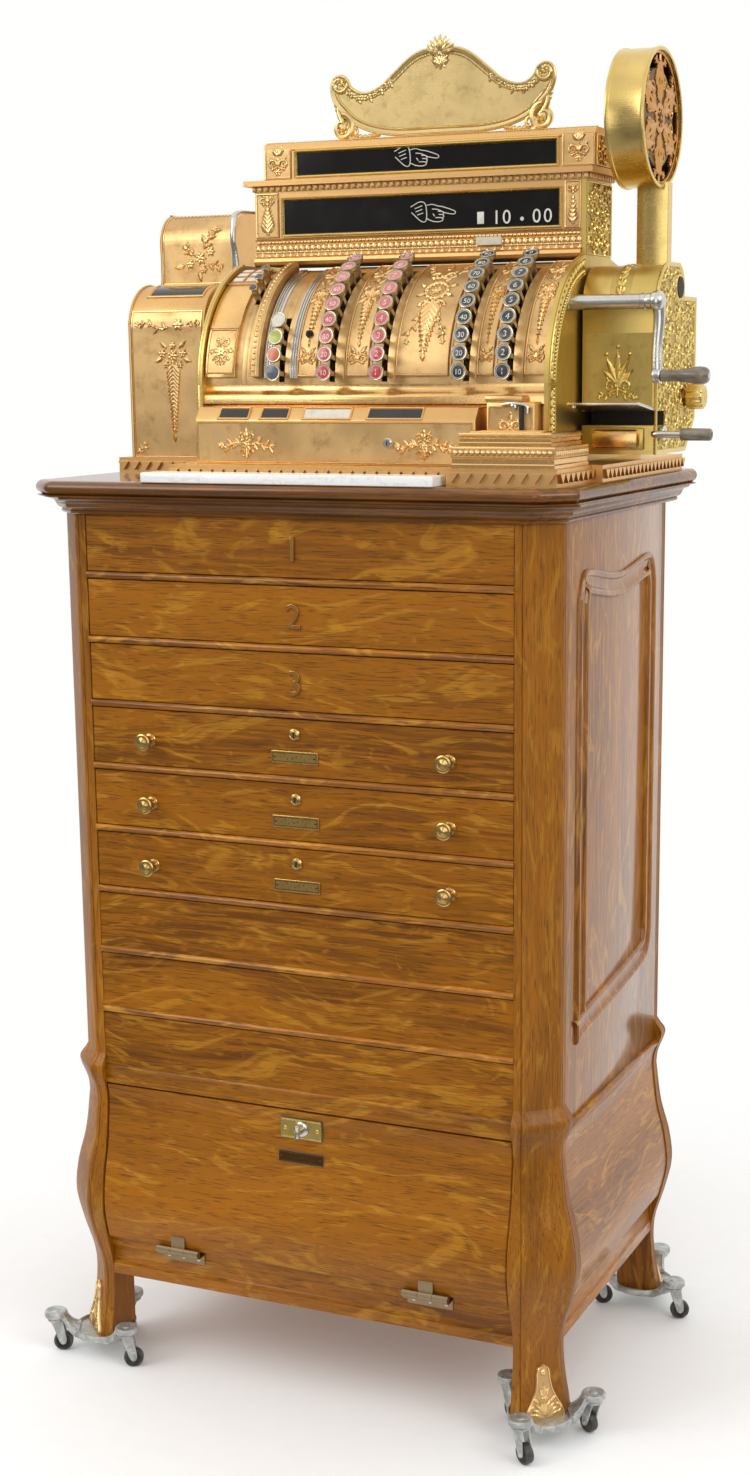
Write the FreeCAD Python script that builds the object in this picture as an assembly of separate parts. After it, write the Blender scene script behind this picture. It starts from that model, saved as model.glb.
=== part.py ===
import FreeCAD, Part
import os
from math import acos, cos, degrees, pi, radians, sin, sqrt

# Ticket register on its own oak cash-drawer cabinet, standing on four caster dollies.
# Millimetres. The origin is the centre of the case on the floor, +X is a customer's right,
# -Y is the front and +Z is up.

V = FreeCAD.Vector

# Fits
slide_gap = 0.3
running_gap = 0.05
overrun = 2.0
round_sides = 12
small_sides = 10
pin_sides = 6
swell_steps = 14
waist_steps = 5
curve_steps = 7

# Oak case
case_width = 608.0
case_depth = 421.0
case_top_z = 1050.0
foot_z = 28.0
apron_z = 112.0
post_face = 44.0
stile_width = 13.0
corner_cut = 31.0
post_depth = 45.5
panel_thickness = 14.0
panel_reveal = 1.5

# Swell of the lower case: heights as shares of the lower case, distances as shares of the swell
swell = 20.0
foot_flare = 9.0
neck_z = 333.0
leg_shares = [(0.0, 0.0), (0.06, -0.25), (0.15, -0.75), (0.25, -1.0)]
belly_shares = [(0.25, 0.0), (0.335, 0.12), (0.45, 0.62), (0.575, 1.0), (0.70, 0.82), (0.84, 0.3), (1.0, 0.0)]
waist_swell = 9.0
waist_shares = [(0.0, 0.0), (0.25, 0.2), (0.6, 1.0), (0.75, 1.0), (0.9, 0.35), (1.0, 0.0)]
waist_top_z = 392.0
cant_share = 0.4
rear_cant_share = 0.2

# Drawers
cell_pitch = 73.4
cell_count = 9
blank_count = 3
record_count = 3
first_board_z = 374.6
board_thickness = 8.0
bead_proud = 2.5
front_gap = 1.0
front_thickness = 18.0
front_setback = 1.0
box_side = 10.0
box_length = 340.0
box_side_height = 50.0
box_play = 6.0
box_bottom = 5.0
guide_height = 9.0
back_thickness = 10.0

# Drawer furniture
knob_spread = 370.0
knob_radius = 10.0
knob_length = 21.0
knob_neck_radius = 4.5
knob_foot_radius = 8.0
knob_drop = 3.0
lock_radius = 7.0
lock_length = 3.0
lock_above = 15.0
plate_width = 58.0
plate_height = 14.0
plate_thickness = 1.6
plate_below = 11.0

# Drop door, its hinges, lock plate and thumb turn
door_bottom_z = 163.0
door_top_z = 354.0
door_thickness = 16.0
door_gap = 1.5
hinge_spread = 320.0
hinge_length = 56.0
hinge_barrel_radius = 4.5
hinge_pin_radius = 2.4
hinge_leaf = 2.0
hinge_leaf_width = 18.0
hinge_clear = 1.0
lock_plate_width = 54.0
lock_plate_height = 26.0
turn_radius = 9.0
turn_stem_radius = 4.0
turn_length = 15.0
turn_bar = 5.0
turn_plate_drop = 34.0

# Rails and mouldings of the case
waist_rail_z = 356.0
rail_depth = 40.0
side_bead = 10.0
side_bead_proud = 6.0
cornice_z = 1030.0
cornice_step = 6.0
cornice_proud = 20.0
counter_thickness = 18.0
counter_overhang = 27.0
counter_rear = 5.0
counter_round = 7.0
floor_board = 12.0

# Raised moulding of the side panels
moulding_width = 28.0
moulding_proud = 5.0
moulding_front_inset = 73.5
moulding_rear_inset = 76.5
moulding_low = 450.0
moulding_high = 978.0
moulding_dip = 34.0

# Change slab
slab_left = -172.0
slab_right = 178.0
slab_front = 3.0
slab_depth = 37.0
slab_thickness = 11.0

# Register base, with the toothed edge that runs round it
base_thickness = 18.0
base_set_in = 18.5
base_back = 197.0
base_right = 318.0
base_left = 312.0
tooth_pitch = 14.0
tooth_depth = 4.0
tooth_gap_share = 0.04
cast_wall = 5.0

# Register body
body_left = -149.0
body_right = 270.0
body_back = 185.0
end_plate = 5.0
key_axis_z = 1172.0
key_face_radius = 153.0
plate_radius = 133.0
plate_shell = 3.0
panel_rise = 4.0
end_rise = 5.0
plate_top_angle = 79.0
sill_height = 22.0
sill_proud = 7.0

# Keys
cap_radius = 9.2
cap_length = 8.0
stem_width = 6.0
stem_height = 5.0
stem_length = 38.0
first_key_angle = 5.0
key_step_angle = 7.45
bank_count = 9
bank_places = [14.0, 77.0, 173.0, 223.0]
transaction_place = -48.0
transaction_count = 4
clerk_place = -95.0
clerk_count = 3
clerk_first_angle = 46.0
clerk_radius = 5.2
clerk_face_radius = 149.0
rim_width = 14.0
panel_places = [(-28.0, -4.0), (31.0, 59.0), (91.0, 153.0), (186.0, 205.0), (240.0, 264.0)]

# Indicator head
head_front = 21.0
head_back = 64.0
head_left = -133.0
head_foot_z = 1306.0
head_top_z = 1388.0
head_wall = 4.0
glass_left = -98.0
glass_right = 241.0
glass_low_z = 1338.0
glass_high_z = 1380.0
glass_thickness = 3.0
cornice_out = 10.0
cornice_height = 12.0
dentil = 4.0
upper_front = 6.0
upper_back = 58.0
upper_height = 43.0
upper_glass_left = -88.0
upper_glass_right = 232.0
upper_glass_height = 29.0
upper_round = 12.0
back_wall_z = 1272.0
drum_radius = 21.0
drum_width = 12.0
drum_figures = 10
drum_shaft_radius = 4.0
drum_places = [163.0, 178.0, 213.0, 228.0]
drum_axis_back = 8.0
drum_axis_z = 1357.0

# Top sign
sign_centre = 78.0
sign_half = 136.0
sign_height = 100.0
sign_foot = 15.0
sign_thickness = 5.0
sign_back = 30.0
sign_shares = [(0.35, 0.0), (0.6, 0.05), (0.78, 0.15), (0.9, 0.3), (0.97, 0.42), (1.0, 0.56), (0.98, 0.68)]
sign_shares += [(0.92, 0.72), (0.86, 0.68), (0.82, 0.58), (0.74, 0.51), (0.64, 0.51), (0.53, 0.58), (0.42, 0.71)]
sign_shares += [(0.3, 0.85), (0.2, 0.93), (0.08, 0.97)]

# Till band, latch block and ticket box in front of the keys
band_front = 165.0
band_left = -139.0
band_right = 198.0
band_top_z = 1148.0
band_slope = 14.0
band_lean = 10.0
band_window_depth = 2.0
window_shares = [(0.08, 0.20), (0.235, 0.345), (0.39, 0.57), (0.62, 0.82)]
latch_left = 208.0
latch_right = 262.0
latch_front = 158.0
latch_top_z = 1160.0
ticket_left = 187.0
ticket_right = 302.0
ticket_front = 206.0
ticket_margin = 4.0
ticket_box_height = 23.0
ticket_lid_height = 14.0
ticket_lid_inset = 6.0
ticket_tail = 100.0

# Recorder cabinet at the left
recorder_left = 300.0
recorder_right = 196.0
recorder_front = 36.0
recorder_shoulder_z = 1232.0
recorder_step_z = 1290.0
recorder_upper_front = 45.0
recorder_top_z = 1372.0
recorder_round = 34.0
recorder_link_top_z = 1262.0
recorder_link_front = 70.0

# Crank
crank_axis_front = 72.0
crank_axis_z = 1256.0
crank_tube_radius = 8.5
crank_tube_end = 355.0
crank_shaft_radius = 5.4
crank_head_radius = 11.0
crank_arm = 77.0
crank_arm_width = 11.0
crank_arm_thickness = 8.0
crank_grip_length = 52.0
crank_grip_radius = 9.0
crank_grip_neck = 6.0
crank_pin_radius = 3.0
crank_shaft_inside = 30.0

# Slip printer at the right
printer_left = 274.0
printer_right = 358.0
printer_plate = 4.0
printer_front = 46.0
printer_low_z = 1095.0
printer_top_z = 1299.0
printer_round = 45.0
printer_step_z = 1264.0
printer_step_back = 52.0
printer_back = 100.0
printer_eye_radius = 11.0
printer_eye_z = 1273.0
printer_eye_back = 34.0
slot_low_z = 1126.0
slot_height = 15.0
slot_depth = 34.0
slip_table_z = 1141.0
slip_table_reach = 58.0
slip_table_thickness = 2.5
slip_table_tilt = 8.0
slip_lever_z = 1118.0
slip_lever_front = 76.0
slip_lever_radius = 4.0
slip_grip_radius = 6.5
slip_grip_length = 34.0
slip_lever_reach = 430.0
platen_height = 20.0
platen_proud = 14.0
ink_knob_z = 1155.0
ink_knob_back = 62.0
ink_knob_radius = 14.0
ink_knob_length = 20.0
ink_knob_flutes = 12
ink_flute_share = 0.08
ink_shaft_radius = 4.0
ink_shaft_inside = 12.0

# Paper reel over the printer
reel_back = 35.0
reel_z = 1452.0
reel_radius = 74.0
reel_wall = 4.0
reel_left = 294.0
reel_right = 338.0
rosette_thickness = 2.5
rosette_setback = 3.0
rosette_petals = 8
rosette_hub = 14.0
petal_shares = [(0.0, 0.0), (0.25, 0.4), (0.6, 0.72), (0.85, 0.55), (1.0, 0.0)]
column_left = 306.0
column_right = 342.0
column_front = 44.0
column_thickness = 16.0
paper_radius = 52.0
spindle_radius = 6.0

# Dollies
dolly_side_inset = 17.0
dolly_front_inset = 18.5
dolly_reach = 60.0
cup_radius = 38.5
cup_floor = 6.0
arm_width = 22.0
arm_root = 5.0
pad_radius = 14.0
pad_z = 44.0
pad_thickness = 8.0
dolly_phases = {"front_right": -92.0, "front_left": -33.0, "rear_right": -33.0, "rear_left": 150.0}
wheel_radius = 12.0
wheel_width = 9.0
wheel_axle_radius = 2.5
fork_gap = 0.6
fork_cheek = 2.0
fork_top = 4.0
fork_radius = 11.0
fork_stem_radius = 4.0
fork_trail = 8.0

# Brass sabots on the feet
sabot_thickness = 2.2
sabot_top_z = 92.0
sabot_half_low = 22.0
sabot_shares = [(0.0, 1.0), (0.25, 0.84), (0.55, 0.6), (0.85, 0.4), (0.95, 0.28), (1.0, 0.1)]

half_width = case_width / 2
half_depth = case_depth / 2
opening_width = case_width - 2 * post_face
half_opening = opening_width / 2
base_front = half_depth - base_set_in
counter_z = case_top_z + counter_thickness
base_z = counter_z + base_thickness
head_z = head_top_z + cornice_height
upper_top_z = head_z + upper_height
board_inner = half_width - panel_thickness


def box(x0, x1, y0, y1, z0, z1):
    """Axis-aligned block between two corners."""
    return Part.makeBox(x1 - x0, y1 - y0, z1 - z0, V(x0, y0, z0))


def rod(centre, direction, radius, length):
    """Cylinder that starts at centre and runs along direction."""
    return Part.makeCylinder(radius, length, centre, direction)


def loop(points):
    """Closed polygon wire."""
    return Part.makePolygon(points + [points[0]])


def slab(points, run):
    """Solid swept from a flat polygon along a straight run."""
    return Part.Face(loop(points)).extrude(run)


def outline(edges, run):
    """Solid swept from a flat closed outline of edges."""
    wire = Part.Wire(Part.__sortEdges__(edges))
    return Part.Face(wire).extrude(run)


def segment(a, b):
    """Straight edge."""
    return Part.LineSegment(a, b).toShape()


def bow(a, m, b):
    """Circular edge from a through m to b."""
    return Part.Arc(a, m, b).toShape()


def curve(points):
    """Smooth edge through points."""
    spline = Part.BSplineCurve()
    spline.interpolate(points)
    return spline.toShape()


def sampled(points, count):
    """Points spread along a smooth curve through the given ones."""
    spline = Part.BSplineCurve()
    spline.interpolate(points)
    first = spline.FirstParameter
    run = spline.LastParameter - first
    return [spline.value(first + run * index / count) for index in range(count + 1)]


def ring(centre, direction, radius, sides):
    """Corners of a regular polygon square to a direction."""
    axis = V(direction).normalize()
    first = V(0, 0, 1) if abs(axis.z) < abs(axis.x) + abs(axis.y) else V(1, 0, 0)
    second = axis.cross(first)
    angles = [2 * pi * (index + 0.5) / sides for index in range(sides)]
    return [centre + first * (radius * cos(angle)) + second * (radius * sin(angle)) for angle in angles]


def prism(centre, direction, radius, length, sides=round_sides):
    """Many-sided rod that starts at centre and runs along direction."""
    run = V(direction).normalize() * length
    return slab(ring(centre, direction, radius, sides), run)


def turned(centre, direction, stations, sides=small_sides):
    """Many-sided turned piece; stations hold the distance along the axis and the radius."""
    axis = V(direction).normalize()
    wires = [loop(ring(centre + axis * along, axis, radius, sides)) for along, radius in stations]
    return Part.makeLoft(wires, True, True)


def bore_radius(radius, sides):
    """Radius of a many-sided bore in which a many-sided stem of a radius turns freely."""
    return (radius + running_gap) / cos(pi / sides)


def fused(shapes):
    """One solid from touching or crossing shapes."""
    whole = shapes[0].multiFuse(shapes[1:]) if len(shapes) > 1 else shapes[0]
    return whole.removeSplitter()


def group(shapes):
    """Separate solids kept in one node."""
    return Part.makeCompound(shapes)


def save(name, shape):
    """Write one sub-part."""
    shape.exportStep("parts/" + name + ".step")


def mirrored(shape, across_x, across_y):
    """Copy of a shape mirrored across the case's centre planes."""
    result = shape.copy()
    if across_x:
        result = result.mirror(V(0, 0, 0), V(1, 0, 0))
    if across_y:
        result = result.mirror(V(0, 0, 0), V(0, 1, 0))
    return result


def lower_swell():
    """Heights of the lower case and how far it stands out there."""
    rise = neck_z - foot_z
    table = []
    for height, share in leg_shares:
        table.append(V(foot_flare * (1 + share), 0, foot_z + height * rise))
    for height, share in belly_shares[1:]:
        table.append(V(swell * share, 0, foot_z + height * rise))
    return [(point.z, point.x) for point in sampled(table, swell_steps)]


def waist_places():
    """Heights of the waist and how far it stands out there."""
    rise = waist_top_z - neck_z
    table = [V(waist_swell * share, 0, neck_z + height * rise) for height, share in waist_shares]
    return [(point.z, point.x) for point in sampled(table, waist_steps)]


def post_section(z, out, extra=0):
    """Section of the front right post with its canted corner."""
    reach = out + extra
    back = -half_depth + post_depth
    points = [V(half_opening, -half_depth - reach, z)]
    points.append(V(half_opening + stile_width + reach * cant_share, -half_depth - reach, z))
    points.append(V(half_width + reach, -half_depth + corner_cut - reach * cant_share, z))
    points.append(V(half_width + reach, back, z))
    points.append(V(half_opening, back, z))
    return loop(points)


def post():
    """Front right post: cabriole foot, belly, waist and straight stile."""
    places = lower_swell() + waist_places()[1:] + [(case_top_z, 0)]
    return Part.makeLoft([post_section(z, out) for z, out in places], True, True)


def corner_posts():
    """Four posts, alike across both centre planes."""
    one = post()
    return group([mirrored(one, x, y) for x in (False, True) for y in (False, True)])


def sabot():
    """Cast brass shield on the outer corner of the front right foot."""
    places = [place for place in lower_swell() if place[0] < sabot_top_z * 1.3]
    outer = Part.makeLoft([post_section(z, out, sabot_thickness) for z, out in places], True, True)
    inner = Part.makeLoft([post_section(z, out) for z, out in places], True, True)
    skin = outer.cut(inner)
    corner = V(half_width - corner_cut / 2, -half_depth + corner_cut / 2, 0)
    across = V(1, 1, 0).normalize()
    inward = V(-1, 1, 0).normalize()
    start = corner - inward * (corner_cut + swell)
    rise = sabot_top_z - foot_z
    points = []
    for height, half in sabot_shares:
        points.append(start + across * (sabot_half_low * half) + V(0, 0, foot_z + rise * height))
    for height, half in sabot_shares[::-1]:
        points.append(start - across * (sabot_half_low * half) + V(0, 0, foot_z + rise * height))
    shield = slab(points, inward * (corner_cut + swell * 1.2))
    pieces = skin.common(shield).Solids
    return max(pieces, key=lambda solid: solid.Volume)


def sabots():
    """Four sabots."""
    one = sabot()
    return group([mirrored(one, x, y) for x in (False, True) for y in (False, True)])


def belly_profile(z0, z1, inset):
    """Points of the swelled face between two heights, as distance out from the case plane."""
    table = lower_swell() + [(waist_top_z, 0)]
    heights = [z0] + [z for z, out in table if z0 + overrun < z < z1 - overrun] + [z1]
    return [(swell_at(z) - inset, z) for z in heights]


def swell_at(height):
    """How far the lower case stands out at one height."""
    table = lower_swell() + [(waist_top_z, 0)]
    for (za, oa), (zb, ob) in zip(table, table[1:]):
        if za <= height <= zb:
            return oa + (ob - oa) * (height - za) / (zb - za)
    return 0


def bombe_sides():
    """Swelled lower side panels between the posts."""
    profile = belly_profile(door_bottom_z, waist_rail_z, panel_reveal)
    length = case_depth - 2 * post_depth
    start = -length / 2
    outer = [V(half_width + out, start, z) for out, z in profile]
    inner = [point - V(panel_thickness, 0, 0) for point in outer]
    one = slab(outer + inner[::-1], V(0, length, 0))
    return [one, mirrored(one, True, False)]


def case_panels():
    """Flat upper side boards, swelled lower ones, back board and floor board."""
    length = case_depth - 2 * post_depth
    side = box(board_inner, half_width, -length / 2, length / 2, waist_rail_z + side_bead, case_top_z)
    back_y = half_depth - post_depth + back_thickness
    rear = box(-half_opening, half_opening, back_y, back_y + back_thickness, apron_z, case_top_z)
    floor = box(-half_opening, half_opening, -half_depth + rail_depth, back_y, apron_z, apron_z + floor_board)
    return group([side, mirrored(side, True, False), rear, floor] + bombe_sides())


def moulding_path(shift):
    """Closed serpentine of the side moulding, drawn shift inside its outer edge."""
    y0 = moulding_front_inset - half_depth + shift
    y1 = half_depth - moulding_rear_inset - shift
    z0 = moulding_low + shift
    z1 = moulding_high - shift
    x = half_width
    mid = (y0 + y1) / 2
    turn = moulding_dip / 2
    top = [V(x, y0, z1 - turn * 2), V(x, y0 + turn * 0.7, z1 - turn * 0.5), V(x, y0 + turn * 2, z1 - turn * 0.1)]
    top += [V(x, mid, z1 - turn * 0.8), V(x, y1 - turn * 2, z1 - turn * 0.1), V(x, y1 - turn * 0.7, z1 - turn * 0.5)]
    top.append(V(x, y1, z1 - turn * 2))
    low = [V(x, y1, z0 + turn * 4), V(x, y1 - turn * 0.7, z0 + turn * 2.4), V(x, y1 - turn * 2.5, z0 + turn * 1.7)]
    low += [V(x, mid, z0 + turn), V(x, y0 + turn * 1.5, z0 + turn * 0.3), V(x, y0, z0)]
    return sampled(top, curve_steps * 2) + sampled(low, curve_steps * 2)


def panel_mouldings():
    """Raised serpentine frame on each side board."""
    outer = slab(moulding_path(0), V(moulding_proud, 0, 0))
    inner = slab(moulding_path(moulding_width), V(moulding_proud + overrun, 0, 0))
    one = outer.cut(inner)
    return [one, mirrored(one, True, False)]


def case_mouldings():
    """Raised frames of the sides and the cornice under the counter."""
    return group(panel_mouldings() + [cornice()])


def board_z(index):
    """Height of the middle of a dust board."""
    return first_board_z + index * cell_pitch


def dust_board(index):
    """Board between two drawers, with the bead on its front edge and the drawer guides."""
    low = board_z(index) - board_thickness / 2
    high = low + board_thickness
    front = -half_depth
    behind = -half_depth + post_depth
    back = half_depth - post_depth
    nose = box(-half_opening, half_opening, front, behind, low, high)
    deck = box(-board_inner, board_inner, behind, back, low, high)
    bead_centre = V(-half_opening, front + board_thickness / 2 - bead_proud, low + board_thickness / 2)
    bead = prism(bead_centre, V(1, 0, 0), board_thickness / 2, opening_width, small_sides)
    parts = [nose, deck, bead] if index < cell_count else [nose, deck]
    if index < cell_count and index >= blank_count:
        inner = half_opening - box_play + slide_gap
        for side in (-1, 1):
            x0 = min(side * inner, side * half_opening)
            x1 = max(side * inner, side * half_opening)
            parts.append(box(x0, x1, behind, back - front_thickness, high, high + guide_height))
    return fused(parts)


def dust_boards():
    """All boards of the drawer case, from the waist to the top."""
    return group([dust_board(index) for index in range(1, cell_count + 1)])


def waist_rails():
    """Rail over the drop door, and the side rails with their bead."""
    top = board_z(0) + board_thickness / 2
    y0 = -half_depth - bead_proud
    y1 = -half_depth + rail_depth
    low = waist_rail_z + bead_proud
    high = top - bead_proud
    points = [(y0, low), (y0, high), (-half_depth, top), (y1, top), (y1, waist_rail_z)]
    points.append((-half_depth, waist_rail_z))
    front = slab([V(-half_opening, y, z) for y, z in points], V(opening_width, 0, 0))
    deck = box(-half_opening, half_opening, y1, half_depth - post_depth, top - board_thickness, top)
    length = case_depth - 2 * post_depth
    centre = V(half_width + side_bead_proud - side_bead / 2, -length / 2, waist_rail_z + side_bead / 2)
    rail = box(board_inner, half_width, -length / 2, length / 2, waist_rail_z, waist_rail_z + side_bead)
    bead = prism(centre, V(0, 1, 0), side_bead / 2, length)
    side = fused([rail, bead])
    return [fused([front, deck]), side, mirrored(side, True, False)]


def base_rails():
    """Bottom rails of the case between the feet, each with a sunk field."""
    top = door_bottom_z - door_gap
    margin = panel_thickness
    front = box(-half_opening, half_opening, -half_depth, -half_depth + rail_depth, apron_z, top)
    recess = box(-half_opening, half_opening, -half_depth - overrun, -half_depth + bead_proud * 2,
                 apron_z + margin, top - margin)
    front = front.cut(recess)
    length = case_depth - 2 * post_depth
    side = box(board_inner, half_width, -length / 2, length / 2, apron_z, door_bottom_z)
    side_recess = box(half_width - bead_proud, half_width + overrun, -length / 2, length / 2,
                      apron_z + margin, door_bottom_z - margin)
    side = side.cut(side_recess)
    return [front, side, mirrored(side, True, False)]


def case_rails():
    """Rails over and under the drop door and along the sides."""
    return group(waist_rails() + base_rails())


def blank_fronts():
    """Three fixed fronts under the drawers, each let in between the posts on its board."""
    fronts = []
    for index in range(blank_count):
        low = board_z(index) + board_thickness / 2
        high = board_z(index + 1) - board_thickness / 2 - front_gap
        y0 = -half_depth + front_setback
        fronts.append(box(-half_opening, half_opening, y0, y0 + front_thickness, low, high))
    return group(fronts)


def drawer_front(index):
    """Front board of one cell."""
    low = board_z(index) + board_thickness / 2 + front_gap
    high = board_z(index + 1) - board_thickness / 2 - front_gap
    y0 = -half_depth + front_setback
    return box(-half_opening + front_gap, half_opening - front_gap, y0, y0 + front_thickness, low, high)


def drawer(index):
    """Drawer box of separate boards: front, two sides, back and bottom."""
    front = drawer_front(index)
    y0 = -half_depth + front_setback + front_thickness
    y1 = y0 + box_length
    low = board_z(index) + board_thickness / 2 + slide_gap
    high = low + box_side_height
    x1 = half_opening - box_play
    x0 = x1 - box_side
    right = box(x0, x1, y0, y1, low, high)
    back = box(-x0, x0, y1 - box_side, y1, low, high)
    bottom = box(-x0, x0, y0, y1 - box_side, low + box_bottom, low + 2 * box_bottom)
    return group([front, right, mirrored(right, True, False), back, bottom])


def knob():
    """Turned brass knob whose foot is at the origin and whose face looks to -Y."""
    stations = [(0, knob_foot_radius), (plate_thickness, knob_foot_radius)]
    stations += [(plate_thickness * 2, knob_neck_radius)]
    stations += [(knob_length * 0.5, knob_neck_radius), (knob_length * 0.72, knob_radius)]
    stations += [(knob_length * 0.87, knob_radius), (knob_length, knob_radius * 0.6)]
    return turned(V(0, 0, 0), V(0, -1, 0), stations)


def drawer_hardware(index):
    """Two knobs, a lock rose and a small name plate on one record drawer."""
    face = -half_depth + front_setback
    middle = (board_z(index) + board_z(index + 1)) / 2
    pieces = []
    for side in (-1, 1):
        one = knob()
        one.translate(V(side * knob_spread / 2, face, middle - knob_drop))
        pieces.append(one)
    pieces.append(prism(V(0, face, middle + lock_above), V(0, -1, 0), lock_radius, lock_length))
    low = middle - plate_below - plate_height / 2
    pieces.append(box(-plate_width / 2, plate_width / 2, face - plate_thickness, face, low, low + plate_height))
    return group(pieces)


def door_face(z):
    """Distance of the drop door's face in front of the case plane at a height."""
    table = belly_profile(door_bottom_z, door_top_z, panel_reveal)
    for (oa, za), (ob, zb) in zip(table, table[1:]):
        if za <= z <= zb:
            return oa + (ob - oa) * (z - za) / (zb - za)
    return 0


def hinge_axis():
    """Place of the door's hinge axis in front of the case and over the floor."""
    out = door_face(door_bottom_z) + hinge_barrel_radius + hinge_clear
    return V(0, -half_depth - out, door_bottom_z - door_gap / 2)


def drop_door():
    """Swelled front that drops on its hinges."""
    x0 = -half_opening + door_gap
    outer = [V(x0, -half_depth - out, z) for out, z in belly_profile(door_bottom_z, door_top_z, panel_reveal)]
    inner = [point + V(0, door_thickness, 0) for point in outer]
    return slab(outer + inner[::-1], V(opening_width - 2 * door_gap, 0, 0))


def hinge_places():
    """Left ends of the two hinges."""
    return [side * hinge_spread / 2 - hinge_length / 2 for side in (-1, 1)]


def door_hinges():
    """Fixed leaves under the door, with their pins and outer knuckles."""
    axis = hinge_axis()
    pieces = []
    third = hinge_length / 3
    under = axis.z - hinge_barrel_radius
    for x in hinge_places():
        leaf = box(x, x + hinge_length, -half_depth - hinge_leaf, -half_depth, axis.z - hinge_leaf_width, under)
        web = box(x, x + hinge_length, axis.y, -half_depth, under - hinge_leaf, under)
        parts = [leaf, web]
        for start in (x, x + 2 * third):
            parts.append(prism(V(start, axis.y, axis.z), V(1, 0, 0), hinge_barrel_radius, third, small_sides))
            parts.append(box(start, start + third, axis.y, axis.y + hinge_leaf, under, axis.z))
        parts.append(prism(V(x, axis.y, axis.z), V(1, 0, 0), hinge_pin_radius, hinge_length, pin_sides))
        pieces.append(fused(parts))
    return group(pieces)


def door_hardware():
    """Moving hinge leaves, lock plate and name plate on the drop door."""
    axis = hinge_axis()
    third = hinge_length / 3
    pieces = []
    for x in hinge_places():
        start = x + third + slide_gap
        length = third - 2 * slide_gap
        knuckle = prism(V(start, axis.y, axis.z), V(1, 0, 0), hinge_barrel_radius, length, small_sides)
        leaf = box(start, start + length, axis.y, axis.y + hinge_leaf, axis.z, axis.z + hinge_leaf_width)
        bore = prism(V(start - overrun, axis.y, axis.z), V(1, 0, 0), bore_radius(hinge_pin_radius, pin_sides),
                     third + overrun * 2, pin_sides)
        pieces.append(fused([knuckle, leaf]).cut(bore).cut(drop_door()))
    pieces.append(lock_plate())
    pieces.append(tangent_plate(lock_plate_z() - turn_plate_drop, plate_width, plate_height))
    return group(pieces)


def lock_plate_z():
    """Height of the lock plate's middle."""
    return door_top_z - lock_plate_height * 0.8


def tangent_plate(z, width, height):
    """Flat plate let against the swelled door at one height."""
    low = -half_depth - door_face(z - height / 2)
    high = -half_depth - door_face(z + height / 2)
    x0 = -width / 2
    points = [V(x0, low - plate_thickness, z - height / 2), V(x0, high - plate_thickness, z + height / 2)]
    points += [V(x0, high + plate_thickness, z + height / 2), V(x0, low + plate_thickness, z - height / 2)]
    solids = slab(points, V(width, 0, 0)).cut(drop_door()).Solids
    return min(solids, key=lambda solid: solid.CenterOfMass.y)


def lock_plate():
    """Plate round the thumb turn, bored for its stem."""
    z = lock_plate_z()
    bore = rod(V(0, -half_depth - swell * 2, z), V(0, 1, 0), turn_stem_radius + running_gap, swell * 3)
    return tangent_plate(z, lock_plate_width, lock_plate_height).cut(bore)


def door_latch_turn():
    """Thumb turn of the door lock."""
    z = lock_plate_z()
    face = -half_depth - door_face(z) - plate_thickness
    gap = slide_gap + plate_thickness / 2 + door_face(z - turn_radius) - door_face(z)
    front = V(0, face - gap, z)
    rose = prism(front, V(0, -1, 0), turn_radius, plate_thickness)
    stem = rod(front + V(0, gap, 0), V(0, -1, 0), turn_stem_radius, gap + plate_thickness)
    bar = box(-turn_bar / 2, turn_bar / 2, front.y - turn_length, front.y, z - turn_radius, z + turn_radius)
    return fused([rose, stem, bar])


def case_outline(out, z, rear_out):
    """Plan of the case with canted front corners, drawn out by a distance."""
    x = half_width + out
    y = half_depth + out
    cut = corner_cut + out * rear_cant_share
    points = [V(-x + cut, -y, z), V(x - cut, -y, z), V(x, -y + cut, z), V(x, half_depth + rear_out, z)]
    points += [V(-x, half_depth + rear_out, z), V(-x, -y + cut, z)]
    return loop(points)


def cornice():
    """Stepped moulding under the counter, mitred round the canted corners."""
    steps = [(cornice_z, slide_gap + bead_proud), (cornice_z + cornice_step, cornice_proud * 0.35)]
    steps += [(case_top_z - cornice_step, cornice_proud * 0.6), (case_top_z, cornice_proud)]
    body = Part.makeLoft([case_outline(out, z, 0) for z, out in steps], True, True)
    inner = Part.Face(case_outline(0, cornice_z - overrun, overrun * 5)).extrude(V(0, 0, case_top_z))
    return body.cut(inner)


def counter_top():
    """Oak counter with a rounded edge and canted front corners."""
    plan = Part.Face(case_outline(counter_overhang, case_top_z, counter_rear)).extrude(V(0, 0, counter_thickness))
    rounds = []
    for edge in plan.Edges:
        bound = edge.BoundBox
        if bound.ZLength < slide_gap and bound.YMin < half_depth:
            rounds.append(edge)
    return plan.makeFillet(counter_round, rounds)


def change_slab():
    """Pale stone slab lying on the counter in front of the register."""
    y0 = -half_depth - counter_overhang + slab_front
    plate = box(slab_left, slab_right, y0, y0 + slab_depth, counter_z, counter_z + slab_thickness)
    corners = [edge for edge in plate.Edges if edge.BoundBox.ZLength > slab_thickness / 2]
    return plate.makeFillet(slab_front, corners)


def base_plan():
    """Corners of the register base, anticlockwise from the front left."""
    left = body_left - end_plate * 2
    recorder_y = -recorder_front - end_plate * 2
    points = [(left, -base_front), (ticket_left - ticket_margin, -base_front)]
    points += [(ticket_left - ticket_margin, -ticket_front - ticket_margin)]
    points += [(ticket_right + ticket_margin, -ticket_front - ticket_margin)]
    points += [(ticket_right + ticket_margin, -ticket_tail), (base_right, -ticket_tail)]
    points += [(base_right, base_back), (-base_left, base_back), (-base_left, recorder_y), (left, recorder_y)]
    return points


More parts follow.
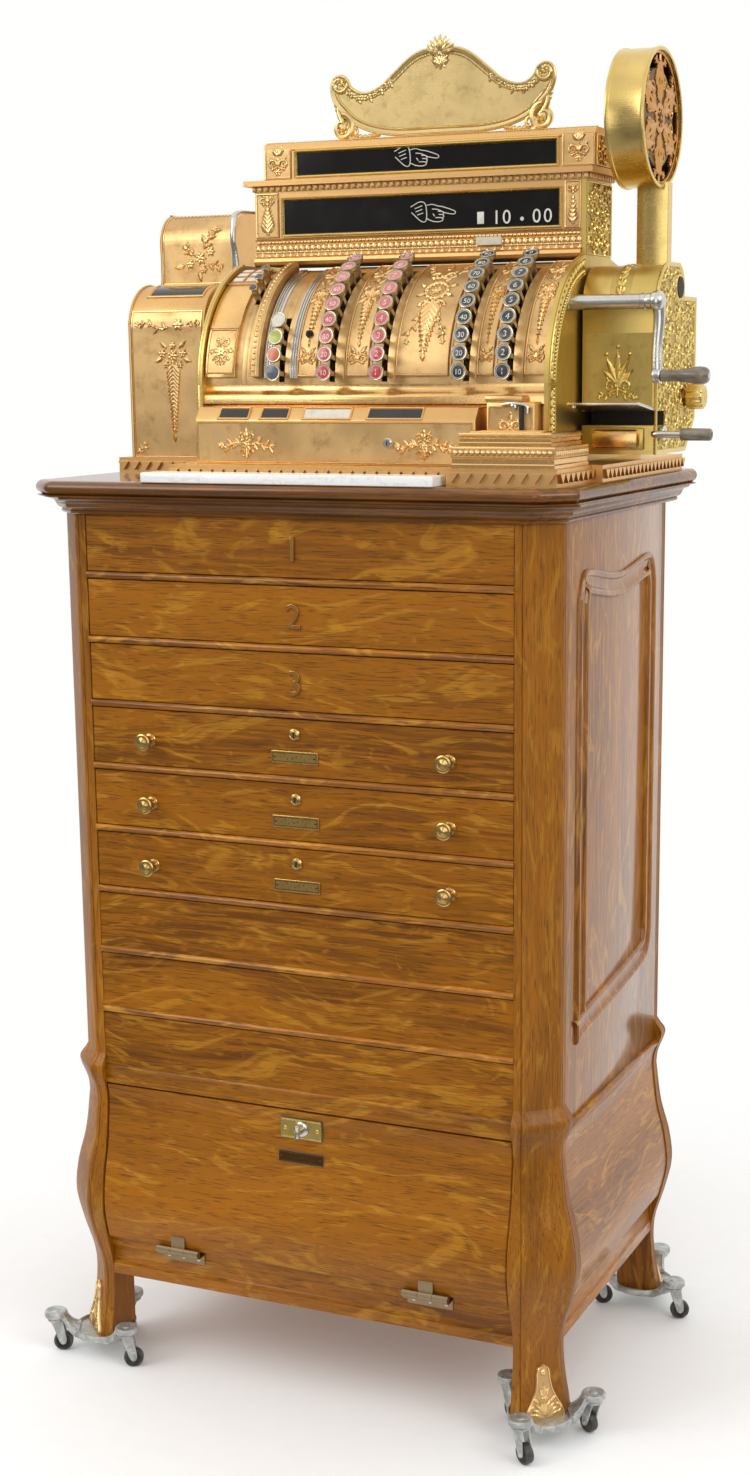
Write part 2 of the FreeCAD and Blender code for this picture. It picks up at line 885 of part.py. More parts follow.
def toothed_edge(a, b):
    """Row of wedge teeth along one edge of the base, hanging from its top."""
    run = V(b[0] - a[0], b[1] - a[1], 0)
    count = max(1, int(run.Length / tooth_pitch))
    along = run * (1 / count)
    step = V(along).normalize()
    outward = V(step.y, -step.x, 0)
    teeth = []
    top = base_thickness * 0.75
    low = base_thickness * 0.2
    for index in range(count):
        start = V(a[0], a[1], counter_z) + along * (index + tooth_gap_share)
        width = along * (1 - 2 * tooth_gap_share)
        corners = [start + V(0, 0, top), start + width + V(0, 0, top), start + width * 0.5 + V(0, 0, low)]
        teeth.append(slab(corners, outward * tooth_depth))
    return teeth


def register_base():
    """Cast base plate with a toothed skirt along its visible edges, hollow inside."""
    plan = base_plan()
    plate = slab([V(x, y, counter_z) for x, y in plan], V(0, 0, base_thickness))
    room = box(-base_left + cast_wall * 2, base_right - cast_wall * 2, -recorder_front, base_back - cast_wall * 2,
               counter_z + cast_wall, base_z - cast_wall)
    teeth = []
    for index in (0, 2, 3, 5, 8):
        teeth += toothed_edge(plan[index], plan[index + 1])
    return fused([plate.cut(room)] + teeth)


def polar(radius, angle, x=0):
    """Point on the key cylinder: angle 0 faces the front, 90 the sky."""
    return V(x, -radius * cos(radians(angle)), key_axis_z + radius * sin(radians(angle)))


def arc_plate(x0, x1, inner, outer, low_angle, high_angle):
    """Curved plate round the key axis."""
    mid = (low_angle + high_angle) / 2
    edges = [bow(polar(outer, low_angle, x0), polar(outer, mid, x0), polar(outer, high_angle, x0))]
    edges.append(segment(polar(outer, high_angle, x0), polar(inner, high_angle, x0)))
    edges.append(bow(polar(inner, high_angle, x0), polar(inner, mid, x0), polar(inner, low_angle, x0)))
    edges.append(segment(polar(inner, low_angle, x0), polar(outer, low_angle, x0)))
    return outline(edges, V(x1 - x0, 0, 0))


def key_front():
    """Slotted curved plate behind the keys, with the sill and apron under it."""
    x0 = body_left + end_plate
    x1 = body_right - end_plate
    outer = plate_radius - panel_rise
    inner = outer - plate_shell
    plate = arc_plate(x0, x1, inner, outer, 0, plate_top_angle)
    half_slot = stem_width / 2 + slide_gap
    slots = [(x, half_slot, first_key_angle, bank_count) for x in bank_places]
    slots.append((transaction_place, half_slot, first_key_angle, transaction_count))
    slots.append((clerk_place, clerk_radius / 2 + slide_gap, clerk_first_angle, clerk_count))
    for x, half, first, count in slots:
        low = first - key_step_angle / 2
        high = first + key_step_angle * (count - 0.5)
        plate = plate.cut(arc_plate(x - half, x + half, inner - overrun, outer + overrun, low, high))
    front = -outer - sill_proud
    low_z = key_axis_z - sill_height
    points = [(-inner, low_z), (front, low_z), (front, key_axis_z - sill_height / 2)]
    points += [(-outer, key_axis_z - panel_rise), (-outer, key_axis_z), (-inner, key_axis_z)]
    sill = slab([V(x0, y, z) for y, z in points], V(x1 - x0, 0, 0))
    apron = box(x0, x1, -outer, -inner, base_z, low_z)
    return group([fused([plate, sill, apron])] + key_panels())


def key_panels():
    """Raised ornament strips on the key front, and the curved rim beside the transaction keys."""
    inner = plate_radius - panel_rise
    low = key_step_angle / 2
    high = plate_top_angle - low
    pieces = [arc_plate(a, b, inner, plate_radius, low, high) for a, b in panel_places]
    rim_left = clerk_place + clerk_radius + end_plate
    pieces.append(arc_plate(rim_left, rim_left + rim_width, inner, plate_radius + end_rise * 2, low, high))
    plate_left = body_left + end_plate * 1.2
    plate_right = clerk_place - clerk_radius - end_plate
    pieces.append(arc_plate(plate_left, plate_right, inner, plate_radius, low, high))
    return pieces


def back_slope(x):
    """Points of the sloping back, from under the head down to the rear wall."""
    depth = body_back - head_back
    points = [V(x, head_back, head_foot_z), V(x, head_back + depth * 0.35, head_foot_z - plate_shell * 3)]
    points += [V(x, body_back - panel_thickness, (head_foot_z + back_wall_z) / 2), V(x, body_back, back_wall_z)]
    return points


def end_outline(x, grow):
    """Outline of an end plate: straight front, round key shoulder, head and sloping back."""
    front = plate_radius + grow
    head_y = -head_front
    shoulder = degrees(acos(head_front / front))
    top_of_round = polar(front, shoulder, x)
    corners = [V(x, head_y, head_top_z), V(x, head_back, head_top_z)] + back_slope(x)
    corners += [V(x, body_back, base_z), V(x, -front, base_z), V(x, -front, key_axis_z)]
    edges = [bow(corners[-1], polar(front, shoulder / 2, x), top_of_round)]
    for a, b in zip([top_of_round] + corners, corners):
        edges.append(segment(a, b))
    return edges


def right_end_plate():
    """Cast side of the register, bored for the crank tube."""
    x = body_right - end_plate
    plate = outline(end_outline(x, end_rise), V(end_plate, 0, 0))
    bore = rod(V(x - overrun, -crank_axis_front, crank_axis_z), V(1, 0, 0), crank_tube_radius,
               end_plate + overrun * 2)
    return plate.cut(bore)


def left_end_plate():
    """Cast side of the register next to the recorder; its head stands on the shoulder."""
    plate = outline(end_outline(body_left, end_rise), V(end_plate, 0, 0))
    keep = box(body_left - overrun, body_left + end_plate + overrun, -body_back, body_back + overrun,
               base_z - overrun, head_foot_z)
    return plate.common(keep)


def back_cover():
    """Bent sheet that closes the register's back between the end plates."""
    x0 = body_left + end_plate
    x1 = body_right - end_plate
    outer = back_slope(x0)
    outer[0] = outer[0] - V(0, 0, plate_shell)
    inner = [point - V(0, plate_shell, plate_shell) for point in outer[:-1]]
    outer.append(V(x0, body_back, base_z))
    inner += [V(x0, body_back - plate_shell, back_wall_z - plate_shell), V(x0, body_back - plate_shell, base_z)]
    return slab(outer + inner[::-1], V(x1 - x0, 0, 0))


def register_shell():
    """Both end plates and the back cover."""
    return group([left_end_plate(), right_end_plate(), back_cover()])


def head_case():
    """Indicator head: hollow case with its window frame, and the cornice on it."""
    x1 = body_right - end_plate
    front = -head_front
    shell = box(head_left, x1, front, head_back, head_foot_z, head_top_z)
    inside = box(head_left + head_wall, x1 - head_wall, front + head_wall, head_back - head_wall,
                 head_foot_z - overrun, head_top_z - head_wall)
    window = box(glass_left, glass_right, front - overrun, front + head_wall + overrun, glass_low_z, glass_high_z)
    shell = shell.cut(inside).cut(window)
    roll = prism(V(head_left, front, head_foot_z + head_wall), V(1, 0, 0), head_wall * 1.5, x1 - head_left,
                 small_sides)
    shell = fused([shell, roll])
    rail = box(head_left - cornice_out, body_right + cornice_out, front - cornice_out, head_back + cornice_out,
               head_top_z + cornice_height / 2, head_z)
    bed = box(head_left - dentil / 2, body_right + dentil / 2, front - dentil / 2, head_back + dentil / 2,
              head_top_z, head_top_z + cornice_height / 2)
    return [shell, fused([bed, rail])]


def upper_head():
    """Slimmer case on top of the cornice, with rounded ends and its own window."""
    low = head_z
    high = upper_top_z
    front = -upper_front
    x0 = head_left + cornice_out / 2
    x1 = body_right + cornice_out / 2
    turn = upper_round / 2
    points = [(front, low), (front, high - turn), (front + turn * 0.3, high - turn * 0.3), (front + turn, high)]
    points += [(upper_back, high), (upper_back, low)]
    shell = slab([V(x0, y, z) for y, z in points], V(x1 - x0, 0, 0))
    wall = head_wall
    inside = box(x0 + wall, x1 - wall, front + wall, upper_back - wall, low + wall, high - wall)
    glass_low = low + wall
    window = box(upper_glass_left, upper_glass_right, front - overrun, front + wall + overrun, glass_low,
                 glass_low + upper_glass_height)
    return shell.cut(inside).cut(window)


def indicator_case():
    """Lower head with its cornice and drum hanger, and the upper head on it."""
    return group(head_case() + [drum_bracket(), upper_head()])


def glass_panes():
    """Panes of the two indicator windows and of the recorder's window."""
    y = -head_front + head_wall - glass_thickness
    lower = box(glass_left, glass_right, y, y + glass_thickness, glass_low_z, glass_high_z)
    y = -upper_front + head_wall - glass_thickness
    low = head_z + head_wall
    upper = box(upper_glass_left, upper_glass_right, y, y + glass_thickness, low, low + upper_glass_height)
    return group([lower, upper])


def indicator_drums():
    """Figure drums on one shaft behind the lower window."""
    y = drum_axis_back
    x0 = drum_places[0] - drum_width
    x1 = body_right - end_plate - slide_gap - head_wall
    parts = [prism(V(x0, y, drum_axis_z), V(1, 0, 0), drum_shaft_radius, x1 - x0, small_sides)]
    for x in drum_places:
        start = V(x - drum_width / 2, y, drum_axis_z)
        parts.append(prism(start, V(1, 0, 0), drum_radius, drum_width, drum_figures))
    return fused(parts)


def drum_bracket():
    """Hanger that carries the drum shaft inside the head."""
    x = drum_places[0] - drum_width * 2
    half = drum_shaft_radius * 2
    hanger = box(x, x + head_wall * 3, drum_axis_back - half, drum_axis_back + half, drum_axis_z - half,
                 head_top_z - head_wall)
    return hanger.cut(prism(V(x - overrun, drum_axis_back, drum_axis_z), V(1, 0, 0),
                            bore_radius(drum_shaft_radius, small_sides), head_wall * 3 + overrun * 2, small_sides))


def top_sign():
    """Crested sign plate with rolled ends, on two scroll feet."""
    y = sign_back
    low = upper_top_z + sign_foot * 0.4
    rise = upper_top_z + sign_height - low
    points = []
    for share_x, share_z in sign_shares:
        points.append(V(sign_centre + sign_half * share_x, y, low + rise * share_z))
    for share_x, share_z in sign_shares[::-1]:
        points.append(V(sign_centre - sign_half * share_x, y, low + rise * share_z))
    plate = slab(points, V(0, sign_thickness, 0))
    parts = [plate, prism(V(sign_centre, y, low + rise), V(0, 1, 0), sign_foot * 0.75, sign_thickness)]
    for side in (-1, 1):
        centre = sign_centre + side * sign_half * 0.9
        parts.append(prism(V(centre, y, upper_top_z + sign_foot), V(0, 1, 0), sign_foot * 0.9, sign_thickness))
        parts.append(box(centre - sign_foot / 2, centre + sign_foot / 2, y, y + sign_thickness, upper_top_z,
                         upper_top_z + sign_foot * 3))
    return fused(parts)


def till_band():
    """Low front cover with a sloping row of windows, its lock, and the latch block beside it."""
    back = -plate_radius + panel_rise
    front = -band_front
    points = [V(band_left, front, base_z), V(band_left, front, band_top_z - band_slope)]
    points += [V(band_left, front + band_lean, band_top_z), V(band_left, back, band_top_z)]
    points.append(V(band_left, back, base_z))
    body = slab(points, V(band_right - band_left, 0, 0))
    width = band_right - band_left
    margin = band_slope * 0.18
    lean = V(0, band_lean, band_slope).normalize()
    normal = V(0, -band_slope, band_lean).normalize()
    for a, b in window_shares:
        start = V(band_left + width * a, front, band_top_z - band_slope) + lean * margin + normal * overrun
        length = sqrt(band_lean ** 2 + band_slope ** 2) - 2 * margin
        sink = normal * (overrun + band_window_depth)
        corners = [start, start + lean * length, start + lean * length - sink, start - sink]
        body = body.cut(slab(corners, V(width * (b - a), 0, 0)))
    lock = rod(V(band_left + width * 0.7, front, (base_z + band_top_z - band_slope) / 2), V(0, -1, 0),
               lock_radius * 0.7, lock_length)
    latch_back = back - sill_proud
    latch = box(latch_left, latch_right, -latch_front, latch_back, base_z, latch_top_z)
    cap = box(latch_left - overrun, latch_left + (latch_right - latch_left) * 0.75, -latch_front - overrun,
              latch_back, latch_top_z - band_slope / 2, latch_top_z)
    return group([fused([body, lock]), fused([latch, cap])])


def ticket_plan(inset, z):
    """Plan of the ticket box, which reaches back beside the end plate."""
    side = body_right + slide_gap
    front = -ticket_front + inset
    back = -plate_radius - end_rise - slide_gap - inset
    points = [V(ticket_left + inset, front, z), V(ticket_right - inset, front, z)]
    points += [V(ticket_right - inset, -ticket_tail - inset, z), V(side + inset, -ticket_tail - inset, z)]
    points += [V(side + inset, back, z), V(ticket_left + inset, back, z)]
    return points


def ticket_box():
    """Stepped box in front of the right end plate."""
    clear = -latch_front - slide_gap
    low = slab(ticket_plan(0, base_z), V(0, 0, ticket_box_height))
    lid = slab(ticket_plan(ticket_lid_inset, base_z + ticket_box_height), V(0, 0, ticket_lid_height))
    room = box(ticket_left - overrun, body_right, clear, half_depth, base_z - overrun, latch_top_z)
    band_room = box(band_left, band_right + slide_gap, -band_front - slide_gap, half_depth, base_z - overrun,
                    band_top_z)
    return fused([low, lid]).cut(room).cut(band_room)


def recorder_outline(x, inset):
    """Side outline of the recorder: bowed front, shoulder, and a set-back round-topped upper part."""
    front = -recorder_front + inset
    back = body_back - inset
    floor = base_z + inset
    top = recorder_top_z - inset
    upper = recorder_upper_front + inset
    bow_rise = recorder_step_z - recorder_shoulder_z
    shoulder = V(x, recorder_upper_front - recorder_front / 2 + inset, recorder_step_z - panel_rise - inset)
    middle = V(x, front + recorder_front * 0.45, recorder_shoulder_z + bow_rise * 0.72 - inset)
    start = V(x, front, recorder_shoulder_z)
    bend = recorder_round * (1 - sqrt(0.5))
    turn_foot = V(x, upper, top - recorder_round)
    crown = V(x, upper + recorder_round, top)
    edges = [bow(start, middle, shoulder), bow(turn_foot, V(x, upper + bend, top - bend), crown)]
    upper_foot = V(x, upper, recorder_step_z - inset)
    edges += [segment(shoulder, upper_foot), segment(upper_foot, turn_foot)]
    edges += [segment(crown, V(x, back, top)), segment(V(x, back, top), V(x, back, floor))]
    edges += [segment(V(x, back, floor), V(x, front, floor)), segment(V(x, front, floor), start)]
    return edges


def recorder_cabinet():
    """Hollow case of the recorder at the left, with the channel that joins it to the register."""
    wall = cast_wall
    width = recorder_left - recorder_right
    body = outline(recorder_outline(-recorder_left, 0), V(width, 0, 0))
    room = outline(recorder_outline(-recorder_left + wall, wall), V(width - 2 * wall, 0, 0))
    link = box(-recorder_right, body_left, recorder_link_front, body_back, base_z, recorder_link_top_z)
    return fused([body.cut(room), link])


def crank_tube():
    """Bright bearing tube that carries the crank shaft out past the printer."""
    x0 = body_right - end_plate
    tube = rod(V(x0, -crank_axis_front, crank_axis_z), V(1, 0, 0), crank_tube_radius, crank_tube_end - x0)
    return tube.cut(rod(V(x0 - overrun, -crank_axis_front, crank_axis_z), V(1, 0, 0),
                        crank_shaft_radius + running_gap, crank_tube_end - x0 + overrun * 2))


def crank_arm_start():
    """Inner face of the crank arm, which passes the printer's outer plate."""
    return printer_right + printer_plate + slide_gap * 5


def crank():
    """Crank shaft, round head and hanging arm with the grip pin."""
    y = -crank_axis_front
    x0 = body_right - end_plate - crank_shaft_inside
    x1 = crank_tube_end + slide_gap
    arm_x = crank_arm_start()
    shaft = rod(V(x0, y, crank_axis_z), V(1, 0, 0), crank_shaft_radius, x1 - x0)
    middle = arm_x + crank_arm_thickness / 2 - x1
    reach = crank_head_radius
    stations = [(0, crank_tube_radius), (middle - reach * 0.75, crank_tube_radius)]
    stations += [(middle - reach * 0.4, reach * 0.92), (middle, reach)]
    stations += [(middle + reach * 0.5, reach * 0.87), (middle + reach * 0.85, reach * 0.5)]
    head = turned(V(x1, y, crank_axis_z), V(1, 0, 0), stations, round_sides)
    low = crank_axis_z - crank_arm
    wide = crank_arm_width / 2
    points = [V(arm_x, y - wide * 1.3, crank_axis_z), V(arm_x, y + wide * 1.3, crank_axis_z)]
    points += [V(arm_x, y + wide, low), V(arm_x, y - wide, low)]
    arm = slab(points, V(crank_arm_thickness, 0, 0))
    eye = prism(V(arm_x, y, low), V(1, 0, 0), crank_arm_width * 0.75, crank_arm_thickness + slide_gap * 3)
    pin = rod(V(arm_x, y, low), V(1, 0, 0), crank_pin_radius, crank_arm_thickness + crank_grip_length)
    return fused([shaft, head, arm, eye, pin])


def crank_grip():
    """Turned grip that spins on the crank's pin."""
    y = -crank_axis_front
    x0 = crank_arm_start() + crank_arm_thickness + slide_gap * 4
    z = crank_axis_z - crank_arm
    length = crank_grip_length
    stations = [(0, crank_grip_neck), (length * 0.45, crank_grip_neck * 1.15)]
    stations += [(length * 0.68, crank_grip_radius * 0.92), (length * 0.82, crank_grip_radius)]
    stations.append((length * 0.95, crank_grip_radius * 0.85))
    stations.append((length, crank_grip_neck))
    body = turned(V(x0, y, z), V(1, 0, 0), stations, round_sides)
    return body.cut(rod(V(x0 - overrun, y, z), V(1, 0, 0), crank_pin_radius + running_gap,
                        length + overrun - slide_gap))


def printer_outline(x, inset):
    """Side outline of the printer: round front top, crown and a lower step behind."""
    front = -printer_front + inset
    back = printer_back - inset
    top = printer_top_z - inset
    turn = printer_round - inset
    bend = turn * (1 - sqrt(0.5))
    fall = printer_top_z - printer_step_z
    start = V(x, front, top - turn)
    over = V(x, front + turn, top)
    crown = V(x, printer_step_back - fall / 2 - inset, top)
    step = V(x, printer_step_back - inset, printer_step_z)
    corners = [V(x, back, printer_step_z - inset), V(x, back, printer_low_z + fall)]
    corners += [V(x, back - fall, printer_low_z), V(x, front, printer_low_z), start]
    edges = [bow(start, V(x, front + bend, top - bend), over), segment(over, crown)]
    edges.append(bow(crown, V(x, printer_step_back - fall * 0.12 - inset, top - fall * 0.3), step))
    for a, b in zip([step] + corners, corners):
        edges.append(segment(a, b))
    return edges


def printer_case():
    """Printer casing with the slip slot, hollow over the slot, with its platen block and outer plate."""
    body = outline(printer_outline(printer_left, plate_shell), V(printer_right - printer_left, 0, 0))
    slot = box(printer_left - overrun, printer_right + overrun, -printer_front - overrun,
               -printer_front + slot_depth, slot_low_z, slot_low_z + slot_height)
    wall = cast_wall
    room = box(printer_left + wall, printer_right - ink_shaft_inside - wall, -printer_front + wall * 2,
               printer_step_back - wall * 2, slot_low_z + slot_height + wall, printer_step_z - wall)
    shaft_room = rod(V(printer_right - ink_shaft_inside - slide_gap, ink_knob_back, ink_knob_z), V(1, 0, 0),
                     ink_shaft_radius + running_gap, ink_shaft_inside + overrun)
    link = box(body_right, printer_left, printer_front, printer_back - printer_round, printer_low_z + wall,
               printer_step_z - wall)
    return group([fused([body.cut(slot).cut(room).cut(shaft_room), link, platen()]), printer_side()])


def platen():
    """Round-nosed block under the slip slot."""
    x0 = printer_left + printer_plate * 4
    back = -printer_front + plate_shell
    front = back - platen_proud
    high = slot_low_z - printer_plate
    low = high - platen_height
    nose = platen_proud / 3
    points = [(back, low), (front + nose, low), (front, low + nose), (front, high - nose), (front + nose, high)]
    points.append((back, high))
    return slab([V(x0, y, z) for y, z in points], V(printer_right - printer_plate * 4 - x0, 0, 0))


def printer_side():
    """Pierced outer plate of the printer."""
    plate = outline(printer_outline(printer_right, 0), V(printer_plate, 0, 0))
    x0 = printer_right - overrun
    eye = rod(V(x0, printer_eye_back, printer_eye_z), V(1, 0, 0), printer_eye_radius, printer_plate * 3)
    shaft = rod(V(x0, ink_knob_back, ink_knob_z), V(1, 0, 0), ink_shaft_radius + running_gap, printer_plate * 3)
    slot = box(x0, printer_right + printer_plate + overrun, -printer_front - overrun, -printer_front + slot_depth,
               slot_low_z, slot_low_z + slot_height)
    lever = rod(V(x0, -printer_front + slip_lever_radius * 3, slip_lever_z), V(1, 0, 0), slip_lever_radius,
                printer_plate * 3)
    return plate.cut(eye).cut(shaft).cut(slot).cut(lever)


def ink_knob():
    """Fluted knob on the outer plate, with its shaft."""
    x = printer_right + printer_plate + slide_gap
    shaft = rod(V(printer_right - ink_shaft_inside, ink_knob_back, ink_knob_z), V(1, 0, 0), ink_shaft_radius,
                ink_shaft_inside + printer_plate + slide_gap + ink_knob_length / 2)
    rim = []
    for index in range(2 * ink_knob_flutes):
        angle = pi * index / ink_knob_flutes
        reach = ink_knob_radius * (1 - (index % 2) * ink_flute_share)
        rim.append(V(x, ink_knob_back + reach * cos(angle), ink_knob_z + reach * sin(angle)))
    return fused([slab(rim, V(ink_knob_length, 0, 0)), shaft])


def slip_table():
    """Thin tilted table that guides a slip into the printer."""
    x0 = printer_left + printer_plate
    x1 = printer_right
    back = -printer_front + plate_shell
    front = -printer_front - slip_table_reach
    z1 = slip_table_z + slip_table_tilt
    points = [V(x0, front, z1), V(x0, back, slip_table_z), V(x0, back, slip_table_z + slip_table_thickness)]
    points.append(V(x0, front, z1 + slip_table_thickness))
    return slab(points, V(x1 - x0, 0, 0))


def slip_lever():
    """Bright lever that clamps the slip, turning on a pin in the outer plate, with a dark grip."""
    x = printer_right + printer_plate + slide_gap
    pivot_y = -printer_front + slip_lever_radius * 3
    half = slip_lever_radius
    pin = rod(V(printer_right, pivot_y, slip_lever_z), V(1, 0, 0), half - running_gap,
              printer_plate + slide_gap * 2)
    hub = prism(V(x, pivot_y, slip_lever_z), V(1, 0, 0), half * 2, half)
    arm = box(x, x + half, -slip_lever_front, pivot_y, slip_lever_z - half, slip_lever_z + half)
    end = V(x, -slip_lever_front, slip_lever_z)
    bar = prism(end, V(1, 0, 0), half, slip_lever_reach - x - slip_grip_length / 2, small_sides)
    grip = prism(V(slip_lever_reach - slip_grip_length, end.y, end.z), V(1, 0, 0), slip_grip_radius,
                 slip_grip_length)
    return fused([pin, hub, arm, bar, grip])


def reel_housing():
    """Round drum for the paper reel: wall, closed back and a rosette pierced in its open face."""
    centre = V(reel_left, reel_back, reel_z)
    width = reel_right - reel_left
    wall = rod(centre, V(1, 0, 0), reel_radius, width)
    hollow = rod(centre + V(reel_wall, 0, 0), V(1, 0, 0), reel_radius - reel_wall, width)
    spindle = rod(centre + V(reel_wall, 0, 0), V(1, 0, 0), spindle_radius,
                  width - reel_wall * 2 - rosette_thickness)
    face_x = reel_right - rosette_setback - rosette_thickness
    disc = rod(V(face_x, reel_back, reel_z), V(1, 0, 0), reel_radius - reel_wall, rosette_thickness)
    for index in range(rosette_petals):
        disc = disc.cut(petal(2 * pi * index / rosette_petals, face_x - overrun))
    return fused([wall.cut(hollow), spindle, disc, reel_column()])


def petal(angle, x):
    """Leaf-shaped piercing of the rosette."""
    inner = rosette_hub * 1.2
    run = reel_radius - reel_wall * 2 - inner
    wide = (run / 2 + inner) * sin(pi / rosette_petals)
    radial = V(0, cos(angle), sin(angle))
    side = V(0, -sin(angle), cos(angle))
    start = V(x, reel_back, reel_z) + radial * inner
    points = [start + radial * (run * along) + side * (wide * out) for along, out in petal_shares]
    points += [start + radial * (run * along) - side * (wide * out) for along, out in petal_shares[-2:0:-1]]
    return slab(points, V(rosette_thickness + overrun * 2, 0, 0))


def reel_column():
    """Flat column that carries the reel housing on the printer."""
    block = box(column_left, column_right, column_front, column_front + column_thickness, printer_step_z, reel_z)
    width = column_right - column_left + overrun * 2
    low = block.cut(rod(V(column_left - overrun, reel_back, reel_z), V(1, 0, 0), reel_radius, width))
    solid = min(low.Solids, key=lambda piece: piece.CenterOfMass.z)
    return solid.cut(outline(printer_outline(column_left - overrun, plate_shell), V(width, 0, 0)))


def paper_reel():
    """Paper reel on the spindle inside the housing."""
    x0 = reel_left + reel_wall + slide_gap
    x1 = reel_right - rosette_setback - rosette_thickness - slide_gap
    roll = prism(V(x0, reel_back, reel_z), V(1, 0, 0), paper_radius, x1 - x0, round_sides * 2)
    return roll.cut(rod(V(x0 - overrun, reel_back, reel_z), V(1, 0, 0), spindle_radius + running_gap,
                        x1 - x0 + overrun * 2))


def key_at(x, angle, face_radius, radius, width, height):
    """One key: round cap on a flat stem, pointing at the key axis."""
    outward = V(0, -cos(radians(angle)), sin(radians(angle)))
    tangent = V(0, -sin(radians(angle)), -cos(radians(angle)))
    behind = polar(face_radius, angle, x) - outward * cap_length
    cap = prism(behind, outward, radius, cap_length, small_sides)
    corner = behind - outward * stem_length - V(width / 2, 0, 0) - tangent * (height / 2)
    across = V(width, 0, 0)
    section = [corner, corner + across, corner + across + tangent * height, corner + tangent * height]
    return fused([cap, slab(section, outward * stem_length)])


def money_bank(x):
    """Nine money keys of one bank."""
    keys = []
    for index in range(bank_count):
        angle = first_key_angle + key_step_angle * index
        keys.append(key_at(x, angle, key_face_radius, cap_radius, stem_width, stem_height))
    return group(keys)


def transaction_key(index):
    """One of the four transaction keys."""
    angle = first_key_angle + key_step_angle * index
    return key_at(transaction_place, angle, key_face_radius, cap_radius, stem_width, stem_height)


def clerk_keys():
    """Three small dark keys high on the left."""
    keys = []
    for index in range(clerk_count):
        angle = clerk_first_angle + key_step_angle * index
        keys.append(key_at(clerk_place, angle, clerk_face_radius, clerk_radius, clerk_radius, clerk_radius))
    return group(keys)


def dolly_places():
    """Centres of the four dollies and the phase of their arms."""
    corners = {"front_right": (1, -1), "front_left": (-1, -1), "rear_right": (1, 1), "rear_left": (-1, 1)}
    side = half_width - dolly_side_inset
    front = half_depth - dolly_front_inset
    return {name: (V(side * x, front * y, 0), dolly_phases[name]) for name, (x, y) in corners.items()}


def dolly_casting(centre, phase):
    """Cup under one foot with three raised arms that end in round caster pads."""
    low = foot_z - cup_floor
    parts = [prism(centre + V(0, 0, low), V(0, 0, 1), cup_radius, cup_floor, round_sides + small_sides)]
    bores = []
    bore = bore_radius(fork_stem_radius, small_sides)
    for turn in range(3):
        spin = phase + 120 * turn
        parts.append(dolly_arm(spin, centre))
        direction = V(cos(radians(spin)), sin(radians(spin)), 0)
        pad = centre + direction * dolly_reach + V(0, 0, pad_z)
        parts.append(prism(pad, V(0, 0, 1), pad_radius, pad_thickness))
        bores.append(prism(pad - V(0, 0, overrun), V(0, 0, 1), bore, pad_thickness * 0.7 + overrun, small_sides))
    body = fused(parts)
    for hole in bores:
        body = body.cut(hole)
    return body


def dolly_arm(spin, centre):
    """Bent web from the cup's floor up to a pad, drawn along +X and turned to its place."""
    low = foot_z - cup_floor
    root = cup_radius - arm_root
    clear = dolly_reach - fork_radius - slide_gap * 2
    high = pad_z + pad_thickness
    points = [(root, low), (cup_radius + arm_root - slide_gap, low), (clear, pad_z), (dolly_reach, pad_z)]
    points += [(dolly_reach, high), (clear - arm_root / 2, high), (cup_radius + slide_gap * 3, foot_z)]
    points.append((root, foot_z))
    arm = slab([V(x, -arm_width / 2, z) for x, z in points], V(0, arm_width, 0))
    arm.rotate(V(0, 0, 0), V(0, 0, 1), spin)
    arm.translate(centre)
    return arm


def dolly_castings():
    """Four castings, one under each foot."""
    return group([dolly_casting(centre, phase) for centre, phase in dolly_places().values()])


def caster(centre, spin):
    """Swivel fork with its axle, and the wheel that runs between the cheeks."""
    axle = V(fork_trail, 0, wheel_radius)
    inner = wheel_width / 2 + fork_gap
    top = pad_z - slide_gap
    plate = prism(V(0, 0, top - fork_top), V(0, 0, 1), fork_radius, fork_top, small_sides)
    stem = prism(V(0, 0, top), V(0, 0, 1), fork_stem_radius, pad_thickness * 0.6, small_sides)
    parts = [plate, stem]
    for side in (-1, 1):
        parts.append(fork_side(side * inner, side * fork_cheek, top - fork_top, axle))
    tread = prism(axle - V(0, wheel_width / 2, 0), V(0, 1, 0), wheel_radius, wheel_width)
    pin = prism(axle - V(0, inner, 0), V(0, 1, 0), wheel_axle_radius, inner * 2, pin_sides)
    pair = group([fused(parts), fused([tread, pin])])
    pair.rotate(V(0, 0, 0), V(0, 0, 1), spin)
    pair.translate(centre)
    return pair


def fork_side(y, thickness, high, axle):
    """One cheek of a caster's fork."""
    low = wheel_axle_radius * 2
    points = [(-fork_radius / 2, high), (fork_radius * 0.8, high), (axle.x + low, axle.z), (axle.x, axle.z - low)]
    points.append((axle.x - low, axle.z))
    return slab([V(x, y, z) for x, z in points], V(0, thickness, 0))


def save_casters():
    """Twelve casters, each in a node of its own."""
    for name, (centre, phase) in dolly_places().items():
        for turn in range(3):
            angle = phase + 120 * turn
            place = centre + V(cos(radians(angle)), sin(radians(angle)), 0) * dolly_reach
            save("caster_" + name + "_" + str(turn + 1), caster(place, angle + 60 * (turn + 1)))


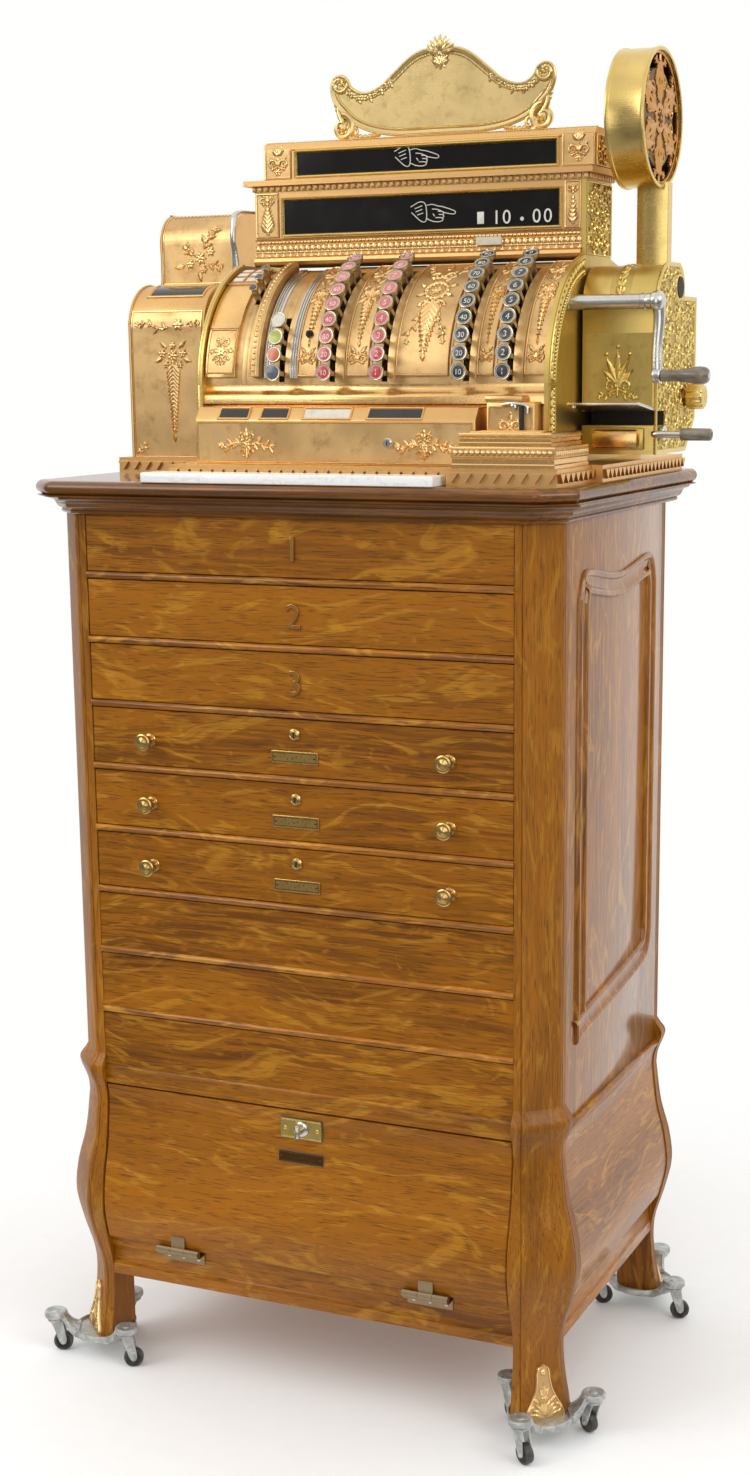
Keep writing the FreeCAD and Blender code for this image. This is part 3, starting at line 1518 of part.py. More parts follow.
def main():
    """Build every sub-part."""
    os.makedirs("parts", exist_ok=True)
    single = {
        "corner_posts": corner_posts, "sabots": sabots, "case_panels": case_panels, "case_rails": case_rails,
        "case_mouldings": case_mouldings, "dust_boards": dust_boards, "blank_fronts": blank_fronts,
        "counter_top": counter_top, "change_slab": change_slab, "drop_door": drop_door,
        "door_hinges": door_hinges, "door_hardware": door_hardware, "door_latch_turn": door_latch_turn,
        "register_base": register_base, "key_front": key_front, "register_shell": register_shell,
        "indicator_case": indicator_case, "glass_panes": glass_panes, "indicator_drums": indicator_drums,
        "top_sign": top_sign, "till_band": till_band, "ticket_box": ticket_box,
        "recorder_cabinet": recorder_cabinet, "crank_tube": crank_tube, "crank": crank, "crank_grip": crank_grip,
        "printer_case": printer_case, "ink_knob": ink_knob, "slip_table": slip_table, "slip_lever": slip_lever,
        "reel_housing": reel_housing, "paper_reel": paper_reel, "clerk_keys": clerk_keys,
        "dolly_castings": dolly_castings,
    }
    for name, make in single.items():
        save(name, make())
    for index in range(blank_count, cell_count):
        save("drawer_" + str(cell_count - index), drawer(index))
        if index < blank_count + record_count:
            save("drawer_furniture_" + str(cell_count - index), drawer_hardware(index))
    for index, x in enumerate(bank_places):
        save("money_keys_" + str(index + 1), money_bank(x))
    save("transaction_keys", group([transaction_key(index) for index in range(transaction_count)]))
    save_casters()


main()
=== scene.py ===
from math import atan2, ceil, cos, degrees, hypot, pi, radians, sin

import bpy
import numpy as np
from mathutils import Matrix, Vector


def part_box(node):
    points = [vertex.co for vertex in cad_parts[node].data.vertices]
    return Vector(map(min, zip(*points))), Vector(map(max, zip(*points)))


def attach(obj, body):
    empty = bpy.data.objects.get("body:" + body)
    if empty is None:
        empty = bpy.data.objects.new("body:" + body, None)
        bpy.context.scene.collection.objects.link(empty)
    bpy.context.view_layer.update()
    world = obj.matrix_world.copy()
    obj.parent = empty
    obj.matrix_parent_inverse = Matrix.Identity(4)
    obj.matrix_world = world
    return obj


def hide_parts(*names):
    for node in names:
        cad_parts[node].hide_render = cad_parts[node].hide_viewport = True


bl_info = {
    "name": "Ticket register",
    "version": (1, 0, 0),
    "blender": (4, 5, 0),
    "location": "View3D > Sidebar > Register",
    "description": "Brass ticket register on its oak cash-drawer cabinet, piece by piece",
    "category": "Object",
}

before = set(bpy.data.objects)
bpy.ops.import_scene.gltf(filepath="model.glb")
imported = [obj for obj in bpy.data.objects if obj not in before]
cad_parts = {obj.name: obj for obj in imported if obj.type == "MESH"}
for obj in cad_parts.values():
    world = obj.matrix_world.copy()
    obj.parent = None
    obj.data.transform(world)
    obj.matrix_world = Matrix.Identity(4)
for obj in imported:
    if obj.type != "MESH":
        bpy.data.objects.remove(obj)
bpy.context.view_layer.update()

# Lengths are millimetres in this file and become metres when a mesh is written.
MILLIMETRE = 0.001
SHARP_ANGLE = radians(32)
HANDS = (-1, 1)
FORWARD = (0, -1, 0)
RIGHTWARD = (1, 0, 0)
UPWARD = (0, 0, 1)
SIDES = [(-1, 1, 1)]
QUARTERS = [(-1, 1, 1), (1, -1, 1), (-1, -1, 1)]

# Oak case
HALF_WIDTH = 304.0
HALF_DEPTH = 210.5
HALF_OPENING = 260.0
CASE_TOP = 1050.0
FOOT_Z = 28.0
APRON_Z = 112.0
STILE = 13.0
CORNER_CUT = 31.0
POST_DEPTH = 45.5
SIDE_RUN = HALF_DEPTH - POST_DEPTH
PANEL = 14.0
NECK_Z = 333.0
WAIST_TOP = 392.0
SWELL = 20.0
FLARE = 9.0
DOOR_LOW = 163.0
DOOR_HIGH = 354.0
WAIST_SWELL = 9.0
CANT = 0.4
LEG = [(0.0, 0.0), (0.06, -0.25), (0.15, -0.75), (0.25, -1.0)]
BELLY = [(0.25, 0.0), (0.335, 0.12), (0.45, 0.62), (0.575, 1.0), (0.70, 0.82), (0.84, 0.3), (1.0, 0.0)]
WAIST = [(0.0, 0.0), (0.25, 0.2), (0.6, 1.0), (0.75, 1.0), (0.9, 0.35), (1.0, 0.0)]
CELL = 73.4
CELLS = 9
FIRST_BOARD = 374.6
BOARD = 8.0
BEAD_PROUD = 2.5
COUNTER = 18.0
OVERHANG = 27.0
REAR_OVERHANG = 5.0
COUNTER_Z = CASE_TOP + COUNTER
BASE_Z = COUNTER_Z + 18.0

# Register
BODY_LEFT = -149.0
BODY_RIGHT = 270.0
END_PLATE = 5.0
KEY_Z = 1172.0
KEY_FACE = 153.0
PLATE_RADIUS = 133.0
PLATE_LOW = 129.0
FIRST_ANGLE = 5.0
ANGLE_STEP = 7.45
BANKS = (14.0, 77.0, 173.0, 223.0)
TRANSACTION = -48.0
CLERK = -95.0
HEAD_FRONT = -21.0
CROWN_FRONT = -6.0
SIGN_X = 78.0

# Dollies: middle of each cup and the turn of its first arm
CUP_REACH = 60.0
DOLLIES = {"front_right": (287.0, -192.0, -92.0), "front_left": (-287.0, -192.0, -33.0),
    "rear_right": (287.0, 192.0, -33.0), "rear_left": (-287.0, 192.0, 150.0)}

# Point that the lamps face, in metres
LAMP_AIM = (0.0, 0.0, 0.95)

# Turned drawer knob from its foot to its dished face
KNOB = [(0, 8.0), (1.0, 8.0), (1.8, 7.4), (2.4, 5.4), (4.2, 4.3), (8.0, 4.0), (11.0, 4.9), (13.4, 7.6), (15.2, 9.6),
    (16.6, 10.0), (17.9, 9.7), (18.6, 8.6), (18.9, 7.2), (18.5, 6.0), (18.9, 4.4), (19.8, 2.4), (20.2, 0.6)]

# Line drawing of a pointing hand with its cuff, in a box 56 wide and 26 high
HAND_STROKES = [[(1, 20), (12, 25), (19, 22), (20, 6), (14, 4), (2, 14)], [(20, 21), (27, 22), (34, 20), (40, 19),
    (52, 15), (55, 13), (54, 11), (50, 11), (40, 13)],
    [(20, 7), (27, 4), (34, 3), (39, 4), (40, 6.5), (36, 7.5), (31, 7.5)],
    [(39, 6.6), (41, 8.4), (40, 10.4), (35, 11)], [(40, 10.4), (41, 12.4), (39, 14), (34, 14.4)],
    [(27, 17), (33, 16.4), (39, 14)], [(28, 12), (30, 9)], [(6, 18), (15, 21)], [(7, 14.5), (15, 17)],
    [(9, 11), (16, 13)]]


def smooth(points, count):
    """Points spread along a Catmull-Rom curve through the given ones: each span is a cubic whose end slopes are
    half the step between the neighbours."""
    given = np.asarray(points, float)
    ends = np.vstack([2 * given[0] - given[1], given, 2 * given[-1] - given[-2]])
    place = np.linspace(0, len(given) - 1, count)
    span = np.minimum(place.astype(int), len(given) - 2)
    t = (place - span)[:, None]
    a, b, c, d = ends[span], ends[span + 1], ends[span + 2], ends[span + 3]
    return 0.5 * (2 * b + (c - a) * t + (2 * a - 5 * b + 4 * c - d) * t**2 + (3 * b - a - 3 * c + d) * t**3)


def grid_faces(rows, columns, wrap_rows=False, wrap_columns=False):
    """Four-sided faces between neighbouring rows and columns of a grid of points."""
    i, j = np.meshgrid(np.arange(rows if wrap_rows else rows - 1),
        np.arange(columns if wrap_columns else columns - 1), indexing="ij")
    k, m = (i + 1) % rows, (j + 1) % columns
    return np.stack([i * columns + j, k * columns + j, k * columns + m, i * columns + m], -1).reshape(-1, 4)


class Form:
    """Surfaces gathered for one piece: points in millimetres, faces, the finish of each face and, for chased
    metal, the height of the relief at each point as a share from 0 to 1."""

    def __init__(self):
        self.points = []
        self.loops = []
        self.totals = []
        self.finishes = []
        self.relief = []
        self.count = 0

    def append(self, points, face_sets, finish=0, relief=None):
        """Adds one surface as it stands; each face set is a table of point numbers, one face to a row."""
        for faces in face_sets:
            self.loops.append((faces + self.count).ravel())
            self.totals.append(np.full(len(faces), faces.shape[1]))
            self.finishes.append(np.full(len(faces), finish))
        self.points.append(points)
        self.relief.append(np.zeros(len(points)) if relief is None else np.asarray(relief, float).ravel())
        self.count += len(points)
        return self

    def add(self, points, face_sets, finish=0, relief=None):
        """Adds one closed surface and turns its faces outward by its signed volume."""
        points = np.asarray(points, float).reshape(-1, 3)
        fans = [np.stack([faces[:, 0], faces[:, k], faces[:, k + 1]], 1) for faces in face_sets
            for k in range(1, faces.shape[1] - 1)]
        a, b, c = (points[np.concatenate(fans)[:, k]] for k in range(3))
        if np.einsum("ij,ij->", a - points.mean(0), np.cross(b - a, c - a)) < 0:
            face_sets = [faces[:, ::-1] for faces in face_sets]
        return self.append(points, face_sets, finish, relief)

    def skin(self, rings, closed=False, finish=0, relief=None):
        """Adds a surface through rings of points, with flat caps at both ends unless it closes on itself."""
        rings = np.asarray(rings, float)
        rows, columns = rings.shape[:2]
        faces = [grid_faces(rows, columns, closed, True)]
        if not closed:
            first = np.arange(columns)[None, ::-1]
            faces += [first, first[:, ::-1] + (rows - 1) * columns]
        return self.add(rings, faces, finish, relief)

    def mirrored(self, flips):
        """Adds a mirrored copy for each flip, which holds the signs of X, Y and Z."""
        points, relief = list(self.points), list(self.relief)
        sets = list(zip(self.loops, self.totals, self.finishes))
        for flip in flips:
            start = self.count
            for places, heights in zip(points, relief):
                self.points.append(places * np.array(flip, float))
                self.relief.append(heights)
                self.count += len(places)
            for loops, totals, finishes in sets:
                faces = loops.reshape(-1, totals[0])
                self.loops.append((faces[:, ::-1] if np.prod(flip) < 0 else faces).ravel() + start)
                self.totals.append(totals)
                self.finishes.append(finishes)
        return self


def build(name, form, materials, body, replaces=()):
    """Writes a form as one mesh object that rides on a CAD body."""
    mesh = bpy.data.meshes.new(name)
    points = np.concatenate(form.points) * MILLIMETRE
    loops = np.concatenate(form.loops).astype(np.int32)
    totals = np.concatenate(form.totals).astype(np.int32)
    mesh.vertices.add(len(points))
    mesh.vertices.foreach_set("co", points.astype(np.float32).ravel())
    mesh.loops.add(len(loops))
    mesh.loops.foreach_set("vertex_index", loops)
    mesh.polygons.add(len(totals))
    mesh.polygons.foreach_set("loop_start", (np.cumsum(totals) - totals).astype(np.int32))
    mesh.polygons.foreach_set("loop_total", totals)
    mesh.polygons.foreach_set("material_index", np.concatenate(form.finishes).astype(np.int32))
    mesh.polygons.foreach_set("use_smooth", np.ones(len(totals), bool))
    mesh.update(calc_edges=True)
    mesh.validate()
    mesh.set_sharp_from_angle(angle=SHARP_ANGLE)
    height = mesh.attributes.new("relief", "FLOAT", "POINT")
    height.data.foreach_set("value", np.concatenate(form.relief).astype(np.float32))
    for material in materials if isinstance(materials, (list, tuple)) else [materials]:
        mesh.materials.append(material)
    piece = bpy.data.objects.new(name, mesh)
    bpy.context.scene.collection.objects.link(piece)
    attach(piece, body)
    if replaces:
        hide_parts(*replaces)
    return piece


def basis(axis):
    """Three unit directions: along an axis, and two square to it."""
    along = np.asarray(axis, float) / np.linalg.norm(axis)
    first = np.cross(along, [0.0, 0.0, 1.0] if abs(along[2]) < 0.9 else [0.0, 1.0, 0.0])
    first /= np.linalg.norm(first)
    return along, first, np.cross(along, first)


def circle(sides, first, second):
    """Points round a circle of radius 1, from a first direction towards a second one."""
    angle = np.arange(sides) * 2 * pi / sides
    return np.cos(angle)[:, None] * first + np.sin(angle)[:, None] * second


def turned_rings(profile, origin, axis, sides=40):
    """Rings of a turned piece: each profile point is a distance along the axis and a radius there."""
    along, first, second = basis(axis)
    profile = np.asarray(profile, float)
    return (np.asarray(origin, float) + profile[:, 0, None, None] * along + profile[:, 1, None, None]
        * circle(sides, first, second))


def turned(form, profile, origin, axis, sides=40, finish=0):
    """Adds a turned piece with closed ends."""
    return form.skin(turned_rings(profile, origin, axis, sides), finish=finish)


def inset(outline, distance):
    """Polygon drawn in by a distance along the bisector at each corner; the outline runs anticlockwise."""
    outline = np.asarray(outline, float)
    before = outline - np.roll(outline, 1, 0)
    after = np.roll(outline, -1, 0) - outline
    before /= np.linalg.norm(before, axis=1, keepdims=True)
    after /= np.linalg.norm(after, axis=1, keepdims=True)
    left_a = np.stack([-before[:, 1], before[:, 0]], 1)
    left_b = np.stack([-after[:, 1], after[:, 0]], 1)
    middle = left_a + left_b
    scale = 2 / np.maximum((middle**2).sum(1, keepdims=True), 0.5)
    return outline + middle * scale * distance


def anticlockwise(outline):
    """The same polygon, running anticlockwise."""
    outline = np.asarray(outline, float)
    x, y = outline[:, 0], outline[:, 1]
    return outline if (x * np.roll(y, -1) - np.roll(x, -1) * y).sum() > 0 else outline[::-1]


def soften(outline, radius, steps=4):
    """Closed polygon with its corners rounded."""
    outline = np.asarray(outline, float)
    points = []
    for before, here, after in zip(np.roll(outline, 1, 0), outline, np.roll(outline, -1, 0)):
        reach = min(radius, np.linalg.norm(here - before) * 0.45, np.linalg.norm(after - here) * 0.45)
        a = here + (before - here) / np.linalg.norm(before - here) * reach
        b = here + (after - here) / np.linalg.norm(after - here) * reach
        for t in np.linspace(0, 1, steps):
            points.append((1 - t) ** 2 * a + 2 * t * (1 - t) * here + t**2 * b)
    return np.array(points)


def plate(form, outline, low, high, axis=2, edge=0.8, finish=0):
    """Adds a plate cut to an outline, from low to high along an axis, with its rims rounded over by quarter
    circles. The outline holds the two other coordinates in their order."""
    outline = anticlockwise(outline)
    edge = min(edge, (high - low) * 0.45)
    angle = np.linspace(0, pi / 2, 3)
    rim = [(edge * (1 - sin(t)), low + edge * (1 - cos(t))) for t in angle]
    rim += [(edge * (1 - sin(t)), high - edge * (1 - cos(t))) for t in angle[::-1]]
    rings = []
    for drawn_in, level in rim:
        flat = inset(outline, drawn_in)
        ring = np.full((len(flat), 3), level)
        ring[:, [k for k in range(3) if k != axis]] = flat
        rings.append(ring)
    return form.skin(rings, finish=finish)


def block(form, low, high, edge=0.8, finish=0):
    """Adds a block between two corners with rounded edges."""
    (a, c), (b, d) = low[:2], high[:2]
    rim = min(edge, (b - a) * 0.4, (d - c) * 0.4)
    return plate(form, soften([(a, c), (b, c), (b, d), (a, d)], rim, 3), low[2], high[2], 2, edge, finish)


def tube(form, path, radius, sides=16, finish=0, flatten=1.0):
    """Adds a round bar along a path: at each point a circle square to the path, of the radius there. The frame is
    carried along by turning it as little as the path turns."""
    path = np.asarray(path, float)
    radii = np.broadcast_to(np.asarray(radius, float), len(path))
    tangent = np.gradient(path, axis=0)
    tangent /= np.linalg.norm(tangent, axis=1, keepdims=True)
    side = basis(tangent[0])[1]
    rings = []
    for place, along, reach in zip(path, tangent, radii):
        side = side - along * (side @ along)
        side /= np.linalg.norm(side)
        rings.append(place + reach * circle(sides, side, np.cross(along, side) * flatten))
    return form.skin(rings, finish=finish)


def rim_roll(form, path, up, radius, sides, drawn=0.0):
    """Adds a round bead along a closed path, drawn in from it by a distance."""
    rings = []
    for here, before, after in zip(path, np.roll(path, 1, 0), np.roll(path, -1, 0)):
        side = np.cross((after - before) / np.linalg.norm(after - before), up)
        rings.append(here - side * drawn + radius * circle(sides, side, np.array(up, float)))
    return form.skin(rings, closed=True, relief=np.ones(len(rings) * sides))


def rim_of(rows, columns):
    """Numbers of the points round the edge of a grid, in order."""
    ids = np.arange(rows * columns).reshape(rows, columns)
    return np.concatenate([ids[0], ids[1:, -1], ids[-1, -2::-1], ids[-2:0:-1, 0]])


def sweep(form, section, path, up, closed=False, finish=0):
    """Adds a moulding: a section drawn at each corner of a path and mitred there. A section point is the distance
    out to the right of the path and the distance along up."""
    path = np.asarray(path, float)
    up = np.asarray(up, float)
    section = np.asarray(section, float)
    step = np.roll(path, -1, 0) - path
    if not closed:
        step[-1] = step[-2]
    step /= np.linalg.norm(step, axis=1, keepdims=True)
    before = np.roll(step, 1, 0)
    if not closed:
        before[0] = step[0]
    right_a, right_b = np.cross(before, up), np.cross(step, up)
    middle = right_a + right_b
    middle *= 2 / np.maximum((middle**2).sum(1, keepdims=True), 0.4)
    rings = path[:, None] + section[None, :, :1] * middle[:, None] + section[None, :, 1:] * up
    return form.skin(rings, closed, finish)


# Chased ornament: every call returns the height in millimetres of one motif over a plane of x and y in millimetres


def ridge(distance, half, height):
    """Round-backed ridge: a half ellipse over the distance from its line."""
    return height * np.sqrt(np.clip(1 - (distance / np.maximum(half, 1e-6)) ** 2, 0, 1))


def stroke(x, y, points, half_start, half_end, height):
    """Ridge along a polyline whose half width runs evenly from its start to its end."""
    points = np.asarray(points, float)
    lengths = np.linalg.norm(np.diff(points, axis=0), axis=1)
    runs = np.concatenate([[0], np.cumsum(lengths)]) / lengths.sum()
    result = np.zeros_like(x)
    for (a, b), start, end in zip(zip(points, points[1:]), runs, runs[1:]):
        step = b - a
        t = np.clip(((x - a[0]) * step[0] + (y - a[1]) * step[1]) / max(step @ step, 1e-9), 0, 1)
        away = np.hypot(x - a[0] - t * step[0], y - a[1] - t * step[1])
        half = half_start + (half_end - half_start) * (start + (end - start) * t)
        result = np.maximum(result, ridge(away, half, height * (half / max(half_start, half_end)) ** 0.5))
    return result


def curl(centre, radius, turns, start, hand, count=22):
    """Points of a volute that winds in from a radius to its eye."""
    t = np.linspace(0, 1, count)
    angle = radians(start) + hand * turns * 2 * pi * t
    reach = radius * (1 - t) ** 0.8 + radius * 0.12
    return np.stack([centre[0] + reach * np.cos(angle), centre[1] + reach * np.sin(angle)], 1)


def leaf(x, y, root, angle, length, width, height, notch=0.18):
    """Pointed leaf with lobed rims and a midrib: the half width swells as the sine of the way along."""
    turn = radians(angle)
    along = ((x - root[0]) * cos(turn) + (y - root[1]) * sin(turn)) / length
    across = -(x - root[0]) * sin(turn) + (y - root[1]) * cos(turn)
    share = np.clip(along, 0, 1)
    half = width / 2 * np.sin(pi * share**0.75) * (1 - notch * np.abs(np.sin(share * 4 * pi)))
    body = ridge(across, half, height) * (0.72 + 0.28 * np.exp(-((across / (width * 0.09)) ** 2)))
    return np.where((along > 0) & (along < 1), body, 0.0)


def fan(x, y, root, angle, spread, count, length, width, height):
    """Leaves spread as a fan, the middle one the longest."""
    result = np.zeros_like(x)
    for share in np.linspace(-1, 1, count):
        reach = length * (1 - 0.3 * share**2)
        result = np.maximum(result, leaf(x, y, root, angle + share * spread / 2, reach, width, height, 0.05))
    return result


def rosette(x, y, centre, radius, petals, height):
    """Round flower: petals as a cosine of the angle, with a boss in the middle."""
    dx, dy = x - centre[0], y - centre[1]
    away = np.hypot(dx, dy) / radius
    wave = 0.78 + 0.22 * np.cos(petals * np.arctan2(dy, dx))
    flower = height * np.sqrt(np.clip(1 - (away / wave) ** 4, 0, 1)) * (0.45 + 0.55 * np.abs(away))
    return np.maximum(np.where(away < wave, flower, 0), ridge(away, 0.3, height * 1.1))


def beads(x, y, start, end, pitch, radius, height):
    """Row of round beads along a straight line."""
    start, end = np.asarray(start, float), np.asarray(end, float)
    run = np.linalg.norm(end - start)
    count = max(1, int(round(run / pitch)))
    step = (end - start) / run
    along = (x - start[0]) * step[0] + (y - start[1]) * step[1]
    across = -(x - start[0]) * step[1] + (y - start[1]) * step[0]
    size = run / count
    near = (np.clip(np.floor(along / size), 0, count - 1) + 0.5) * size
    return ridge(np.hypot(along - near, across), radius, height)


def feather(x, y, top, length, width, height, angle=-90.0, pairs=9):
    """Tapering pendant: a stem with paired slanted leaves that get smaller to the tip."""
    turn = radians(angle)
    axis = np.array([cos(turn), sin(turn)])
    top = np.asarray(top, float)
    result = stroke(x, y, [top, top + axis * length], width * 0.09, width * 0.04, height * 0.9)
    for index in range(pairs):
        share = index / pairs
        root = top + axis * length * (0.04 + 0.86 * share)
        size = width * 0.62 * (1 - 0.72 * share)
        for hand in HANDS:
            result = np.maximum(result, leaf(x, y, root, angle + hand * 42, size, size * 0.5, height, 0.0))
    return np.maximum(result, leaf(x, y, top + axis * length * 0.9, angle, length * 0.12, width * 0.2, height, 0))


def branch(x, y, start, end, sway, width, height, buds=4):
    """Wavy stem from start to end with a leaf on each side in turn and a flower at its end."""
    start, end = np.asarray(start, float), np.asarray(end, float)
    run = end - start
    side = np.array([-run[1], run[0]]) / np.linalg.norm(run)
    share = np.linspace(0, 1, 14)
    line = start + share[:, None] * run + (sway * np.sin(share * 2 * pi))[:, None] * side
    result = stroke(x, y, line, width * 0.12, width * 0.07, height * 0.8)
    heading = degrees(atan2(run[1], run[0]))
    for index in range(buds):
        place = line[int((index + 0.6) * 13 / (buds + 0.4))]
        hand = 1 if index % 2 else -1
        result = np.maximum(result, leaf(x, y, place, heading + hand * 52, width, width * 0.5, height))
        result = np.maximum(result, leaf(x, y, place, heading - hand * 30, width * 0.6, width * 0.3, height))
    return np.maximum(result, rosette(x, y, line[-1], width * 0.42, 5, height))


def border(x, y, low, high, half, height, radius=0.0):
    """Ridge that runs round a rectangle."""
    cx, cy = (low[0] + high[0]) / 2, (low[1] + high[1]) / 2
    dx = np.abs(x - cx) - (high[0] - low[0]) / 2 + radius
    dy = np.abs(y - cy) - (high[1] - low[1]) / 2 + radius
    away = np.hypot(np.maximum(dx, 0), np.maximum(dy, 0)) + np.minimum(np.maximum(dx, dy), 0) - radius
    return ridge(away, half, height)


def bare(x, y):
    """No motif: a flat ground."""
    return x * 0.0


def highest(*layers):
    """The highest of several motifs at each point."""
    result = layers[0]
    for layer in layers[1:]:
        result = np.maximum(result, layer)
    return result


def mirrors(place):
    """True for a place function that turns a right hand into a left one."""
    corners = ([np.array([float(value)]) for value in row] for row in np.vstack([np.zeros(3), np.eye(3)]))
    origin, ex, ey, eh = (np.concatenate(place(*corner)) for corner in corners)
    return np.cross(ex - origin, ey - origin) @ (eh - origin) < 0


def relief(form, place, width, height, motif, cell=0.6, finish=0, sink=0.5, full=1.6, base=0.1):
    """Adds a chased panel: place turns x, y and the height over the ground into points. The motif is drawn on cells of
    one size over a ground that is lifted by base, and full is the height that counts as fully raised. The panel's rim
    sinks into what carries it, and its hidden back is closed."""
    nu, nv = max(4, int(ceil(width / cell))), max(4, int(ceil(height / cell)))
    x, y = np.meshgrid(np.linspace(0, width, nu), np.linspace(0, height, nv), indexing="ij")
    level = motif(x, y)
    x, y, share = (np.pad(layer, 1, mode="edge") for layer in (x, y, np.clip(level / full, 0, 1)))
    points = np.stack(place(x, y, np.pad(level + base, 1, constant_values=-sink)), -1).reshape(-1, 3)
    sets = [grid_faces(*x.shape), rim_of(*x.shape)[None]]
    if mirrors(place):
        sets = [faces[:, ::-1] for faces in sets]
    return form.append(points, sets, finish, share)


class Value:
    """A number on its way through a material. The usual signs join two of them into one Math node."""

    def __init__(self, shader, socket):
        self.shader, self.socket = shader, socket

    def math(self, kind, *others, swap=False):
        """Joins this value and others in one Math node."""
        parts = [*others, self] if swap else [self, *others]
        node = self.shader.node("ShaderNodeMath", {"operation": kind}, dict(enumerate(parts)))
        return Value(self.shader, node.outputs[0])

    def __add__(self, other):
        return self.math("ADD", other)

    def __radd__(self, other):
        return self.math("ADD", other, swap=True)

    def __sub__(self, other):
        return self.math("SUBTRACT", other)

    def __rsub__(self, other):
        return self.math("SUBTRACT", other, swap=True)

    def __mul__(self, other):
        return self.math("MULTIPLY", other)

    def __truediv__(self, other):
        return self.math("DIVIDE", other)

    def floor(self):
        return self.math("FLOOR")

    def step(self, low, high):
        """Rises smoothly from 0 at low to 1 at high."""
        node = self.shader.node("ShaderNodeMapRange", {"interpolation_type": "SMOOTHSTEP"},
            {"Value": self, "From Min": low, "From Max": high})
        return Value(self.shader, node.outputs[0])


class Shader:
    """A material, or the surroundings, under construction."""

    def __init__(self, name, library=None, coordinates="Object"):
        self.owner = (bpy.data.materials if library is None else library).new(name)
        self.owner.use_nodes = True
        self.tree = self.owner.node_tree
        self.tree.nodes.clear()
        self.place = self.node("ShaderNodeTexCoord").outputs[coordinates]
        parts = self.node("ShaderNodeSeparateXYZ", None, {0: self.place}).outputs
        self.x, self.y, self.z = (Value(self, part) for part in parts)

    def node(self, kind, settings=None, inputs=None):
        """Makes a node: its type, then its settings, then the values and links of its sockets."""
        made = self.tree.nodes.new(kind)
        for key, value in (settings or {}).items():
            setattr(made, key, value)
        for key, value in (inputs or {}).items():
            if isinstance(value, Value):
                self.tree.links.new(value.socket, made.inputs[key])
            elif isinstance(value, bpy.types.NodeSocket):
                self.tree.links.new(value, made.inputs[key])
            else:
                made.inputs[key].default_value = value
        return made

    def vector(self, x, y, z):
        """Three values as one vector."""
        return self.node("ShaderNodeCombineXYZ", None, {0: x, 1: y, 2: z}).outputs[0]

    def noise(self, vector, scale, detail=3.0, rough=0.5, warp=0.0):
        """Soft random value at a place."""
        made = self.node("ShaderNodeTexNoise", None, {"Vector": vector, "Scale": scale, "Detail": detail,
            "Roughness": rough, "Distortion": warp})
        return Value(self, made.outputs["Fac"])

    def mix(self, share, low, high):
        """Colour between two others."""
        low, high = (tuple(color) + (1.0,) if isinstance(color, tuple) else color for color in (low, high))
        return self.node("ShaderNodeMix", {"data_type": "RGBA"}, {0: share, 6: low, 7: high}).outputs[2]

    def bump(self, height, distance, strength):
        """Surface direction of a height."""
        made = self.node("ShaderNodeBump", None, {"Height": height, "Distance": distance, "Strength": strength})
        return made.outputs["Normal"]

    def attribute(self, name):
        """Value that the mesh carries at its points."""
        made = self.node("ShaderNodeAttribute", {"attribute_name": name})
        return Value(self, made.outputs["Fac"])

    def finish(self, **inputs):
        """Ends the material in a plain surface node."""
        keys = {"color": "Base Color", "rough": "Roughness", "metal": "Metallic", "coat": "Coat Weight",
            "coat_rough": "Coat Roughness", "normal": "Normal", "ior": "IOR", "alpha": "Alpha"}
        named = {keys[key]: tuple(value) + (1.0,) if isinstance(value, tuple) else value
            for key, value in inputs.items()}
        surface = self.node("ShaderNodeBsdfPrincipled", None, named)
        self.node("ShaderNodeOutputMaterial", None, {"Surface": surface.outputs[0]})
        return self.owner


# Colours, linear
OAK_DARK = (0.130, 0.040, 0.0015)
OAK_MID = (0.410, 0.140, 0.0030)
OAK_LIGHT = (0.640, 0.290, 0.0200)
OAK_PORE = (0.090, 0.028, 0.0020)
COPPER_GOLD = (0.930, 0.610, 0.270)
COPPER_DEEP = (0.250, 0.100, 0.018)
YELLOW_GOLD = (0.760, 0.550, 0.170)
YELLOW_DEEP = (0.180, 0.105, 0.012)


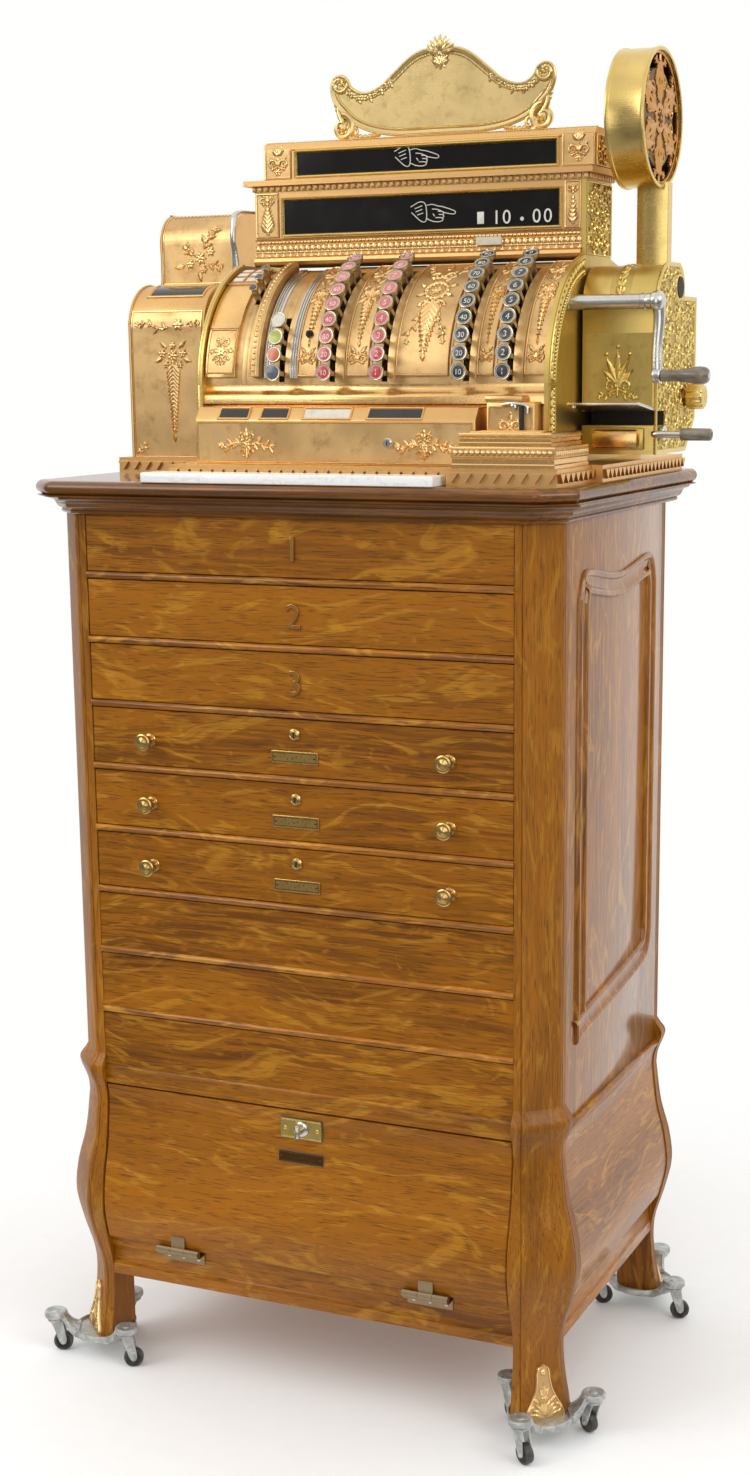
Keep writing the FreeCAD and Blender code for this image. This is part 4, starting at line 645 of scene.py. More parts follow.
def oak(name, grain, wood, pitch=None, first=0.0, tone=1.0, coat=0.18):
    """Varnished quarter-sawn oak: long pores along the grain, pale ray flakes across it as warped ribbons, and a
    different cut of the log for every board of a stack of a given pitch."""
    s = Shader(name)
    along, across, depth = {"x": (s.x, s.z, s.y), "y": (s.y, s.z, s.x), "z": (s.z, s.x, s.y)}[grain]
    if grain == "z":
        across = s.x + s.y * 0.83
        depth = s.y - s.x * 0.71
    shift = ((across - first * MILLIMETRE) / (pitch * MILLIMETRE)).floor() * 0.37 if pitch else 0.0
    run = along + shift
    sway = s.noise(s.vector(run * 3.1, across * 7.0 + shift, depth * 5.0), 1.0, 2.0)
    rays = s.noise(s.vector(run * 15.0 + sway * 4.2, across * 82.0 + sway * 15.0 + shift * 9.0, depth * 40.0), 1.0,
        2.5, 0.45, 0.9)
    second = s.noise(s.vector(run * 20.0 - across * 30.0, across * 58.0 + run * 11.0 + shift, depth * 34.0), 1.0, 2.0,
        0.5, 1.2)
    flake = rays.step(0.54, 0.67) * 0.62 + second.step(0.58, 0.70) * 0.40
    tide = s.noise(s.vector(run * 1.4, across * 11.0 + sway * 2.0 + shift * 3.0, depth * 6.0), 1.0, 3.0)
    streak = s.noise(s.vector(run * 7.0, across * 210.0 + sway * 6.0, depth * 150.0), 1.0, 3.0, 0.6)
    pores = s.noise(s.vector(run * 42.0, across * 780.0 + sway * 9.0, depth * 600.0), 1.0, 1.0)
    base = s.mix(tide.step(0.30, 0.70), tuple(wood.dark), tuple(wood.middle))
    base = s.mix(streak.step(0.36, 0.66) * 0.86 + 0.04, base, tuple(c * tone for c in wood.middle))
    base = s.mix(flake.math("MINIMUM", 1.0) * 0.80, base, tuple(c * tone for c in wood.light))
    base = s.mix(pores.step(0.56, 0.68) * 0.62, base, tuple(wood.pore))
    normal = s.bump(streak * 0.5 - pores.step(0.6, 0.75) * 0.5, 0.00025, 0.5)
    return s.finish(color=base, rough=0.42 + streak * 0.12, coat=coat, coat_rough=0.10, ior=1.32, normal=normal)


def chased(name, bright, deep, rough=0.24, satin=0.36):
    """Cast and chased metal: a satin, faintly pebbled ground, a dark line where the relief leaves it, partly tarnish
    and partly painted shade in the crevice, and bright backs of the relief."""
    s = Shader(name)
    height = s.attribute("relief")
    grain = s.noise(s.place, 1100.0, 2.0, 0.6)
    cloud = s.noise(s.place, 16.0, 3.0, 0.5, 0.4)
    tarnish = s.noise(s.place, 70.0, 4.0, 0.6)
    lit = height.step(0.16, 0.50)
    # Dark line at the foot of the relief: partly tarnish, partly painted shade in the crevice
    line = height.step(0.01, 0.06) * (1.0 - height.step(0.10, 0.30))
    dull = tuple(b * 0.56 + d * 0.22 for b, d in zip(bright, deep))
    ground = s.mix(cloud.step(0.32, 0.70), tuple(b * 0.82 for b in bright), dull)
    ground = s.mix(tarnish.step(0.48, 0.80) * 0.45, ground, deep)
    color = s.mix(line * 0.92, ground, deep)
    color = s.mix(lit, color, bright)
    normal = s.bump(grain * (1.0 - lit * 0.9), 0.00035, 0.6)
    return s.finish(color=color, rough=satin - lit * (satin - rough) + tarnish * 0.06, metal=1.0, normal=normal)


def polished(name, color, rough=0.2, brushed=0.0, axis="z", stain_share=0.22):
    """Plain metal with fine lay marks along one way, faint stains and a slightly uneven shine."""
    s = Shader(name)
    ways = {"x": (9.0, 700.0, 700.0), "y": (700.0, 9.0, 700.0), "z": (700.0, 700.0, 9.0)}[axis]
    lay = s.noise(s.vector(s.x * ways[0], s.y * ways[1], s.z * ways[2]), 1.0, 3.0, 0.6)
    stain = s.noise(s.place, 60.0, 4.0, 0.6, 0.4)
    fleck = s.noise(s.place, 420.0, 2.0)
    darker = tuple(c * 0.62 for c in color)
    shade = s.mix(stain.step(0.45, 0.80) * stain_share + fleck.step(0.6, 0.8) * 0.10, color, darker)
    normal = s.bump(lay * brushed + fleck * 0.25, 0.00035, 0.5)
    return s.finish(color=shade, rough=rough + stain.step(0.4, 0.9) * 0.10 + lay * 0.06, metal=1.0, normal=normal)


def gloss(name, color, worn, rough=0.22, coat=0.5):
    """Hard glossy cover with a little wear and yellowing."""
    s = Shader(name)
    wear = s.noise(s.place, 160.0, 4.0, 0.6)
    speck = s.noise(s.place, 960.0, 2.0)
    shade = s.mix(wear.step(0.38, 0.72) * 0.7, color, worn)
    normal = s.bump(wear * 0.6 + speck * 0.2, 0.0003, 0.4)
    return s.finish(color=shade, rough=rough + wear * 0.12, coat=coat, coat_rough=0.08, normal=normal)


def faded_keys(name, red, faded):
    """Red key faces, paler pink on the upper rows."""
    s = Shader(name)
    # The colour goes from red to a paler pink with height
    height = s.z.step(1.19, 1.31)
    wear = s.noise(s.place, 210.0, 4.0, 0.6)
    shade = s.mix(height, red, faded)
    shade = s.mix(wear.step(0.45, 0.75) * 0.45, shade, (0.62, 0.33, 0.25))
    return s.finish(color=shade, rough=0.28, coat=0.6, coat_rough=0.06, normal=s.bump(wear, 0.0002, 0.4))


def stone_finish():
    """Pale marble with faint grey veins."""
    s = Shader("pale_stone")
    bend = s.noise(s.place, 9.0, 4.0, 0.6, 0.8)
    vein = s.noise(s.vector(s.x * 14.0 + bend * 4.0, s.y * 50.0, s.z * 40.0), 1.0, 5.0, 0.6, 1.2)
    line = (vein - 0.5).math("ABSOLUTE").step(0.0, 0.05)
    shade = s.mix(line, (0.82, 0.81, 0.79), (0.94, 0.93, 0.91))
    return s.finish(color=shade, rough=0.22 + bend * 0.1, coat=0.4, coat_rough=0.1)


def casting_finish(name, color, pale):
    """Sand-cast metal under worn silver paint."""
    s = Shader(name)
    grit = s.noise(s.place, 800.0, 3.0, 0.6)
    patch = s.noise(s.place, 70.0, 4.0, 0.65, 0.5)
    shade = s.mix(patch.step(0.35, 0.7), color, pale)
    return s.finish(color=shade, rough=0.34 + patch * 0.25, metal=0.75, normal=s.bump(grit + patch * 0.6, 0.0009, 0.7))


def dark_glass():
    """Polished pane over a black ground, with a faint film of dust."""
    s = Shader("dark_glass")
    film = s.noise(s.place, 35.0, 4.0, 0.6)
    return s.finish(color=s.mix(film.step(0.4, 0.9) * 0.5, (0.010, 0.009, 0.008), (0.030, 0.026, 0.022)), rough=0.05
        + film * 0.06, coat=0.3, coat_rough=0.03)


def horn():
    """Grey-brown composition grip, streaked along its length."""
    s = Shader("grey_horn")
    swirl = s.noise(s.vector(s.x * 40.0, s.y * 190.0, s.z * 190.0), 1.0, 4.0, 0.6, 0.7)
    shade = s.mix(swirl.step(0.3, 0.75), (0.11, 0.082, 0.055), (0.30, 0.25, 0.19))
    return s.finish(color=shade, rough=0.34 + swirl * 0.1, coat=0.35, normal=s.bump(swirl, 0.0003, 0.4))


def paper():
    """Paper in tight layers, darkened from cream to brown as painted shade inside the reel housing."""
    s = Shader("paper_painted_shade")
    dx, dz = s.y - 0.035, s.z - 1.452
    away = (dx * dx + dz * dz).math("SQRT")
    layer = s.noise(s.vector(away * 2600.0, s.x * 8.0, 0.0), 1.0, 1.0)
    # Brown instead of cream: painted shade of the paper deep in the reel housing
    shade = s.mix(layer.step(0.3, 0.7), (0.17, 0.115, 0.060), (0.27, 0.20, 0.12))
    return s.finish(color=shade, rough=0.75, normal=s.bump(layer, 0.0003, 0.5))


def make_materials(settings):
    """Every finish of the register, by its short name."""
    cells = {"pitch": CELL, "first": FIRST_BOARD}
    wood, keys = settings.oak, settings.keys
    copper, copper_dark = tuple(settings.brass.copper), tuple(settings.brass.copper_dark)
    yellow, yellow_dark = tuple(settings.brass.yellow), tuple(settings.brass.yellow_dark)
    steel = (0.66, 0.63, 0.57)
    return {
        "oak_fronts": oak("oak_fronts", "x", wood, tone=0.90, coat=0.10, **cells),
        "oak_rails": oak("oak_rails", "x", wood, tone=0.78),
        # Beads: oak lightened as a painted highlight where they catch the light, and glossier
        "oak_beads": oak("oak_beads", "x", wood, tone=1.15, coat=0.6),
        "oak_door": oak("oak_door", "x", wood, tone=0.84, coat=0.10),
        "oak_posts": oak("oak_posts", "z", wood, tone=0.70, coat=0.14),
        "oak_sides": oak("oak_sides", "z", wood, tone=0.90, coat=0.85),
        "oak_ends": oak("oak_ends", "y", wood, tone=0.85, coat=0.5),
        "oak_counter": oak("oak_counter", "x", wood, tone=0.26, coat=0.7),
        "copper": chased("chased_copper", copper, copper_dark),
        "copper_plain": polished("copper_plain", (0.86, 0.53, 0.21), 0.22, 0.6, "x"),
        "copper_satin": polished("copper_satin", (0.76, 0.46, 0.18), 0.34, 0.4, "x"),
        "copper_brown": chased("copper_brown", (0.60, 0.30, 0.085), (0.12, 0.045, 0.010), 0.26),
        "name_brown": chased("name_brown", (0.13, 0.062, 0.022), (0.022, 0.010, 0.005), 0.40, 0.50),
        "knob_brass": polished("knob_brass", (0.62, 0.40, 0.13), 0.22, 0.3, "y", 0.5),
        "gold": chased("chased_gold", yellow, yellow_dark),
        "gold_plain": polished("gold_plain", (0.76, 0.55, 0.19), 0.22, 0.6, "x"),
        # Dark brown metal for the inner wall of the reel housing: painted shade
        "inside": polished("painted_shade_inside", (0.16, 0.085, 0.030), 0.55, 0.2),
        "gold_satin": polished("gold_satin", (0.66, 0.475, 0.145), 0.36, 0.4, "x"),
        "sign_gold": chased("sign_gold", (0.78, 0.58, 0.26), (0.24, 0.15, 0.045), 0.26, 0.40),
        "old_steel": polished("old_steel", (0.34, 0.25, 0.145), 0.38, 0.8, "x"),
        "steel": polished("plated_steel", steel, 0.2, 0.8, "x"),
        "nickel": polished("nickel_rim", (0.60, 0.54, 0.42), 0.22, 0.3),
        "red": faded_keys("red_faces", tuple(keys.red), tuple(keys.faded)),
        "black": gloss("black_faces", tuple(keys.black), (0.075, 0.080, 0.070)),
        "white": gloss("white_faces", (0.74, 0.70, 0.58), (0.58, 0.50, 0.36)),
        "green": gloss("green_faces", (0.42, 0.47, 0.045), (0.30, 0.33, 0.05)),
        "orange": gloss("orange_faces", (0.62, 0.13, 0.028), (0.45, 0.12, 0.05)),
        "blue": gloss("blue_faces", (0.085, 0.105, 0.130), (0.16, 0.18, 0.19)),
        "figure": gloss("white_figures", (0.80, 0.78, 0.72), (0.62, 0.58, 0.50), 0.5, 0.0),
        "stone": stone_finish(),
        "glass": dark_glass(),
        "casting": casting_finish("silver_casting", (0.36, 0.37, 0.35), (0.62, 0.63, 0.61)),
        "wheel": gloss("dark_wheel", (0.030, 0.024, 0.020), (0.095, 0.085, 0.075), 0.4, 0.2),
        "horn": horn(),
        "paper": paper(),
        "shadow": gloss("dark_opening", (0.012, 0.008, 0.005), (0.030, 0.020, 0.012), 0.6, 0.0),
    }


def make_stage(settings):
    """Camera of the photo, white surroundings, lamps and a pale floor that keeps the contact shadows."""
    scene = bpy.context.scene
    camera = bpy.data.objects.new("photo_camera", bpy.data.cameras.new("photo_camera"))
    camera.matrix_world = Matrix(((0.91551687, -0.07442397, 0.39533521, 1.044),
        (0.40219367, 0.18964757, -0.89569752, -2.2688), (-0.00831299, 0.97902751, 0.2035584, 1.194),
        (0.0, 0.0, 0.0, 1.0)))
    camera.data.sensor_width = 36.0
    camera.data.lens = settings.focal_length
    camera.data.shift_x = -0.02157
    camera.data.shift_y = 0.04413
    scene.collection.objects.link(camera)
    scene.camera = camera
    scene.view_settings.view_transform = "Standard"

    s = Shader("white_room", bpy.data.worlds, "Generated")
    behind = s.y.step(-0.12, 0.16)
    above = s.z.step(0.05, 0.55)
    room = s.noise(s.place, 1.7, 1.0)
    seen = Value(s, s.node("ShaderNodeLightPath").outputs["Is Camera Ray"])
    level = behind.math("MAXIMUM", above * 0.75 + room.step(0.35, 0.60) * 0.34 + 0.10).math("MAXIMUM", seen)
    lit = s.node("ShaderNodeBackground", None, {"Color": s.vector(level, level, level * 0.985)})
    s.node("ShaderNodeOutputWorld", None, {"Surface": lit.outputs[0]})
    scene.world = s.owner

    lamps = [("left_softbox", (-1.9, -2.1, 2.3), 1.5, 1.0), ("right_softbox", (2.3, -0.9, 2.2), 1.1, 0.54),
        ("front_fill", (0.6, -3.0, 1.2), 1.6, 0.46)]
    for name, place_m, size, share in lamps:
        lamp = bpy.data.lights.new(name, "AREA")
        lamp.energy = settings.lamp_power * share
        lamp.size = size
        holder = bpy.data.objects.new(name, lamp)
        back, right, top = basis(np.array(place_m) - LAMP_AIM)
        holder.matrix_world = Matrix([(*row, value) for row, value in zip(np.stack([right, top, back], 1), place_m)]
            + [(0.0, 0.0, 0.0, 1.0)])
        scene.collection.objects.link(holder)

    mesh = bpy.data.meshes.new("pale_floor")
    reach = settings.floor_reach
    mesh.from_pydata([(-reach, -reach, 0), (reach, -reach, 0), (reach, reach, 0), (-reach, reach, 0)], [],
        [(0, 1, 2, 3)])
    floor = bpy.data.objects.new("pale_floor", mesh)
    s = Shader("pale_floor")
    grain = s.noise(s.place, 40.0, 3.0)
    away = (s.x * s.x + s.y * s.y).math("SQRT")
    mesh.materials.append(s.finish(color=s.mix(grain, (0.93, 0.93, 0.93), (0.97, 0.97, 0.97)), rough=0.9, alpha=1.0
        - away.step(0.40, 1.20)))
    scene.collection.objects.link(floor)


def reach_table():
    """Heights of a post and how far its faces stand out of the case's planes there: two smooth curves, one through
    the foot and the swelled lower case and one through the waist."""
    rise = NECK_Z - FOOT_Z
    low = [(FOOT_Z + height * rise, FLARE * (1 + share)) for height, share in LEG]
    low += [(FOOT_Z + height * rise, SWELL * share) for height, share in BELLY[1:]]
    waist = [(NECK_Z + height * (WAIST_TOP - NECK_Z), WAIST_SWELL * share) for height, share in WAIST]
    return np.vstack([smooth(low, 110), smooth(waist, 40)[1:]])


REACH = reach_table()


def stands_out(z):
    """How far the lower case stands out at a height."""
    return np.interp(z, REACH[:, 0], REACH[:, 1])


def post_ring(z):
    """Section of the front right post: a canted corner between two quirked beads."""
    out = float(stands_out(z))
    front, side, back = -HALF_DEPTH - out, HALF_WIDTH + out, -HALF_DEPTH + POST_DEPTH
    bx, cy = HALF_OPENING + STILE + out * CANT, -HALF_DEPTH + CORNER_CUT - out * CANT
    run = hypot(side - bx, cy - front)
    ux, uy = (side - bx) / run, (cy - front) / run
    points = [(HALF_OPENING, front), (bx - 5.2, front), (bx - 4.4, front + 1.1), (bx - 3.4, front + 0.2),
        (bx - 1.4, front), (bx, front + 0.6)]
    points += [(bx + ux * run * t + uy * bulge, front + uy * run * t - ux * bulge)
        for t, bulge in ((0.12, 0.0), (0.3, 0.25), (0.5, 0.35), (0.7, 0.25), (0.88, 0.0))]
    points += [(side - 0.6, cy), (side, cy + 1.4), (side - 0.2, cy + 3.4), (side - 1.1, cy + 4.4), (side, cy + 5.2),
        (side, back), (HALF_OPENING, back)]
    return [(x, y, z) for x, y in points]


def corner_posts(m):
    """Four posts with cabriole feet, bellied shoulders and straight stiles."""
    form = Form()
    form.skin([post_ring(z) for z in np.append(REACH[:, 0], CASE_TOP)])
    return build("corner_posts_oak", form.mirrored(QUARTERS), m["oak_posts"], "case", ["corner_posts"])


def sabots(m):
    """Cast shields on the outer corners of the feet: bell-shaped, rimmed, with a shell, scrolls and a screw. Each
    row of points follows the section of the post at its height, seen along the diagonal of the corner."""
    form = Form()
    middle = np.array([HALF_WIDTH - CORNER_CUT / 2, -HALF_DEPTH + CORNER_CUT / 2])
    out_way, across = np.array([1.0, -1.0]) / 2**0.5, np.array([1.0, 1.0]) / 2**0.5
    bell = [(0.0, 23.0), (0.10, 24.6), (0.20, 22.6), (0.34, 17.4), (0.50, 12.4), (0.68, 9.4), (0.84, 8.6),
        (0.94, 6.8), (1.0, 1.0)]
    share, span = np.meshgrid(np.linspace(0, 1, 84), np.linspace(-1, 1, 76), indexing="ij")
    half = np.interp(share, *smooth(bell, 60).T)
    x = half * span
    z = FOOT_Z - 1.0 + share * 64.0 - 2.5 * (1 - share) ** 6 * np.abs(span) ** 2
    lift = np.empty_like(x)
    fine = np.arange(-30.0, 30.01, 0.5)
    for row, level in enumerate(z[:, 0]):
        ring = np.array(post_ring(level))[:-1, :2] - middle
        out = np.interp(fine, ring @ across, ring @ out_way)
        lift[row] = np.interp(x[row], fine, np.convolve(np.pad(out, 4, mode="edge"), np.full(9, 1 / 9), "valid"))
    y = z - FOOT_Z
    motif = highest(fan(x, y, (0.0, 4.0), 90, 150, 9, 21.0, 7.0, 1.7),
        fan(x, y, (0.0, 27.0), 90, 70, 3, 15.0, 6.0, 1.4), rosette(x, y, (0.0, 25.0), 4.6, 6, 1.8),
        ridge(np.hypot(x, y - 54.0), 3.4, 2.1),
        *[stroke(x, y, curl((hand * 14.5, 11.0), 5.0, 1.1, 90, -hand), 1.5, 0.8, 1.6) for hand in HANDS],
        *[leaf(x, y, (hand * 7.0, 20.0), 90 - hand * 50, 11.0, 5.0, 1.3) for hand in HANDS])
    near = (1 - np.abs(span)) * half
    motif = np.maximum(motif * (near > 1.8), ridge(near - 1.2, 1.2, 1.4))
    edge = np.minimum(1, near / 0.9) * np.minimum(1, (1 - share) * 30)
    height = 1.5 + 1.3 * edge**0.5 + motif * (edge > 0.3)
    reach = lift + height
    points = np.stack([middle[0] + across[0] * x + out_way[0] * reach, middle[1] + across[1] * x + out_way[1] * reach,
        z], -1)
    behind = points.copy()
    behind[..., :2] -= out_way * (height[..., None] + 1.6)
    front, ids = grid_faces(*x.shape), rim_of(*x.shape)
    side = np.stack([ids, ids + x.size, np.roll(ids, -1) + x.size, np.roll(ids, -1)], 1)
    tint = np.concatenate([np.clip(motif / 1.2, 0, 1), np.zeros_like(motif)])
    form.add(np.concatenate([points, behind]), [front, front[:, ::-1] + x.size, side], relief=tint)
    return build("sabots_brass", form.mirrored(QUARTERS), m["copper"], "case", ["sabots"])


def case_panels(m):
    """Side boards, swelled lower sides, back board, floor board and the slips beside it."""
    form = Form()
    block(form, (HALF_WIDTH - PANEL, -SIDE_RUN, 366.0), (HALF_WIDTH, SIDE_RUN, CASE_TOP), 0.4)
    build("side_boards_oak", form.mirrored(SIDES), m["oak_sides"], "case", ["case_panels"])
    rear = Form()
    edges = np.linspace(-HALF_OPENING, HALF_OPENING, 7)
    for a, b in zip(edges, edges[1:]):
        block(rear, (a + 0.15, SIDE_RUN + 10.0, APRON_Z), (b - 0.15, SIDE_RUN + 20.0, CASE_TOP), 0.9)
    block(rear, (-HALF_OPENING, -HALF_DEPTH + 40.0, APRON_Z), (HALF_OPENING, SIDE_RUN + 10.0, APRON_Z + 12.0), 0.5)
    for hand in HANDS:
        a, b = sorted((hand * HALF_OPENING, hand * (HALF_WIDTH - PANEL)))
        block(rear, (a, -SIDE_RUN, APRON_Z), (b, SIDE_RUN, APRON_Z + 12.0), 0.3)
    build("back_and_floor_oak", rear, m["oak_sides"], "case")
    lower = Form()
    rings = []
    for z in np.linspace(DOOR_LOW, 356.0, 70):
        outer = HALF_WIDTH + float(stands_out(z)) - 1.5
        inner = outer - PANEL
        rings.append([(inner, -SIDE_RUN, z), (outer, -SIDE_RUN, z), (outer, SIDE_RUN, z), (inner, SIDE_RUN, z)])
    lower.skin(rings)
    return build("swelled_sides_oak", lower.mirrored(SIDES), m["oak_ends"], "case")


def side_frame_path():
    """Closed serpentine outline of the raised frame on the side board, as points of depth and height."""
    front, rear, low, high, turn = -137.0, 134.0, 450.0, 978.0, 17.0
    mid = (front + rear) / 2
    top = [(front, high - turn * 2), (front + turn * 0.7, high - turn * 0.5), (front + turn * 2, high - turn * 0.1),
        (mid, high - turn * 0.8), (rear - turn * 2, high - turn * 0.1), (rear - turn * 0.7, high - turn * 0.5),
        (rear, high - turn * 2)]
    under = [(rear, low + turn * 4), (rear - turn * 0.7, low + turn * 2.4), (rear - turn * 2.5, low + turn * 1.7),
        (mid, low + turn), (front + turn * 1.5, low + turn * 0.3), (front, low)]
    return np.vstack([smooth(top, 46), smooth(under, 46)])


def case_mouldings(m):
    """Serpentine frames of the sides, each two rolls with a hollow between them, and the cornice of fillet, ogee
    and bead under the counter, mitred round the canted corners."""
    roll = [(0, -1), (0, 1.6), (0.8, 3.4), (2.4, 4.7), (4.2, 4.9), (6.0, 4.2), (7.4, 2.7), (8.6, 1.3), (11, 0.7)]
    section = roll + [(28 - out, rise) for out, rise in roll[::-1]]
    flat = side_frame_path()
    frames = Form()
    sweep(frames, section, np.insert(flat, 0, HALF_WIDTH, 1), RIGHTWARD, closed=True)
    build("side_frames_oak", frames.mirrored(SIDES), m["oak_sides"], "case", ["case_mouldings"])

    cornice = Form()
    profile = [(-0.5, 1030.0), (3.2, 1030.2), (4.6, 1031.6), (4.9, 1033.2), (4.0, 1034.6), (5.6, 1035.4),
        (7.6, 1036.4), (9.4, 1038.2), (10.6, 1040.6), (11.6, 1043.0), (13.4, 1044.8), (16.4, 1045.6), (18.6, 1046.6),
        (19.8, 1048.2), (19.9, 1050.0), (-0.5, 1050.0)]
    x, y, cut = HALF_WIDTH, HALF_DEPTH, CORNER_CUT
    corners = [(-x, y), (-x, -y + cut), (-x + cut, -y), (x - cut, -y), (x, -y + cut), (x, y)]
    sweep(cornice, profile, [(a, b, 0.0) for a, b in corners], UPWARD)
    return build("cornice_oak", cornice, m["oak_counter"], "case")


def board_z(index):
    """Height of the middle of a dust board."""
    return FIRST_BOARD + index * CELL


def drawer_middle(number):
    """Height of the middle of a drawer front; the drawers count from the top."""
    return (board_z(CELLS - number) + board_z(CELLS - number + 1)) / 2


def dust_boards(m):
    """Boards between the drawers with a half-round bead on their front edges, and the drawer guides."""
    form = Form()
    front, behind, inner = -HALF_DEPTH, -SIDE_RUN, HALF_WIDTH - PANEL
    for index in range(1, CELLS + 1):
        low, high = board_z(index) - BOARD / 2, board_z(index) + BOARD / 2
        nose = front - BEAD_PROUD
        edge = [(nose + 4 * (1 - cos(t)), low + 4 - 4 * sin(t)) for t in np.linspace(pi / 2, -pi / 2, 11)]
        if index == CELLS:
            edge = [(front, low), (front, high)]
        # Finish 1, on the bead, is oak lightened as a painted highlight
        plate(form, [(behind, low), *edge, (behind, high)], -HALF_OPENING, HALF_OPENING, 0, 0.1, 1)
        block(form, (-inner, behind, low), (inner, SIDE_RUN, high), 0.3)
        if 3 <= index < CELLS:
            for hand in HANDS:
                a, b = sorted((hand * (HALF_OPENING - 5.7), hand * HALF_OPENING))
                block(form, (a, behind, high - 0.3), (b, SIDE_RUN - 18.0, high + 9.0), 0.4)
    return build("dust_boards_oak", form, [m["oak_rails"], m["oak_beads"]], "case", ["dust_boards"])


def case_rails(m):
    """Rails over and under the drop door and along the sides."""
    form = Form()
    top = board_z(0) + BOARD / 2
    y0, y1 = -HALF_DEPTH - BEAD_PROUD, -HALF_DEPTH + 40.0
    section = [(-HALF_DEPTH + 1.0, 356.0), (y0 + 0.8, 356.6), (y0, 359.0), (y0 + 0.5, 361.4), (y0 + 1.9, 362.4),
        (y0 + 2.1, 364.0), (y0 + 1.6, 370.0), (y0 + 0.6, 374.4), (y0 + 1.2, 377.2), (-HALF_DEPTH, top), (y1, top),
        (y1, 356.0)]
    plate(form, section, -HALF_OPENING, HALF_OPENING, 0, 0.1)
    block(form, (-HALF_OPENING, y1, top - BOARD), (HALF_OPENING, SIDE_RUN, top), 0.3)
    low, high, front = APRON_Z, 161.5, -HALF_DEPTH
    field = [(front, high), (front, high - 13), (front + 1.2, high - 13.8), (front + 3.4, high - 14.6),
        (front + 4.8, high - 16.6), (front + 5, high - 18), (front + 5, low + 17), (front + 3.6, low + 15.0),
        (front + 1.0, low + 13.6), (front, low + 13.0), (front, low), (front + 40, low), (front + 40, high)]
    plate(form, field, -HALF_OPENING, HALF_OPENING, 0, 0.1)
    build("front_rails_oak", form, m["oak_rails"], "case", ["case_rails"])
    ends = Form()
    inner, outer = HALF_WIDTH - PANEL, HALF_WIDTH
    arc = [(outer + 1.0 + 5 * cos(t), 361.0 + 5 * sin(t)) for t in np.linspace(-pi / 2, pi / 2, 13)]
    plate(ends, [(inner, 356.0), *arc, (inner, 366.0)], -SIDE_RUN, SIDE_RUN, 1, 0.1)
    field = [(inner, low), (outer, low), (outer, low + 11), (outer - 0.4, low + 12.6), (outer - 2.2, low + 14),
        (outer - 2.5, low + 16), (outer - 2.5, 147.0), (outer - 1.9, 149.0), (outer - 0.3, 150.4), (outer, 152.0),
        (outer, DOOR_LOW), (inner, DOOR_LOW)]
    plate(ends, field, -SIDE_RUN, SIDE_RUN, 1, 0.1)
    return build("side_rails_oak", ends.mirrored(SIDES), m["oak_ends"], "case")


def counter_top(m):
    """Oak counter: a rounded nose over a small ogee, run round the canted front corners."""
    form = Form()
    z0, z1 = CASE_TOP, COUNTER_Z
    nose = [(-4.0, z0), (-1.6, z0 + 0.2), (-1.2, z0 + 1.6)]
    nose += [(-8.5 + 8.5 * sin(t), z0 + 10.0 - 8.0 * cos(t)) for t in np.linspace(0.35, pi - 0.3, 15)]
    nose += [(-9.0, z1 - 0.1), (-16.0, z1)]
    rings = []
    for out, z in nose:
        x, y, cut = HALF_WIDTH + OVERHANG + out, HALF_DEPTH + OVERHANG + out, CORNER_CUT + (OVERHANG + out) * 0.2
        rear = HALF_DEPTH + REAR_OVERHANG
        flat = soften([(-x, -y + cut), (-x + cut, -y), (x - cut, -y), (x, -y + cut)], 6.0, 4)
        rings.append([(x, rear, z), (-x, rear, z), *((a, b, z) for a, b in flat)])
    form.skin(rings)
    return build("counter_oak", form, m["oak_counter"], "case", ["counter_top"])


def door_face(z):
    """Distance of the drop door's face in front of the case plane at a height."""
    return stands_out(z) - 1.5


def drop_door(m):
    """Swelled front of the lower case: a curved board with softened edges."""
    form = Form()
    x = HALF_OPENING - 1.5
    rings = []
    for z in np.linspace(DOOR_LOW, DOOR_HIGH, 80):
        edge = max(0.0, 1.4 - min(z - DOOR_LOW, DOOR_HIGH - z))
        y = -HALF_DEPTH - float(door_face(z)) + edge
        back = y + 16.0 - edge
        rings.append([(-x + 1.2, y, z), (-x, y + 1.2, z), (-x, back, z), (x, back, z), (x, y + 1.2, z),
            (x - 1.2, y, z)])
    form.skin(rings)
    return build("drop_door_oak", form, m["oak_door"], "drop_door", ["drop_door"])


def name_mark(x, y):
    """Face of a small name plate, 56 wide and 12 high: a rim, two leaf branches from the middle and two pins."""
    return highest(border(x, y, (1.2, 1.2), (54.8, 10.8), 0.7, 0.7),
        branch(x, y, (27.0, 6.0), (45.0, 6.0), 1.6, 4.2, 0.7, 3),
        branch(x, y, (29.0, 6.0), (11.0, 6.0), 1.6, 4.2, 0.7, 3),
        *[ridge(np.hypot(x - pin, y - 6.0), 1.5, 1.0) for pin in (3.4, 52.6)])


